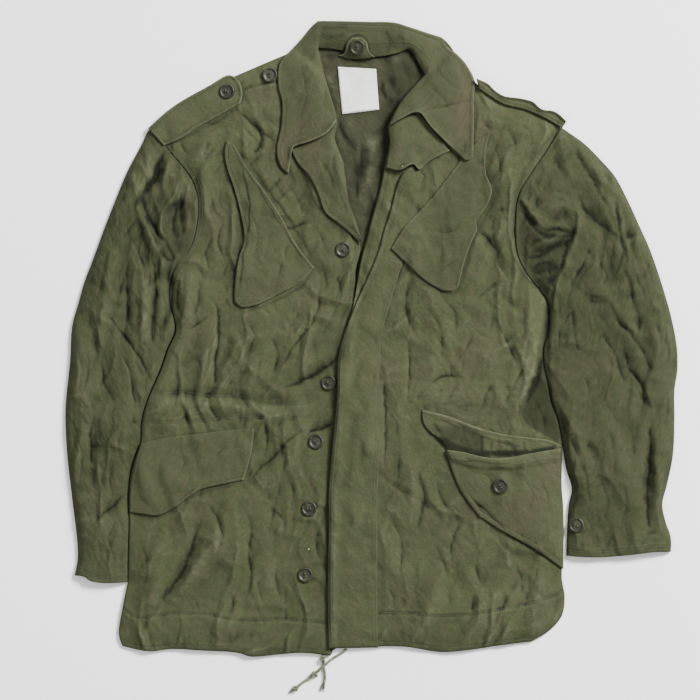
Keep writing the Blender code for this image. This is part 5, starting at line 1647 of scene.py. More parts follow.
def rubbing(points: Array, look: Look, painted_shade_and_wear: Optional[Array] = None) -> dict[str, Array]:
    """How rubbed a fine grid is, and how much painted shade it gets, at each of its points.

    Args:
        points: The grid.
        look: How it is worked.
        painted_shade_and_wear: Painted shade at each point, and wear where it is below 0.

    Returns:
        The values wear and hollow, the painted shade, as grids.
    """
    z = points[..., 2]
    near_by, wide = z - averaged(z, 4), z - averaged(z, 30)
    across, down = lengths(points, 1), lengths(points, 0)
    gaps = {Rim.LEFT: across, Rim.RIGHT: across[:, -1:] - across, Rim.START: down,
            Rim.END: down[-1:] - down}
    edge = np.min([np.full(z.shape, 99.0), *(gaps[rim] for rim in look.sewn)], axis=0)
    rim = np.exp(-((edge / 1.5) ** 2))
    tone = np.zeros_like(z) if painted_shade_and_wear is None else painted_shade_and_wear
    wear = (np.clip(near_by / 0.4, 0, 1) * 0.3 + np.clip(wide / 2.5, 0, 1) * 0.2
            + np.clip(-tone, 0, 0.6) * 0.7 + rim * look.edge_wear)
    # hollow is painted shade: darker where the cloth lies below the cloth round it, and with the
    # painted shade of creases and shadows.
    hollow = np.clip(-near_by / 0.5, 0, 1) * 0.3 + np.clip(-wide / 3.0, 0, 1) * 0.25
    hollow = (np.maximum(hollow, 0) + np.clip(tone, 0, 1)) * (1 - 0.8 * rim)
    return {"wear": np.clip(wear, 0, 1), "hollow": np.clip(hollow, 0, 1)}


def rim_line(points: Array, rim: Rim) -> Array:
    """The points along one edge of a grid."""
    return {Rim.START: points[0], Rim.END: points[-1], Rim.LEFT: points[:, 0],
            Rim.RIGHT: points[:, -1]}[rim]


def inside_line(points: Array, rim: Rim, distance: float) -> Array:
    """A line at a distance inside one edge of a grid.

    Args:
        points: The grid.
        rim: The edge.
        distance: How far inside, in mm.

    Returns:
        The line's points.
    """
    grid = np.swapaxes(points, 0, 1) if rim in (Rim.LEFT, Rim.RIGHT) else points
    if rim in (Rim.END, Rim.RIGHT):
        grid = grid[::-1]
    run = lengths(grid, 0)
    out = []
    for column in range(grid.shape[1]):
        want = min(distance, run[-1, column] * 0.9)
        out.append([np.interp(want, run[:, column], grid[:, column, k])
                    for k in range(grid.shape[2])])
    return np.array(out)


# Kinds of seam within a piece. Columns: depth, half width, depth of its puckers, their spacing.
SEAM_KINDS = {
    "CHANNEL": (0.3, 2.6, 0.5, 14.0), "HEM": (0.6, 2.2, 0.5, 14.0), "YOKE": (0.5, 2.6, 0.3, 22.0),
    "SHOULDER": (0.8, 2.4, 0.4, 16.0), "LINE": (0.4, 2.0, 0.2, 20.0),
}

# Widths of painted shade in hollows. Columns: blur, depth that counts as full, share of shade.
TONES = ((1.5, 0.4, 0.19), (4.5, 1.2, 0.22), (12.0, 3.0, 0.33))

CREASE_REACH = 7.0         # how far from its middle a crease is felt, in half widths
PAINTED_SHADE_HALF = 1.1             # half width of the painted shade in the bottom of a crease
PAINTED_SHADE_MOST = 0.33            # how dark that painted shade is at most
SHORT_CREASE = 90.0        # a listed crease shorter than this is made shallower

# Folds that cross all cloth. Columns: 2 for long folds with a steep side, 1 for valleys, -1 for
# ridges or 0 for soft swells; width; length; depth; turn.
FACETS = (
    (2, 31.0, 110.0, 2.3, 0.05), (2, 21.0, 75.0, 1.2, -0.3), (2, 40.0, 80.0, 1.7, 0.75),
    (2, 33.0, 80.0, 1.3, -0.95), (0, 62.0, 120.0, 2.2, 0.3), (-1, 24.0, 40.0, 0.8, 0.9),
    (1, 13.0, 24.0, 0.5, 0.2), (1, 7.5, 12.0, 0.3, -0.5), (0, 4.2, 5.5, 0.15, 0.0),
)


# Creases at random. Columns: how many for each of a look's strokes, half length, height, half width
# (each at least and at most), painted shade of the bottom, whether every other one is a ridge.
STROKES = (
    (0.06, (25, 75), (0.8, 1.9), (7, 14), 0.5, True),
    (0.14, (8, 30), (0.25, 0.7), (2.0, 3.2), 1.2, False),
)
STROKE_TURN = 0.55         # how much their direction varies, in radians
STROKE_KINK = 0.04         # how much they wander off a straight line, as a share of half a length


class Worker:
    """Works creases, folds and seams into a piece's heights."""

    def __init__(self, name: str, plan: Array, look: Look) -> None:
        """Start on one piece.

        Args:
            name: The node that the piece stands for.
            plan: Its grid in the plane.
            look: How it is worked.
        """
        self.name = name
        self.plan = plan
        self.look = look
        self.rng = np.random.default_rng(look.seed)
        self.heights = Heights()
        self.painted_shade_and_wear = Heights()
        flat = plan.reshape(-1, 2)
        self.ring = flat[border(*plan.shape[:2])]
        self.window = Heights.window(flat, 3)
        self.x, self.y = Heights.middles(self.window)
        self.sway = np.zeros((2, *self.heights.cells.shape))
        self.blotch = np.zeros(self.heights.cells.shape)
        x, y = self.x, self.y
        for k in (0, 1):
            first, second = Noise(look.seed + 90 + k), Noise(look.seed + 92 + k)
            wander = 1.8 * first.at(x / 17, y / 17) + 0.4 * second.at(x / 6, y / 6)
            self.sway[k][self.window] = wander
        self.blotch[self.window] = Noise(look.seed + 95).at(x / 22, y / 22)

    def crease(self, height: float, half_width: float, points: Array, painted_shade_and_wear: float = 1.0) -> None:
        """Work in one crease, deepest between its ends: steep on one side and soft on the other.

        Args:
            height: Height over the cloth round it, below 0 for a trough.
            half_width: Half of its width.
            points: Points that it runs through.
            painted_shade_and_wear: How much painted shade its bottom gets.
        """
        line = smooth_line(points, 5)
        reach = CREASE_REACH * half_width
        window, gap, along, side = near(line, reach, self.sway)
        total = max(length_of(line), 1.0)
        share = np.clip(along / total, 0, 1)
        peak = self.rng.uniform(0.3, 0.7)
        share = np.where(share < peak, share / peak, (1 - share) / (1 - peak))
        middle = np.clip(share * (2 - share), 0, 1)
        uneven = np.clip(1 + 0.6 * self.blotch[window], 0.45, 1.3)
        steep = side * self.rng.choice((-1.0, 1.0)) > 0
        width = half_width * (0.5 + 0.5 * middle)
        fade = np.clip(1 - gap / reach, 0, 1) ** 0.5
        if height > 0:
            across = np.exp(-((gap / (width * np.where(steep, 0.7, 1.9))) ** 1.8))
        else:
            across = np.where(steep, np.exp(-((gap / (0.7 * width)) ** 1.2)),
                              0.6 * np.exp(-gap / (0.8 * width)) + 0.4 * np.exp(-gap / (3 * width)))
            # Painted shade along the bottom of a trough.
            painted_shade_mark = np.exp(-((gap / PAINTED_SHADE_HALF) ** 2)) * middle ** 0.5 * uneven * painted_shade_and_wear
            painted_shade_mark = painted_shade_mark * min(0.02 - height / 19.0, PAINTED_SHADE_MOST)
            self.painted_shade_and_wear.cells[window] = np.maximum(self.painted_shade_and_wear.cells[window], painted_shade_mark)
        self.heights.cells[window] += height * middle ** 0.8 * uneven * across * fade

    def crumple(self) -> None:
        """Work in the folds, facets and crinkles that cross the whole piece."""
        look, x, y = self.look, self.x, self.y
        u = x * math.cos(look.lean) + y * math.sin(look.lean)
        v = y * math.cos(look.lean) - x * math.sin(look.lean)
        sway = Noise(look.seed + 40)
        push = 20 * sway.at(u / 95, v / 130) + 5 * sway.at(u / 27 + 9.3, v / 33)
        pull = 20 * sway.at(u / 95 + 7.7, v / 130 + 3.1) + 5 * sway.at(u / 27 + 1.3, v / 33 + 5.5)
        u, v = u + push, v + pull
        total = np.zeros(x.shape)
        for k, (kind, wide, long, depth, turn) in enumerate(FACETS):
            a = u * math.cos(turn) + v * math.sin(turn)
            b = v * math.cos(turn) - u * math.sin(turn)
            noise, mask = Noise(look.seed * 7 + k), Noise(look.seed * 3 + k)
            if kind == 2:
                phase = a / wide + 0.9 * noise.at(a / (3 * wide), b / long)
                which = np.floor(phase)
                part = phase - which
                value = np.where(part < 0.27, part / 0.27, (1 - part) / 0.73) ** 1.2
                here = 0.15 + 1.9 * mask.at(which * 0.37 + 0.5, b / long + 7.3 * which)
                value = value * np.clip(here, 0, 1.2)
            else:
                value = noise.at(a / wide, b / long)
                here = 0.65 + 0.8 * mask.at(u / 75 + 3.3 * k, v / 75)
                value = (kind * (1.6 * np.abs(value) - 0.45) if kind else value) * np.clip(
                    here, 0.15, 1.3)
            total += depth * value
        self.heights.cells[self.window] += look.crumple / 1.5 * total

    def strokes(self) -> None:
        """Work in long soft folds and short thin creases at about the favoured direction."""
        look = self.look
        low, high = self.ring.min(axis=0), self.ring.max(axis=0)
        size = float(np.prod(high - low)) / 10000
        for part, halves, heights, widths, painted_shade_and_wear, ridges in STROKES:
            for _ in range(int(part * look.strokes * size)):
                middle = self.rng.uniform(low, high)
                angle = math.pi / 2 + look.lean + self.rng.normal(0, STROKE_TURN)
                step = self.rng.uniform(*halves) * np.array([math.cos(angle), math.sin(angle)])
                aside = np.array([-step[1], step[0]])
                kinks = self.rng.normal(0, STROKE_KINK, (4, 1)) * aside
                path = np.array([middle + t * step for t in (-1, -0.4, 0.3, 1)]) + kinks
                height = self.rng.uniform(*heights)
                height *= self.rng.choice((-1, 1)) if ridges else -1
                self.crease(height, self.rng.uniform(*widths), path, painted_shade_and_wear)

    def paint_shade(self, window: tuple[slice, slice], gap: Array, half: float, amount: Any) -> None:
        """Paint shade on the cells close to a line."""
        painted_shade_mark = amount * np.exp(-((gap / half) ** 2))
        self.painted_shade_and_wear.cells[window] = np.maximum(self.painted_shade_and_wear.cells[window], painted_shade_mark)

    def folds(self) -> None:
        """Work in the broad folds that the piece's solid has."""
        for height, half_width, *flat in FOLDS.get(self.name, ()):
            line = smooth_line(np.reshape(flat, (-1, 2)), 4)
            window, gap, along, _ = near(line, half_width * 1.4)
            total = length_of(line)
            across = 0.5 + 0.5 * np.cos(np.pi * np.minimum(gap / (1.3 * half_width), 1))
            taper = 0.35 + 0.65 * np.sin(np.pi * np.clip(along / total, 0, 1))
            self.heights.cells[window] += 0.9 * height * across * taper

    def seam(self, kind: str, points: Line) -> None:
        """Work in a seam within the piece, with the short puckers that its stitches draw.

        Args:
            kind: One of SEAM_KINDS.
            points: Points that it runs through.
        """
        depth, half, pucker, spacing = SEAM_KINDS[kind]
        line = smooth_line(points, 8)
        window, gap, along, _ = near(line, 3.2 * half)
        groove = np.exp(-((gap / half) ** 2)) * (0.85 + 0.3 * np.sin(along / 5.0))
        ridge = np.exp(-(((gap - 2.1 * half) / (0.8 * half)) ** 2))
        self.heights.cells[window] += -depth * groove + 0.35 * depth * ridge
        # Painted shade along the seam's groove.
        self.paint_shade(window, gap, 1.3, 0.35 * depth + 0.04)
        self.puckers(line, pucker, spacing, 11.0)

    def puckers(self, line: Array, depth: float, spacing: float, reach: float,
                one_side: int = 0) -> None:
        """Work in short creases that start on a line and run away from it.

        Args:
            line: The line.
            depth: How deep they are at most.
            spacing: Their mean spacing.
            reach: How far they run at most.
            one_side: 1 or -1 for the side that they run to, 0 for both.
        """
        run = run_along(line)
        at = self.rng.uniform(0, spacing)
        while at < run[-1]:
            spot = np.array([np.interp(at, run, line[:, k]) for k in (0, 1)])
            ahead = np.array([np.interp(min(at + 2, run[-1]), run, line[:, k]) for k in (0, 1)])
            step = ahead - spot
            size = max(float(np.hypot(*step)), 1e-6)
            side = one_side if one_side else self.rng.choice((-1, 1))
            normal = np.array([-step[1], step[0]]) / size * side
            slant = step / size * self.rng.normal(0, 0.45)
            tip = spot + (normal + slant) * self.rng.uniform(0.45, 1.0) * reach
            self.crease(-depth * self.rng.uniform(0.4, 1.0), self.rng.uniform(1.8, 2.8),
                        np.array([spot - normal, (spot + tip) / 2 + slant, tip]))
            at += self.rng.uniform(0.5, 1.5) * spacing

    def edges(self) -> None:
        """Fade the creases towards the edges, and give the sewn edges their welt and groove."""
        look = self.look
        window, gap, _, _ = near(np.concatenate([self.ring, self.ring[:1]]), look.calm + 2)
        calmed = np.where(gap < look.calm, 0.45 + 0.55 * np.clip(gap / look.calm, 0, 1), 1)
        self.heights.cells[window] *= calmed
        window, gap, _, _ = near(np.concatenate([self.ring, self.ring[:1]]), 30)
        lift = max(-float(np.percentile(self.heights.sample(self.plan), 8)), 0)
        self.heights.cells[window] -= lift * (1 - np.clip(gap / 28, 0, 1) ** 0.6)
        self.heights.cells[self.window] += lift
        for rim in look.sewn:
            line = rim_line(self.plan, rim)
            window, gap, along, _ = near(line, look.inset + 6)
            uneven = 0.75 + 0.5 * np.sin(along / 4.1) * np.sin(along / 11.0 + look.seed)
            full = np.exp(-(((gap - 0.5 * look.inset) / (0.42 * look.inset)) ** 2))
            groove = np.exp(-(((gap - look.inset) / 1.25) ** 2))
            self.heights.cells[window] += look.welt * (full * uneven - 0.9 * groove)
            # Painted shade along the groove of the stitches.
            painted_groove_shade = np.clip(0.16 + 0.25 * self.blotch[window], 0.04, 0.4)
            self.paint_shade(window, np.abs(gap - look.inset), 0.9, painted_groove_shade)

    def worked(self) -> Heights:
        """All of it.

        Returns:
            What the creases and seams add to the piece's height.
        """
        self.crumple()
        self.strokes()
        self.folds()
        for height, half_width, *flat in CREASES.get(self.name, ()):
            points = np.reshape(flat, (-1, 2)).astype(float)
            run = length_of(points)
            share = 0.40 + 0.65 * min(run / SHORT_CREASE, 1)
            self.crease(share * height, half_width, points)
        for kind, seam in SEAMS.get(self.name, ()):
            self.seam(kind, seam)
        for rim in self.look.sewn:
            line = inside_line(self.plan, rim, self.look.inset)
            side = 1 if rim in (Rim.START, Rim.RIGHT) else -1
            self.puckers(line, 0.35, 13.0, 8.0, side)
        self.edges()
        self.shade()
        # Painted shadows and shade from SHADES; below 0, a paler rubbed line.
        for strength, half_width, *flat in SHADES.get(self.name, ()):
            line = smooth_line(np.reshape(flat, (-1, 2)).astype(float), 6)
            if half_width < 0:
                window, inside = within(line, 4 - 3 * half_width)
                share = blurred(inside.astype(float), -half_width)
            else:
                window, gap, along, _ = near(line, 2.4 * half_width, self.sway)
                share = along / max(float(along.max()), 1.0)
                share = np.clip(10 * share * (1 - share), 0, 1) * np.exp(-((gap / half_width) ** 2))
                share = share * np.clip(1 + 0.5 * self.blotch[window], 0.6, 1.2)
            missing = strength - self.painted_shade_and_wear.cells[window]
            self.painted_shade_and_wear.cells[window] += share * (np.maximum(missing, 0) if strength > 0
                                               else np.minimum(missing, 0))
        return self.heights

    def shade(self) -> None:
        """Paint shade into hollows and paler wear onto ridges, at several widths."""
        cells = self.heights.cells[self.window]
        for sigma, depth, weight in TONES:
            tone = np.clip((blurred(cells, sigma) - cells) / depth, -0.7, 1.0)
            self.painted_shade_and_wear.cells[self.window] += weight * tone


# ---------------------------------------------------------------- laying pieces
class Sewing:
    """The stitches of a sub-assembly, as one piece."""

    def __init__(self, name: str) -> None:
        """Start with none.

        Args:
            name: The piece's name.
        """
        self.name = name
        self.points: list[Array] = []

    def along(self, line: Array, pile: Heights, stitch: tuple[float, float] = STITCH,
              width: float = 0.62) -> None:
        """Sew a row of stitches.

        Args:
            line: The line to sew along.
            pile: The heights that they lie on.
            stitch: Their spacing, and the length that shows of each.
            width: Their width.
        """
        line = line[..., :2]
        pitch, length = stitch
        run = run_along(line)
        if run[-1] < 2 * pitch:
            return
        starts = np.arange(pitch, run[-1] - pitch, pitch)
        ends = [np.stack([np.interp(at, run, line[:, k]) for k in (0, 1)], axis=1)
                for at in (starts - length / 2, starts + length / 2)]
        heights = [pile.sample(end) for end in ends]
        middle = pile.sample((ends[0] + ends[1]) / 2)
        tips = [np.column_stack([end, height - STITCH_SINK]) for end, height in zip(ends, heights)]
        centre = (tips[0] + tips[1]) / 2
        centre[:, 2] = np.maximum(middle, (heights[0] + heights[1]) / 2) + STITCH_RISE
        step = tips[1] - tips[0]
        side = np.stack([-step[:, 1], step[:, 0], np.zeros(len(step))], axis=1)
        side *= width / 2 / np.maximum(np.linalg.norm(side, axis=1, keepdims=True), 1e-6)
        rise = np.array([0, 0, STITCH_HALF])
        shape = [tips[0]]
        for share in STITCH_FULL:
            spot = tips[0] * (1 - share) + tips[1] * share
            spot[:, 2] = centre[:, 2]
            shape += [spot + side, spot + rise, spot - side, spot - rise]
        shape.append(tips[1])
        self.points.append(np.stack(shape, axis=1))

    def edges(self, points: Array, rims: Iterable[Rim], inset: float, pile: Heights,
              stitch: tuple[float, float] = FINE_STITCH) -> None:
        """Sew along some of a grid's edges.

        Args:
            points: The grid.
            rims: The edges.
            inset: How far inside them.
            pile: The heights that the stitches lie on.
            stitch: Their spacing, and the length that shows of each.
        """
        for rim in rims:
            self.along(inside_line(points, rim, inset), pile, stitch)

    def finish(self) -> None:
        """Make the piece."""
        if not self.points:
            return
        points = np.concatenate(self.points)
        faces = [[0, 1 + (k + 1) % 4, 1 + k] for k in range(4)]
        faces += [[1 + k, 1 + (k + 1) % 4, 5 + (k + 1) % 4, 5 + k] for k in range(4)]
        faces += [[9, 5 + k, 5 + (k + 1) % 4] for k in range(4)]
        faces = outward(points[0], faces)
        every = [[10 * n + k for k in face] for n in range(len(points)) for face in faces]
        mesh_object(self.name, points.reshape(-1, 3), every, Finish.SEWING)
        log.info("%s: %d stitches", self.name, len(points))


class Table:
    """What has been laid so far, and the laying of cloth on it."""

    def __init__(self) -> None:
        """Start with a bare table."""
        self.body = Heights()
        self.sleeves = Heights()

    def both(self) -> Heights:
        """The body's pile and the sleeves' together.

        Returns:
            The higher of the two at each place.
        """
        out = Heights()
        out.cells = np.maximum(self.body.cells, self.sleeves.cells)
        return out

    def draped(self, plan: Array, look: Look, pile: Heights) -> Array:
        """Height of the soft surface that a piece lies on, at each point of its grid."""
        support = pile.spread(int(look.blur)).soft(look.blur)
        return np.maximum(support.sample(plan), pile.sample(plan)) + GAP

    def lay(self, name: str, cut: Cut, look: Look, relief: Relief, finish: Finish,
            pile: Optional[Heights] = None, wall: float = WALL,
            least: float = 1.5) -> Array:
        """Lay one piece of cloth on the pile.

        Args:
            name: The node that it stands for.
            cut: Its cut.
            look: How it is worked.
            relief: Height of each point of its coarse grid over what it lies on.
            finish: What it is made of.
            pile: The heights that it lies on, the body's where none is given.
            wall: Its thickness.
            least: How high its upper face stands over the pile at least.

        Returns:
            The points of its upper face.
        """
        pile = pile or self.body
        plan = cut.fine()
        worker = Worker(name, plan, look)
        worked = worker.worked()
        rise = finer_grid(relief(cut.coarse()), *cut.finer)
        top = self.draped(plan, look, pile) + wall + rise + worked.sample(plan)
        ring = border(*plan.shape[:2])
        flat = top.reshape(-1)
        flat[ring] = flat[ring] - EDGE_DROP
        top = np.maximum(flat.reshape(top.shape), pile.sample(plan) + min(least, 0.75 * wall))
        points = np.dstack([plan, top])
        self.shell(name, points, cut.finer, look, finish, wall, worker.painted_shade_and_wear.sample(plan))
        pile.add_cloth(points)
        if pile is not self.body:
            self.body.add_cloth(points)
        return points

    def shell(self, name: str, points: Array, finer: tuple[int, int], look: Look, finish: Finish,
              wall: float, painted_shade_and_wear: Optional[Array] = None,
              flat_under: bool = False) -> None:
        """Make a piece from the points of its upper face.

        Args:
            name: The node that it stands for.
            points: The upper face's grid.
            finer: Fine steps for each coarse step.
            look: How it is worked.
            finish: What it is made of.
            wall: Its thickness.
            painted_shade_and_wear: Painted shade at each point, and wear where it is below 0.
            flat_under: Whether its underside lies flat on the table.
        """
        rows, columns = points.shape[:2]
        step = min(finer) // 2 if min(finer) > 3 else 1
        while (rows - 1) % step or (columns - 1) % step:
            step -= 1
        under = lowest(points[..., 2], step) - CORE * wall
        under = np.zeros_like(under) if flat_under else np.maximum(under, 0.02)
        low = np.dstack([points[..., :2], under])[::step, ::step]
        upper = quads_of(rows, columns)
        shift = rows * columns
        lower = quads_of(*low.shape[:2])[:, ::-1] + shift
        fine, coarse = border(rows, columns), border(*low.shape[:2]) + shift
        every = np.concatenate([points.reshape(-1, 3), low.reshape(-1, 3)])
        side = fans(fine, coarse, step)
        faces = outward(every, upper.tolist() + lower.tolist() + side)
        values = rubbing(points, look, painted_shade_and_wear)
        flat = np.dstack([lengths(points, 1), lengths(points, 0)]) / 1000
        made = mesh_object(
            "cloth_" + name, every, faces, finish,
            {k: np.concatenate([v.ravel(), np.zeros(low[..., 0].size)]) for k, v in values.items()},
            np.concatenate([flat.reshape(-1, 2), flat[::step, ::step].reshape(-1, 2)]),
        )
        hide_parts(name)
        declare(points, 1)


def declare(points: Array, layers: int) -> None:
    """Work out the area and width of a piece's cloth; nothing uses them.

    Args:
        points: Its upper face's grid, in mm.
        layers: 1 for a sheet, 2 for a flattened tube.
    """
    a, b, c, d = points[:-1, :-1], points[1:, :-1], points[1:, 1:], points[:-1, 1:]
    area = 0.5 * float(np.linalg.norm(np.cross(c - a, d - b), axis=-1).sum()) / 1e6
    wide = float(lengths(points, 1)[:, -1].max()) / 1000
    area, wide = round(area * layers, 5), round(wide * layers, 4)


def lying(grid: Array) -> Array:
    """Relief of a piece that lies flat."""
    return np.zeros(grid.shape[:2])


def bellied(height: float) -> Relief:
    """Relief of a piece that fills out in its middle.

    Args:
        height: How far it fills out.

    Returns:
        The relief.
    """
    def relief(grid: Array) -> Array:
        """Height at each point."""
        rows, columns = grid.shape[:2]
        across = np.sin(np.pi * np.linspace(0.0, 1.0, columns))[None]
        return height * across * np.sin(np.pi * np.linspace(0.12, 0.95, rows))[:, None]
    return relief


def rolled(height: float) -> Relief:
    """Relief of a leaf that turns over along its first edge and comes down to its last.

    Args:
        height: How high its roll stands.

    Returns:
        The relief.
    """
    def relief(grid: Array) -> Array:
        """Height at each point."""
        share = np.linspace(0, 1, grid.shape[1])
        roll = height * np.where(share < 0.2, 0.6 + 2 * share, (1.25 - 1.25 * share) ** 1.2)
        return np.broadcast_to(roll, grid.shape[:2]) + GAP
    return relief


def standing(height: float) -> Relief:
    """Relief of a strap that stands on its last edge.

    Args:
        height: How high its first edge stands.

    Returns:
        The relief.
    """
    def relief(grid: Array) -> Array:
        """Height at each point."""
        return np.broadcast_to(height * np.linspace(1, 0, grid.shape[1]), grid.shape[:2])
    return relief


# ---------------------------------------------------------------- sub-assemblies
@dataclass
class Body:
    """The back, the under collar, both fronts and the fly.

    Attributes:
        puff: How far a front stands off the back, away from its edges.
        puff_reach: Width of the strip in which a front comes down to its edge.
        columns: Coarse steps across a front.
        armhole: Coarse steps down an armhole.
        fine: Fine steps for each coarse step of a front.
        shown: Left, right and foot of the part of the back that shows between the fronts.
        strip: Height of the fly's free edge, and how far it comes down to its sewn edge.
    """

    puff: float = 3.4
    puff_reach: float = 22.0
    columns: int = 14
    armhole: int = 9
    fine: tuple[int, int] = (10, 10)
    shown: tuple[float, float, float] = (-85.0, 60.0, 95.0)
    strip: tuple[float, float] = (0.2, 2.2)

    def outline(self) -> Array:
        """The back's whole outline."""
        return joined(
            even(ARMHOLE_RIGHT, 30)[::-1], even(SHOULDER_RIGHT, 20), even(NECK_SEAM, 30),
            even(SHOULDER_LEFT, 20), even(ARMHOLE_LEFT, 30), even(SIDE_LEFT, 30),
            even(SKIRT_LEFT, 30), even(HEM_LEFT, 30)[::-1],
            np.array([HEM_LEFT[0], HEM_RIGHT[-1]], float), even(HEM_RIGHT, 30)[::-1],
            even(SKIRT_RIGHT, 20)[::-1], even(SIDE_RIGHT, 40)[::-1],
        )[:-1]

    def back(self, table: Table) -> None:
        """The back: flat under the fronts, and creased where it shows inside the neck.

        Args:
            table: Where it is laid.
        """
        top = joined(even(SHOULDER_RIGHT, 60), even(NECK_SEAM, 60), even(SHOULDER_LEFT, 60))
        foot = joined(even(HEM_RIGHT, 60), np.array([HEM_RIGHT[-1], HEM_LEFT[0]], float),
                      even(HEM_LEFT, 60))
        left = joined(even(ARMHOLE_RIGHT, 60), even(SIDE_RIGHT, 60), even(SKIRT_RIGHT, 60))
        right = joined(even(ARMHOLE_LEFT, 60), even(SIDE_LEFT, 60), even(SKIRT_LEFT, 60))
        look = Look(3, crumple=0.9, strokes=5, calm=3, edge_wear=0.1)
        cut = four_edged(top.tolist(), foot.tolist(), left.tolist(), right.tolist(), 30, 40, (8, 8))
        plan = cut.fine()
        worker = Worker("back", plan, look)
        worked = worker.worked().sample(plan)
        low, high, foot_of = self.shown
        inside = (plan[..., 0] > low) & (plan[..., 0] < high) & (plan[..., 1] > foot_of)
        shows = averaged(inside.astype(float), 12)
        heights = WALL + shows * np.maximum(worked + 0.6, -1.2)
        points = np.dstack([plan, heights])
        dense = points[::2, ::2]
        table.shell("back", dense, (4, 4), look, Finish.INSIDE, WALL,
                    worker.painted_shade_and_wear.sample(dense), True)
        table.body.add_flat(self.outline(), WALL)
        table.body.add_cloth(dense, 6)

    def under_collar(self, table: Table) -> None:
        """The under collar, folded out behind the neck seam.

        Args:
            table: Where it is laid.
        """
        look = Look(5, crumple=0.3, strokes=4, calm=3)
        low, high = even(NECK_SEAM, 64)[1:-1], even(NECK_ROLL, 64)[1:-1]
        share = np.linspace(0.0, 0.97, 13)[:, None, None]
        plan = low[None] * (1 - share) + high[None] * share
        worked = Worker("under_collar", plan, look).worked().sample(plan)
        points = np.dstack([plan, np.maximum(WALL + worked * 0.5, 1.6)])
        table.shell("under_collar", points, (2, 2), look, Finish.COLLAR, WALL, None,
                    True)
        table.body.add_cloth(points, 8)

    def front(self, name: str, side: Edge, centre: Line, shoulder: Line, hem: Line,
              mirrored: bool, look: Look, table: Table) -> Array:
        """One front, which rises from all of its edges but the armhole.

        Args:
            name: The node.
            side: Armhole, side and skirt.
            centre: Its front edge.
            shoulder: Its shoulder seam.
            hem: Its hem.
            mirrored: Whether the front edge is the grid's left one.
            look: How it is worked.
            table: Where it is laid.

        Returns:
            The points of its upper face.
        """
        middle: Edge = ((centre, sum(steps for _, steps in side)),)
        left, right = (middle, side) if mirrored else (side, middle)
        cut = Cut(self.columns, (Block(shoulder, hem, left, right),), self.fine)
        low = [run_of(((line, 24),), 1) for line in (shoulder, centre, hem)]
        low += [run_of(((line, 24),), 1) for line, _ in side[1:]]

        def relief(grid: Array) -> Array:
            """Height at each point."""
            gap = np.min([np.linalg.norm(grid[:, :, None] - line[None, None], axis=-1).min(axis=-1)
                          for line in low], axis=0)
            return self.puff * (1 - (1 - np.minimum(gap / self.puff_reach, 1)) ** 2)

        return table.lay(name, cut, look, relief, Finish.SHELL)

    def build(self, table: Table) -> None:
        """Lay the body from the table up.

        Args:
            table: Where it is laid.
        """
        sewing = Sewing("stitches_body")
        arm = self.armhole
        side_right: Edge = ((ARMHOLE_RIGHT, arm), (SIDE_RIGHT, 26), (SKIRT_RIGHT, 4))
        look = Look(11, crumple=1.5, strokes=13, sewn=(Rim.RIGHT, Rim.END))
        right = self.front("front_right", side_right, CENTRE_RIGHT, SHOULDER_RIGHT, HEM_RIGHT,
                           False, look, table)
        self.sew(sewing, right, Rim.LEFT, Rim.RIGHT, table, "front_right")
        side_left: Edge = ((ARMHOLE_LEFT, arm), (SIDE_LEFT, 14), (SKIRT_LEFT, 12))
        look = Look(17, crumple=1.4, strokes=12, sewn=(Rim.LEFT, Rim.END))
        left = self.front("front_left", side_left, CENTRE_LEFT, SHOULDER_LEFT, HEM_LEFT,
                          True, look, table)
        self.sew(sewing, left, Rim.RIGHT, Rim.LEFT, table, "front_left")

        def relief(grid: Array) -> Array:
            """The fly's far side is sewn down."""
            share = np.linspace(0, 1, grid.shape[1])
            free, drop = self.strip
            return np.broadcast_to(free - drop * share ** 1.5, grid.shape[:2])

        cut = four_edged((FLY_EDGE[0], FLY_STITCHES[0]), (FLY_EDGE[-1], FLY_STITCHES[-1]),
                         FLY_EDGE, FLY_STITCHES, 3, 34, (10, 10))
        look = Look(23, crumple=0.8, strokes=8, sewn=(Rim.LEFT,), calm=6, blur=2)
        fly = table.lay("fly", cut, look, relief, Finish.SHELL, least=0.3)
        for rim, distance in ((Rim.LEFT, 2.0), (Rim.LEFT, 6.0), (Rim.RIGHT, 1.5), (Rim.RIGHT, 5.0)):
            sewing.along(inside_line(fly, rim, distance), table.body)
        sewing.finish()

    def sew(self, sewing: Sewing, points: Array, armhole: Rim, centre: Rim, table: Table,
            name: str) -> None:
        """Sew a front's seams and edges.

        Args:
            sewing: Where the stitches go.
            points: The front's upper face.
            armhole: The edge that starts with the armhole.
            centre: Its front edge.
            table: What the stitches lie on.
            name: The front's node.
        """
        upper = points[: self.armhole * self.fine[0] + 1]
        for distance in (2.5, 9.0):
            sewing.along(inside_line(upper, armhole, distance), table.body)
        sewing.edges(points, (centre, Rim.END), 6.0, table.body, STITCH)
        for _, seam in SEAMS[name]:
            sewing.along(smooth_line(seam, 8), table.body)


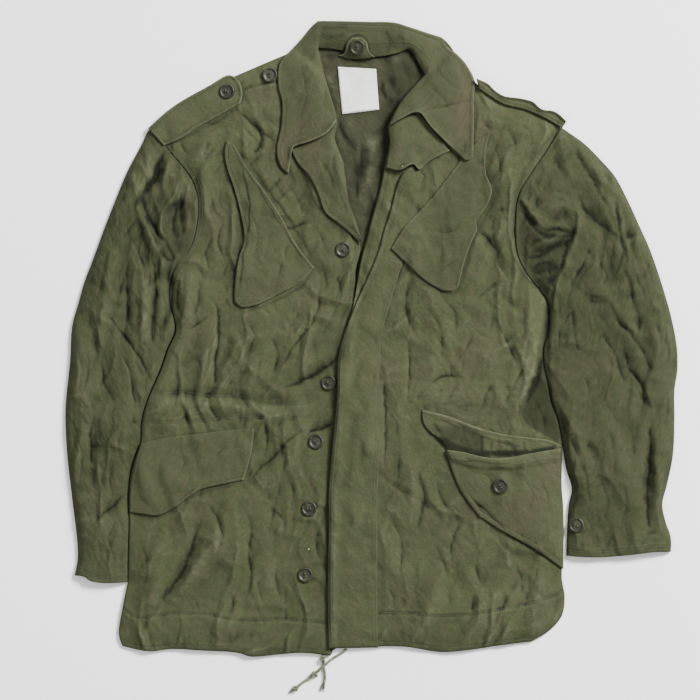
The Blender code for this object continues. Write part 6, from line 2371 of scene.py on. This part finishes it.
@dataclass
class Sleeves:
    """Both sleeves, each a flattened open tube.

    Attributes:
        height: Both layers and the air between them.
        edge: Height of the side fold.
        least: Lowest that the upper layer dips.
        reach: Width of the strip in which the sleeve rounds off.
        calm: Width of the strip in which creases fade.
        dip: Width of the strip in which the lowest dip is reached.
        fine: Fine steps for each coarse step.
        margin: Fine columns between a side fold and the side of the hollow inside.
        thin: Fine rows for each row of the hollow's faces.
        sparse: Fine columns for each column of the lower layer.
        hollow: Least height of the hollow's roof, and the height of its sides.
    """

    height: float = 9.0
    edge: float = 2.4
    least: float = 4.3
    reach: float = 26.0
    calm: float = 9.0
    dip: float = 12.0
    fine: tuple[int, int] = (12, 10)
    margin: int = 5
    thin: int = 4
    sparse: int = 5
    hollow: tuple[float, float] = (2.3, 2.15)

    def build(self, table: Table) -> None:
        """Lay both sleeves.

        Args:
            table: Where they are laid.
        """
        sewing = Sewing("stitches_sleeves")
        right = Cut(9, (Block(ARMHOLE_RIGHT, CUFF_RIGHT, ((SLEEVE_RIGHT_OUTER, 26),),
                              ((SIDE_RIGHT, 26),)),), self.fine)
        self.sleeve("sleeve_right", right, Look(31, crumple=1.7, strokes=14, sewn=(Rim.END,),
                                                lean=-0.05), table, sewing)
        left = Cut(9, (Block(ARMHOLE_LEFT, CUFF_LEFT, ((SLEEVE_LEFT_OUTER, 24),),
                             ((SIDE_LEFT, 14), (CUFF_VENT_LEFT, 10))),), self.fine)
        self.sleeve("sleeve_left", left, Look(37, crumple=1.7, strokes=12, sewn=(Rim.END,),
                                              lean=0.1), table, sewing)
        sewing.finish()

    def sleeve(self, name: str, cut: Cut, look: Look, table: Table, sewing: Sewing) -> None:
        """One sleeve, from its armhole to its cuff.

        Args:
            name: The node.
            cut: Its cut; its left and right edges are the side folds.
            look: How it is worked.
            table: Where it is laid.
            sewing: Where its stitches go.
        """
        plan = cut.fine()
        rows, columns = plan.shape[:2]
        worker = Worker(name, plan, look)
        worked = worker.worked().sample(plan)
        across = lengths(plan, 1)
        gap = np.minimum(across, across[:, -1:] - across)
        round_off = np.sqrt(np.clip(1 - (1 - np.minimum(gap / self.reach, 1)) ** 2, 0, 1))
        top = self.edge + (self.height - self.edge) * round_off
        top = top + worked * (0.25 + 0.75 * np.clip(gap / self.calm, 0, 1))
        floor = self.edge + (self.least - self.edge) * np.clip(gap / self.dip, 0, 1)
        top = np.maximum(top, floor)
        top[:, 0] = top[:, -1] = self.edge
        points = np.dstack([plan, top])
        inner = range(columns - self.sparse, self.sparse, -self.sparse)
        turn = [columns - 2, columns - 3, *inner, 4, 2, 1]
        low = {1: 0.8, 2: 0.2, columns - 2: 0.8, columns - 3: 0.2}
        under = np.array([low.get(k, 0.0) for k in turn])
        below = plan[:, turn]
        outer = np.concatenate(
            [points, np.dstack([below, np.broadcast_to(under, below.shape[:2])])], axis=1)
        margin = self.margin
        shrink = margin + np.arange(columns) * (columns - 1 - 2 * margin) / (columns - 1)
        whole = np.minimum(shrink.astype(int), columns - 2)
        part = (shrink - whole)[:, None]
        sunk = np.dstack([plan, lowest(top, margin)])
        near_by = sunk[:, whole] * (1 - part) + sunk[:, whole + 1] * part
        near_by[..., 2] = np.maximum(near_by[..., 2] - CORE * WALL, self.hollow[0])
        near_by[:, [0, -1], 2] = self.hollow[1]
        foot = near_by[:, turn].copy()
        foot[..., 2] = WALL
        inner_ring = np.concatenate([near_by, foot], axis=1)[::self.thin]
        around = outer.shape[1]
        every = np.concatenate([outer.reshape(-1, 3), inner_ring.reshape(-1, 3)])
        faces = self.rings(rows, around, 0).tolist()
        shift = rows * around
        faces += self.rings(len(inner_ring), around, shift)[:, ::-1].tolist()
        index = np.arange(around)
        for start, inside, turned in ((0, shift, False),
                                      ((rows - 1) * around, len(every) - around, True)):
            a, b = start + index, start + np.roll(index, -1)
            c, d = inside + np.roll(index, -1), inside + index
            ends = np.stack([a, b, c, d], axis=1)
            faces += (ends[:, ::-1] if turned else ends).tolist()
        faces = outward(every, faces)
        values = rubbing(points, look, worker.painted_shade_and_wear.sample(plan))
        padded = {k: np.zeros((rows, around)) for k in values}
        for k, value in values.items():
            padded[k][:, :columns] = value
        flat = np.dstack([np.concatenate([across, across[:, turn]], axis=1),
                          np.repeat(lengths(plan, 0)[:, columns // 2][:, None], around, axis=1)])
        flat = np.concatenate([flat.reshape(-1, 2), flat[::self.thin].reshape(-1, 2)]) / 1000
        made = mesh_object(
            "cloth_" + name, every, faces, Finish.SLEEVE,
            {k: np.concatenate([v.ravel(), np.zeros(inner_ring[..., 0].size)])
             for k, v in padded.items()}, flat)
        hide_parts(name)
        declare(points, 2)
        table.sleeves.add_cloth(points)
        for distance in (7.0, 12.0):
            sewing.along(inside_line(points, Rim.END, distance), table.sleeves)
        sewing.along(inside_line(points, Rim.START, 2.5), table.sleeves)

    @staticmethod
    def rings(rows: int, around: int, shift: int) -> Array:
        """Quads of a tube of closed rings.

        Args:
            rows: How many rings there are.
            around: Points of a ring.
            shift: The number of the first point.

        Returns:
            Four point numbers a quad.
        """
        index = np.arange(rows * around).reshape(rows, around) + shift
        after = np.roll(index, -1, axis=1)
        corners = index[:-1], index[1:], after[1:], after[:-1]
        return np.stack([corner.ravel() for corner in corners], axis=1)


@dataclass
class Pockets:
    """The pocket flaps, and the open lower pocket with the flap that is tucked into it.

    Attributes:
        belly: How far the open pocket fills out.
    """

    belly: float = 3.4

    def build(self, table: Table) -> None:
        """Lay the flaps and the pocket.

        Args:
            table: Where they are laid.
        """
        sewing = Sewing("stitches_pockets")
        every = (Rim.LEFT, Rim.RIGHT, Rim.END)
        plain = dict(crumple=0.7, strokes=9, calm=5, edge_wear=0.75, welt=0.32, inset=4.0, blur=2.0)
        # Columns: name, cut, look, relief, the front that it is sewn to.
        rows = (
            ("chest_flap_right",
             four_edged(CHEST_RIGHT_TOP, CHEST_RIGHT_BOTTOM, CHEST_RIGHT_HIND, CHEST_RIGHT_FORE,
                        6, 13, (10, 12)), Look(41, sewn=every, **plain), lying, "front_right"),
            ("lower_flap_right",
             four_edged(LOWER_RIGHT_TOP, LOWER_RIGHT_BOTTOM, LOWER_RIGHT_HIND, LOWER_RIGHT_FORE,
                        10, 6, (10, 10)), Look(43, sewn=every, **plain), lying, "front_right"),
            ("chest_flap_left",
             four_edged(CHEST_LEFT_TOP, CHEST_LEFT_BOTTOM, CHEST_LEFT_FORE, CHEST_LEFT_HIND,
                        6, 13, (10, 12)), Look(47, sewn=every, **plain), lying, "front_left"),
            ("lower_flap_left",
             four_edged(TUCKED_TOP, TUCKED_BOTTOM, TUCKED_FORE, TUCKED_HIND, 10, 4, (8, 10)),
             Look(53, sewn=(Rim.START, Rim.LEFT), **plain), lying, "front_left"),
            ("lower_pocket_left",
             four_edged(POCKET_MOUTH, POCKET_BOTTOM, POCKET_FORE, POCKET_HIND, 9, 9, (10, 10)),
             Look(59, sewn=(Rim.START, Rim.LEFT, Rim.END), **{**plain, "inset": 7.0}),
             bellied(self.belly), "front_left"),
        )
        for name, cut, look, relief, under in rows:
            points = table.lay(name, cut, look, relief, Finish.FLAP)
            sewing.edges(points, look.sewn, look.inset, table.body)
        sewing.finish()


@dataclass
class Collar:
    """Lapels, upper collar and neck tab.

    Attributes:
        leaf: How high a collar leaf stands along its roll.
        right_lapel: The same of the right lapel.
        left_lapel: The same of the left lapel.
        band_edge: How high the band stands off the neck seam at its edges.
        band_roll: How much higher it is in its middle.
        steps: Coarse steps down a leaf, and along the band.
    """

    leaf: float = 6.0
    right_lapel: float = 4.0
    left_lapel: float = 3.4
    band_edge: float = 1.5
    band_roll: float = 6.0
    steps: tuple[int, int] = (9, 11)

    def relief(self, grid: Array) -> Array:
        """A leaf is high along its roll, and the band behind the neck is high in its middle.

        Args:
            grid: The collar's coarse grid.

        Returns:
            Height at each of its points.
        """
        rows, columns = grid.shape[:2]
        down = self.steps[0]
        band = self.band_edge + self.band_roll * np.sin(np.pi * np.linspace(0, 1, columns)) ** 0.8
        row = np.arange(rows)
        blend = np.clip(np.minimum(row - down + 1, rows - down - row) / 2, 0, 1)[:, None]
        return rolled(self.leaf)(grid) * (1 - blend) + band[None] * blend

    def build(self, table: Table) -> None:
        """Lay the lapels, the collar and the tab.

        Args:
            table: Where they are laid.
        """
        sewing = Sewing("stitches_collar")
        plain = dict(crumple=0.6, strokes=8, calm=5, edge_wear=0.9, welt=0.3, inset=4.5, blur=3.0)
        look = Look(61, sewn=(Rim.RIGHT,), **plain)
        cut = four_edged(LAPEL_RIGHT_GORGE, LAPEL_RIGHT_TIP, LAPEL_RIGHT_ROLL, LAPEL_RIGHT_EDGE,
                         6, 11, (10, 10))
        lapel = table.lay("lapel_right", cut, look, rolled(self.right_lapel), Finish.COLLAR)
        sewing.edges(lapel, look.sewn, look.inset, table.body)
        look = Look(67, sewn=(Rim.RIGHT, Rim.END), **plain)
        cut = four_edged(LAPEL_LEFT_GORGE, LAPEL_LEFT_EDGE, LAPEL_LEFT_ROLL, LAPEL_LEFT_NOTCH,
                         6, 6, (10, 10))
        lapel = table.lay("lapel_left", cut, look, rolled(self.left_lapel), Finish.COLLAR)
        sewing.edges(lapel, look.sewn, look.inset, table.body)

        neck_right, neck_left = (BAND_INNER[0], BAND_OUTER[0]), (BAND_INNER[-1], BAND_OUTER[-1])
        down, along = self.steps
        blocks = (
            Block(LEAF_RIGHT_END, neck_right, ((LEAF_RIGHT_INNER, down),),
                  ((LEAF_RIGHT_OUTER, down),)),
            Block(neck_right, neck_left, ((BAND_INNER, along),), ((BAND_OUTER, along),)),
            Block(neck_left, LEAF_LEFT_END, ((LEAF_LEFT_INNER, down),),
                  ((LEAF_LEFT_OUTER, down),)),
        )
        look = Look(71, sewn=(Rim.START, Rim.RIGHT, Rim.END), **plain)
        collar = table.lay("collar", Cut(6, blocks, (10, 10)), look, self.relief, Finish.COLLAR)
        sewing.edges(collar, look.sewn, look.inset, table.body)

        look = Look(73, sewn=(Rim.LEFT, Rim.START, Rim.RIGHT), **{**plain, "inset": 3.0,
                                                                  "crumple": 0.2, "strokes": 3})
        cut = four_edged(TAB_TOP, TAB_BOTTOM, TAB_FORE, TAB_HIND, 4, 4, (6, 6))
        tab = table.lay("neck_tab", cut, look, lying, Finish.COLLAR)
        sewing.edges(tab, (Rim.LEFT,), look.inset, table.body, SMALL_STITCH)
        sewing.finish()


@dataclass
class Straps:
    """Shoulder straps, over the shoulder and the head of the sleeve.

    Attributes:
        left_rise: How high the left strap's upper edge stands.
    """

    left_rise: float = 8.5

    def build(self, table: Table) -> None:
        """Lay both straps.

        Args:
            table: Where they are laid.
        """
        sewing = Sewing("stitches_straps")
        pile = table.both()
        plain = dict(crumple=0.4, strokes=5, calm=4, edge_wear=0.7, welt=0.5, inset=4.0, blur=3.0)
        sides = (Rim.START, Rim.LEFT, Rim.RIGHT, Rim.END)
        cut = four_edged(STRAP_RIGHT_OUT, STRAP_RIGHT_IN, STRAP_RIGHT_UPPER, STRAP_RIGHT_LOWER,
                         4, 9, (8, 10))
        points = table.lay("strap_right", cut, Look(79, sewn=sides, **plain), lying, Finish.FLAP,
                           pile)
        sewing.edges(points, sides[1:], plain["inset"], table.body)
        cut = four_edged(STRAP_LEFT_IN, STRAP_LEFT_OUT, STRAP_LEFT_UPPER, STRAP_LEFT_LOWER,
                         3, 12, (6, 8))
        look = Look(83, sewn=(Rim.LEFT, Rim.RIGHT), **{**plain, "inset": 3.0})
        points = table.lay("strap_left", cut, look, standing(self.left_rise), Finish.FLAP,
                           pile)
        sewing.edges(points, (Rim.LEFT,), look.inset, table.body)
        sewing.finish()


@dataclass
class Label:
    """A bare woven label on the inside of the back.

    Attributes:
        wall: Its thickness.
    """

    wall: float = 1.0

    def build(self, table: Table) -> None:
        """Lay the label.

        Args:
            table: Where it is laid.
        """
        look = Look(89, crumple=0.35, strokes=3, calm=2, edge_wear=0.5, blur=3.0)
        cut = four_edged(LABEL_TOP, LABEL_BOTTOM, LABEL_SIDE, LABEL_FAR_SIDE, 3, 3, (14, 14))
        points = table.lay("label", cut, look, lying, Finish.TAPE, wall=self.wall)
        sewing = Sewing("stitches_label")
        sewing.edges(points, Rim, 1.6, table.body, SMALL_STITCH)
        sewing.finish()


def tube(line: Array, radius: Array, sides: int, braid: float = 0.0,
         turns: float = 0.0) -> tuple[Array, list[Any]]:
    """A closed tube along a line.

    Args:
        line: Points of its middle line, in mm.
        radius: Its radius at each point.
        sides: Points round it.
        braid: How much its strands stand out, as a share of its radius.
        turns: Braids to a millimetre.

    Returns:
        Points and faces.
    """
    ahead = np.gradient(line, axis=0)
    ahead /= np.maximum(np.linalg.norm(ahead, axis=1, keepdims=True), TINY)
    first = np.cross(ahead[0], (0.13, 0.2, 1.0))
    sides_of = [first / np.linalg.norm(first)]
    for step in ahead[1:]:
        turned = sides_of[-1] - step * float(sides_of[-1] @ step)
        sides_of.append(turned / np.linalg.norm(turned))
    one = np.array(sides_of)
    two = np.cross(ahead, one)
    run = run_along(line)
    angle = 2 * math.pi * np.arange(sides) / sides
    left = np.cos(3 * angle[None] + 2 * math.pi * turns * run[:, None])
    right = np.cos(3 * angle[None] - 2 * math.pi * turns * run[:, None])
    size = radius[:, None] * (1 + braid * np.maximum(left, right) - braid)
    rings = line[:, None] + size[..., None] * (
        np.cos(angle)[None, :, None] * one[:, None] + np.sin(angle)[None, :, None] * two[:, None])
    points = np.concatenate([rings.reshape(-1, 3), line[:1], line[-1:]])
    count = len(line) * sides
    faces = Sleeves.rings(len(line), sides, 0).tolist()
    last = count - sides
    faces += [[count, (k + 1) % sides, k] for k in range(sides)]
    faces += [[count + 1, last + k, last + (k + 1) % sides] for k in range(sides)]
    faces = [face if len(face) == 4 else face[::-1] for face in faces]
    return points, outward(points, faces)


def gathered(parts: Iterable[tuple[Array, list[Any]]]) -> tuple[Array, list[Any]]:
    """Several closed meshes as one.

    Args:
        parts: Points and faces of each.

    Returns:
        Points and faces of all of them.
    """
    points: list[Array] = []
    faces: list[Any] = []
    shift = 0
    for some, their in parts:
        points.append(some)
        faces += [[k + shift for k in face] for face in their]
        shift += len(some)
    return np.concatenate(points), faces


@dataclass
class Drawstring:
    """Both free ends of the hem's drawstring, with their knots.

    Attributes:
        radius: The cord's.
        low: Height of its middle line where it lies on the table.
        over: How much higher it is where one end crosses the other.
        crossing: Where that is.
        hump: How far from there it starts to come down, and how long that takes.
        knots: Each knot's node, middle, length, width, height and turn.
    """

    radius: float = 1.9
    low: float = 2.0
    over: float = 4.1
    crossing: tuple[float, float] = (-62.6, -436.0)
    hump: tuple[float, float] = (3.0, 17.0)
    knots: tuple[tuple[str, float, float, float, float, float, float], ...] = (
        ("knot_a", -64.6, -427.2, 9.0, 11.0, 7.0, 0.3),
        ("knot_b", -76.4, -448.1, 10.6, 10.6, 7.0, 1.2),
        ("knot_b_end", -100.7, -466.0, 9.0, 9.0, 6.0, 2.2),
    )

    def knot(self, node: str, x: float, y: float, length: float, width: float, height: float,
             turn: float) -> Any:
        """A pulled-tight knot: one strand that goes over and under itself three times.

        Args:
            node: The node that it stands for.
            x: Its middle.
            y: Its middle.
            length: Its length.
            width: Its width.
            height: Its height.
            turn: How far it is turned, in radians.

        Returns:
            The object.
        """
        t = np.linspace(0, 2 * math.pi, 121)
        loop = np.stack([np.sin(t) + 2 * np.sin(2 * t), np.cos(t) - 2 * np.cos(2 * t),
                         -1.25 * np.sin(3 * t)], axis=1)
        loop[:, :2] = loop[:, :2] @ np.array([[math.cos(turn), math.sin(turn)],
                                              [-math.sin(turn), math.cos(turn)]])
        thick = 0.78 * self.radius
        room = np.array([length, width, height]) / 2 - thick
        loop = loop / np.abs(loop).max(axis=0) * room
        loop += (x, y, height / 2 + 0.1)
        points, faces = tube(loop, np.full(len(loop), thick), 14, 0.08, 0.4)
        made = mesh_object("drawstring_" + node, points, faces, Finish.CORD)
        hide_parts(node)
        return made

    def strand(self, name: str, line: Array) -> Any:
        """One braided strand.

        Args:
            name: The piece's name.
            line: Points that it runs through.

        Returns:
            The object.
        """
        dense = even(line.tolist(), int(len(line) * 12))
        radius = np.full(len(dense), self.radius)
        points, faces = tube(dense, radius, 18, 0.07, 0.22)
        return mesh_object(name, points, faces, Finish.CORD)

    def fray(self, name: str, at: Array, towards: Array, count: int, seed: int) -> Any:
        """Loose yarns at a cut end.

        Args:
            name: The piece's name.
            at: Where they start.
            towards: Where the middle one ends.
            count: How many there are.
            seed: Which of the random draws they take.

        Returns:
            The object.
        """
        rng = np.random.default_rng(seed)
        parts = []
        for _ in range(count):
            start = at + rng.normal(0, 0.7, 3)
            tip = towards + rng.normal(0, 1, 3) * (2.6, 1.6, 0.4)
            middle = (start + tip) / 2 + rng.normal(0, 0.8, 3)
            line = np.array([start, middle, tip])
            line[:, 2] = np.clip(line[:, 2], 0.5, 4.0)
            line = even(line.tolist(), 8)
            parts.append(tube(line, np.linspace(0.42, 0.16, len(line)), 5))
        points, faces = gathered(parts)
        return mesh_object(name, points, faces, Finish.CORD)

    def build(self) -> None:
        """Make both ends."""
        knots = {row[0]: self.knot(*row) for row in self.knots}
        first = np.array([(-64.8, -421.0), (-64.6, -427.2), *CORD_A], float)
        route = even(first.tolist(), 20)
        line = np.column_stack([route, np.full(len(route), self.low)])
        fray = self.fray("drawstring_fray_a", line[-1], line[-1] + (-3.5, -11.0, -0.8), 16, 5)
        made = self.strand("drawstring_a", line)
        self.declare(made, line, "bare", [knots["knot_a"], fray], ("cord_a",))

        flat = [*CORD_B, (-76.4, -448.1), *CORD_B2, (-100.7, -466.0)]
        route = even(flat, 34)
        away = np.linalg.norm(route - self.crossing, axis=1)
        near_by, fall = self.hump
        rise = 0.5 + 0.5 * np.cos(np.pi * np.clip((away - near_by) / fall, 0, 1))
        line = np.column_stack([route, self.low + self.over * rise])
        fray = self.fray("drawstring_fray_b", line[-1] + (-3.2, -2.2, 0),
                         line[-1] + (-8.0, -6.5, -1.0), 12, 9)
        made = self.strand("drawstring_b", line)
        self.declare(made, line, "knot", [knots["knot_b"], knots["knot_b_end"], fray],
                     ("cord_b", "cord_b_end"))

    def declare(self, piece: Any, line: Array, far_end: str, others: list[Any],
                nodes: tuple[str, ...]) -> None:
        """Hide the nodes that a strand stands for.

        Args:
            line: Its middle line, from the hem outwards; not used.
            far_end: What its far end is; not used.
            others: The pieces on it; not used.
            nodes: The nodes that it stands for.
        """
        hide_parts(*nodes)


def pick(made: Any) -> None:
    """Make an object the only one selected, and the active one.

    Args:
        made: The object.
    """
    bpy.ops.object.select_all(action="DESELECT")
    made.select_set(True)
    bpy.context.view_layer.objects.active = made


@dataclass
class Buttons:
    """Moulded buttons with four holes, and their thread.

    Attributes:
        radius: A button's.
        depth: Its thickness under the rim.
        hole: A hole's radius.
        spread: Distance of a hole from the middle, each way.
        face: Thickness and push of each inset of the upper face, from the rim to the middle.
        foot: The same of the lower face.
        bar: Height of a thread at a hole, beside it and midway between two.
        lift: How far a button stands off the cloth.
        seat: Radius of the round of cloth that a button rests on.
        tilt: How much the cloth tilts it at most, as a slope.
        thread: A thread's radius, and its distance from the middle of a hole.
    """

    radius: float = 10.0
    depth: float = 2.2
    hole: float = 1.05
    spread: float = 1.75
    face: tuple[tuple[float, float], ...] = (
        (0.55, 0.75), (0.45, 0.28), (0.9, 0.0), (0.5, -0.28), (0.9, -0.95), (0.6, -0.12),
        (1.4, 0.0), (0.5, 0.12),
    )
    foot: tuple[tuple[float, float], ...] = ((0.8, 0.5), (1.2, 0.1))
    bar: tuple[float, float, float] = (1.6, 2.75, 3.0)
    lift: float = 0.5
    seat: float = 8.0
    tilt: float = 0.16
    thread: tuple[float, float] = (0.34, 0.35)

    def model(self) -> Any:
        """One button at the origin, in mm: a disc with a raised rim and a dished face.

        Returns:
            Its mesh.
        """
        bpy.ops.object.select_all(action="DESELECT")
        bpy.ops.mesh.primitive_cylinder_add(vertices=44, radius=self.radius, depth=self.depth,
                                            end_fill_type="NGON", location=(0, 0, self.depth / 2))
        made = bpy.context.object
        self.inset(made, 1.0, self.face)
        self.inset(made, -1.0, self.foot)
        for k in range(4):
            spot = [self.spread * (1 if k & 1 else -1), self.spread * (1 if k & 2 else -1), 1.5]
            bpy.ops.object.select_all(action="DESELECT")
            bpy.ops.mesh.primitive_cylinder_add(vertices=14, radius=self.hole, depth=8,
                                                location=spot)
            drill = bpy.context.object
            cut = made.modifiers.new("hole", "BOOLEAN")
            cut.operation, cut.solver, cut.object = "DIFFERENCE", "EXACT", drill
            pick(made)
            bpy.ops.object.modifier_apply(modifier=cut.name)
            bpy.data.objects.remove(drill)
        mesh = made.data
        bpy.data.objects.remove(made)
        return mesh

    @staticmethod
    def inset(made: Any, way: float, steps: Sequence[tuple[float, float]]) -> None:
        """Inset and push one of a disc's faces.

        Args:
            made: The object.
            way: 1 for its upper face, -1 for its lower.
            steps: Thickness and push of each inset.
        """
        bpy.ops.object.mode_set(mode="EDIT")
        bpy.ops.mesh.select_all(action="DESELECT")
        bpy.ops.object.mode_set(mode="OBJECT")
        for face in made.data.polygons:
            face.select = face.normal.z * way > 0.9
        bpy.ops.object.mode_set(mode="EDIT")
        bpy.ops.mesh.select_mode(type="FACE")
        for thickness, push in steps:
            bpy.ops.mesh.inset(thickness=thickness, depth=push)
        bpy.ops.object.mode_set(mode="OBJECT")

    def build(self, table: Table) -> None:
        """Set every button on the cloth under it.

        Args:
            table: What they rest on.
        """
        model = self.model()
        verts = np.empty(len(model.vertices) * 3)
        model.vertices.foreach_get("co", verts)
        verts = verts.reshape(-1, 3)
        pile = Heights()
        pile.cells = np.maximum(table.both().cells, 0)
        rng = np.random.default_rng(97)
        threads = []
        for name, x, y in BUTTONS:
            ring = np.array([(x + self.seat * math.cos(a), y + self.seat * math.sin(a))
                             for a in np.linspace(0, 2 * math.pi, 13)[:-1]])
            around = pile.sample(ring)
            tilt = np.linalg.lstsq(np.column_stack([ring - (x, y), np.ones(12)]), around,
                                   rcond=None)[0]
            tilt[:2] = np.clip(tilt[:2], -self.tilt, self.tilt)
            plane = (ring - (x, y)) @ tilt[:2]
            rest = float((around - plane).mean()) + self.lift
            yaw = rng.uniform(0, math.pi / 2)
            turn = np.array([[math.cos(yaw), math.sin(yaw)], [-math.sin(yaw), math.cos(yaw)]])

            def placed(points: Array) -> Array:
                """Points of the model, set on the cloth."""
                flat = points[:, :2] @ turn
                rise = rest + points[:, 2] + flat @ tilt[:2]
                return np.column_stack([flat + (x, y), rise])

            mesh = model.copy()
            mesh.name = "button_" + name
            mesh.vertices.foreach_set("co", metres(placed(verts)).ravel())
            mesh.materials.clear()
            mesh.materials.append(finish_of(Finish.BUTTON))
            made = bpy.data.objects.new("button_" + name, mesh)
            bpy.context.scene.collection.objects.link(made)
            pick(made)
            bpy.ops.object.shade_smooth_by_angle(angle=math.radians(35))
            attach(made, "root")
            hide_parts(name)
            s = self.spread
            low, high, top = self.bar
            thick, apart = self.thread
            for side in (-s, s):
                for aside in (-apart, apart):
                    y_of = side + aside
                    bar = [(-s, y_of, low), (-0.8 * s, y_of, high), (0, y_of, top),
                           (0.8 * s, y_of, high), (s, y_of, low)]
                    threads.append(tube(placed(even(bar, 10)), np.full(11, thick), 6))
        points, faces = gathered(threads)
        mesh_object("button_threads", points, faces, Finish.SEWING)
        log.info("buttons: %d", len(BUTTONS))


@dataclass
class Studio:
    """Camera, lights and table.

    Attributes:
        middle: Where the camera looks, in metres.
        distance: How high it hangs.
        width: Width of the view on the table.
    """

    middle: tuple[float, float] = (-0.0287, -0.0155)
    distance: float = 6.0
    width: float = 0.931

    def camera(self) -> None:
        """Hang the camera straight above the table."""
        lens = bpy.data.cameras.new("camera_above")
        lens.sensor_width = 36.0
        lens.lens = 36.0 * self.distance / self.width
        lens.clip_end = 30.0
        made = bpy.data.objects.new("camera_above", lens)
        made.location = (*self.middle, self.distance)
        bpy.context.scene.collection.objects.link(made)
        bpy.context.scene.camera = made

    def light(self, name: str, place: tuple[float, float, float], size: float,
              energy: float) -> None:
        """A square lamp aimed at the jacket's middle.

        Args:
            name: Its name.
            place: Where it hangs.
            size: Its side.
            energy: Its power in watts.
        """
        lamp = bpy.data.lights.new(name, "AREA")
        lamp.shape, lamp.size, lamp.energy = "SQUARE", size, energy
        made = bpy.data.objects.new(name, lamp)
        x, y, z = place
        made.location = place
        made.rotation_euler = (math.acos(z / math.sqrt(x * x + y * y + z * z)), 0,
                               math.atan2(y, x) + math.pi / 2)
        bpy.context.scene.collection.objects.link(made)

    def table(self) -> None:
        """A plain pale table."""
        bpy.ops.object.select_all(action="DESELECT")
        bpy.ops.mesh.primitive_plane_add(size=9.0, location=(0, 0, 0))
        made = bpy.context.object
        made.name = "table_top"
        made.data.materials.append(finish_of(Finish.TABLE))

    def build(self) -> None:
        """Set up everything."""
        self.camera()
        self.light("lamp_key", (3.6, 3.0, 3.3), 1.7, 1160.0)
        self.light("lamp_fill", (-2.4, -0.6, 3.4), 2.4, 42.0)
        world = bpy.data.worlds.new("soft_room")
        world.use_nodes = True
        world.node_tree.nodes["Background"].inputs["Color"].default_value = (1, 1, 1, 1)
        world.node_tree.nodes["Background"].inputs["Strength"].default_value = 0.74
        bpy.context.scene.world = world


def main() -> None:
    """Load the frame, and build the jacket from the table up."""
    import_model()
    studio = Studio()
    studio.build()
    Drawstring().build()
    studio.table()
    table = Table()
    body = Body()
    body.under_collar(table)
    body.back(table)
    Sleeves().build(table)
    Label().build(table)
    body.build(table)
    Pockets().build(table)
    Collar().build(table)
    Straps().build(table)
    Buttons().build(table)


if __name__ == "__main__":
    main()
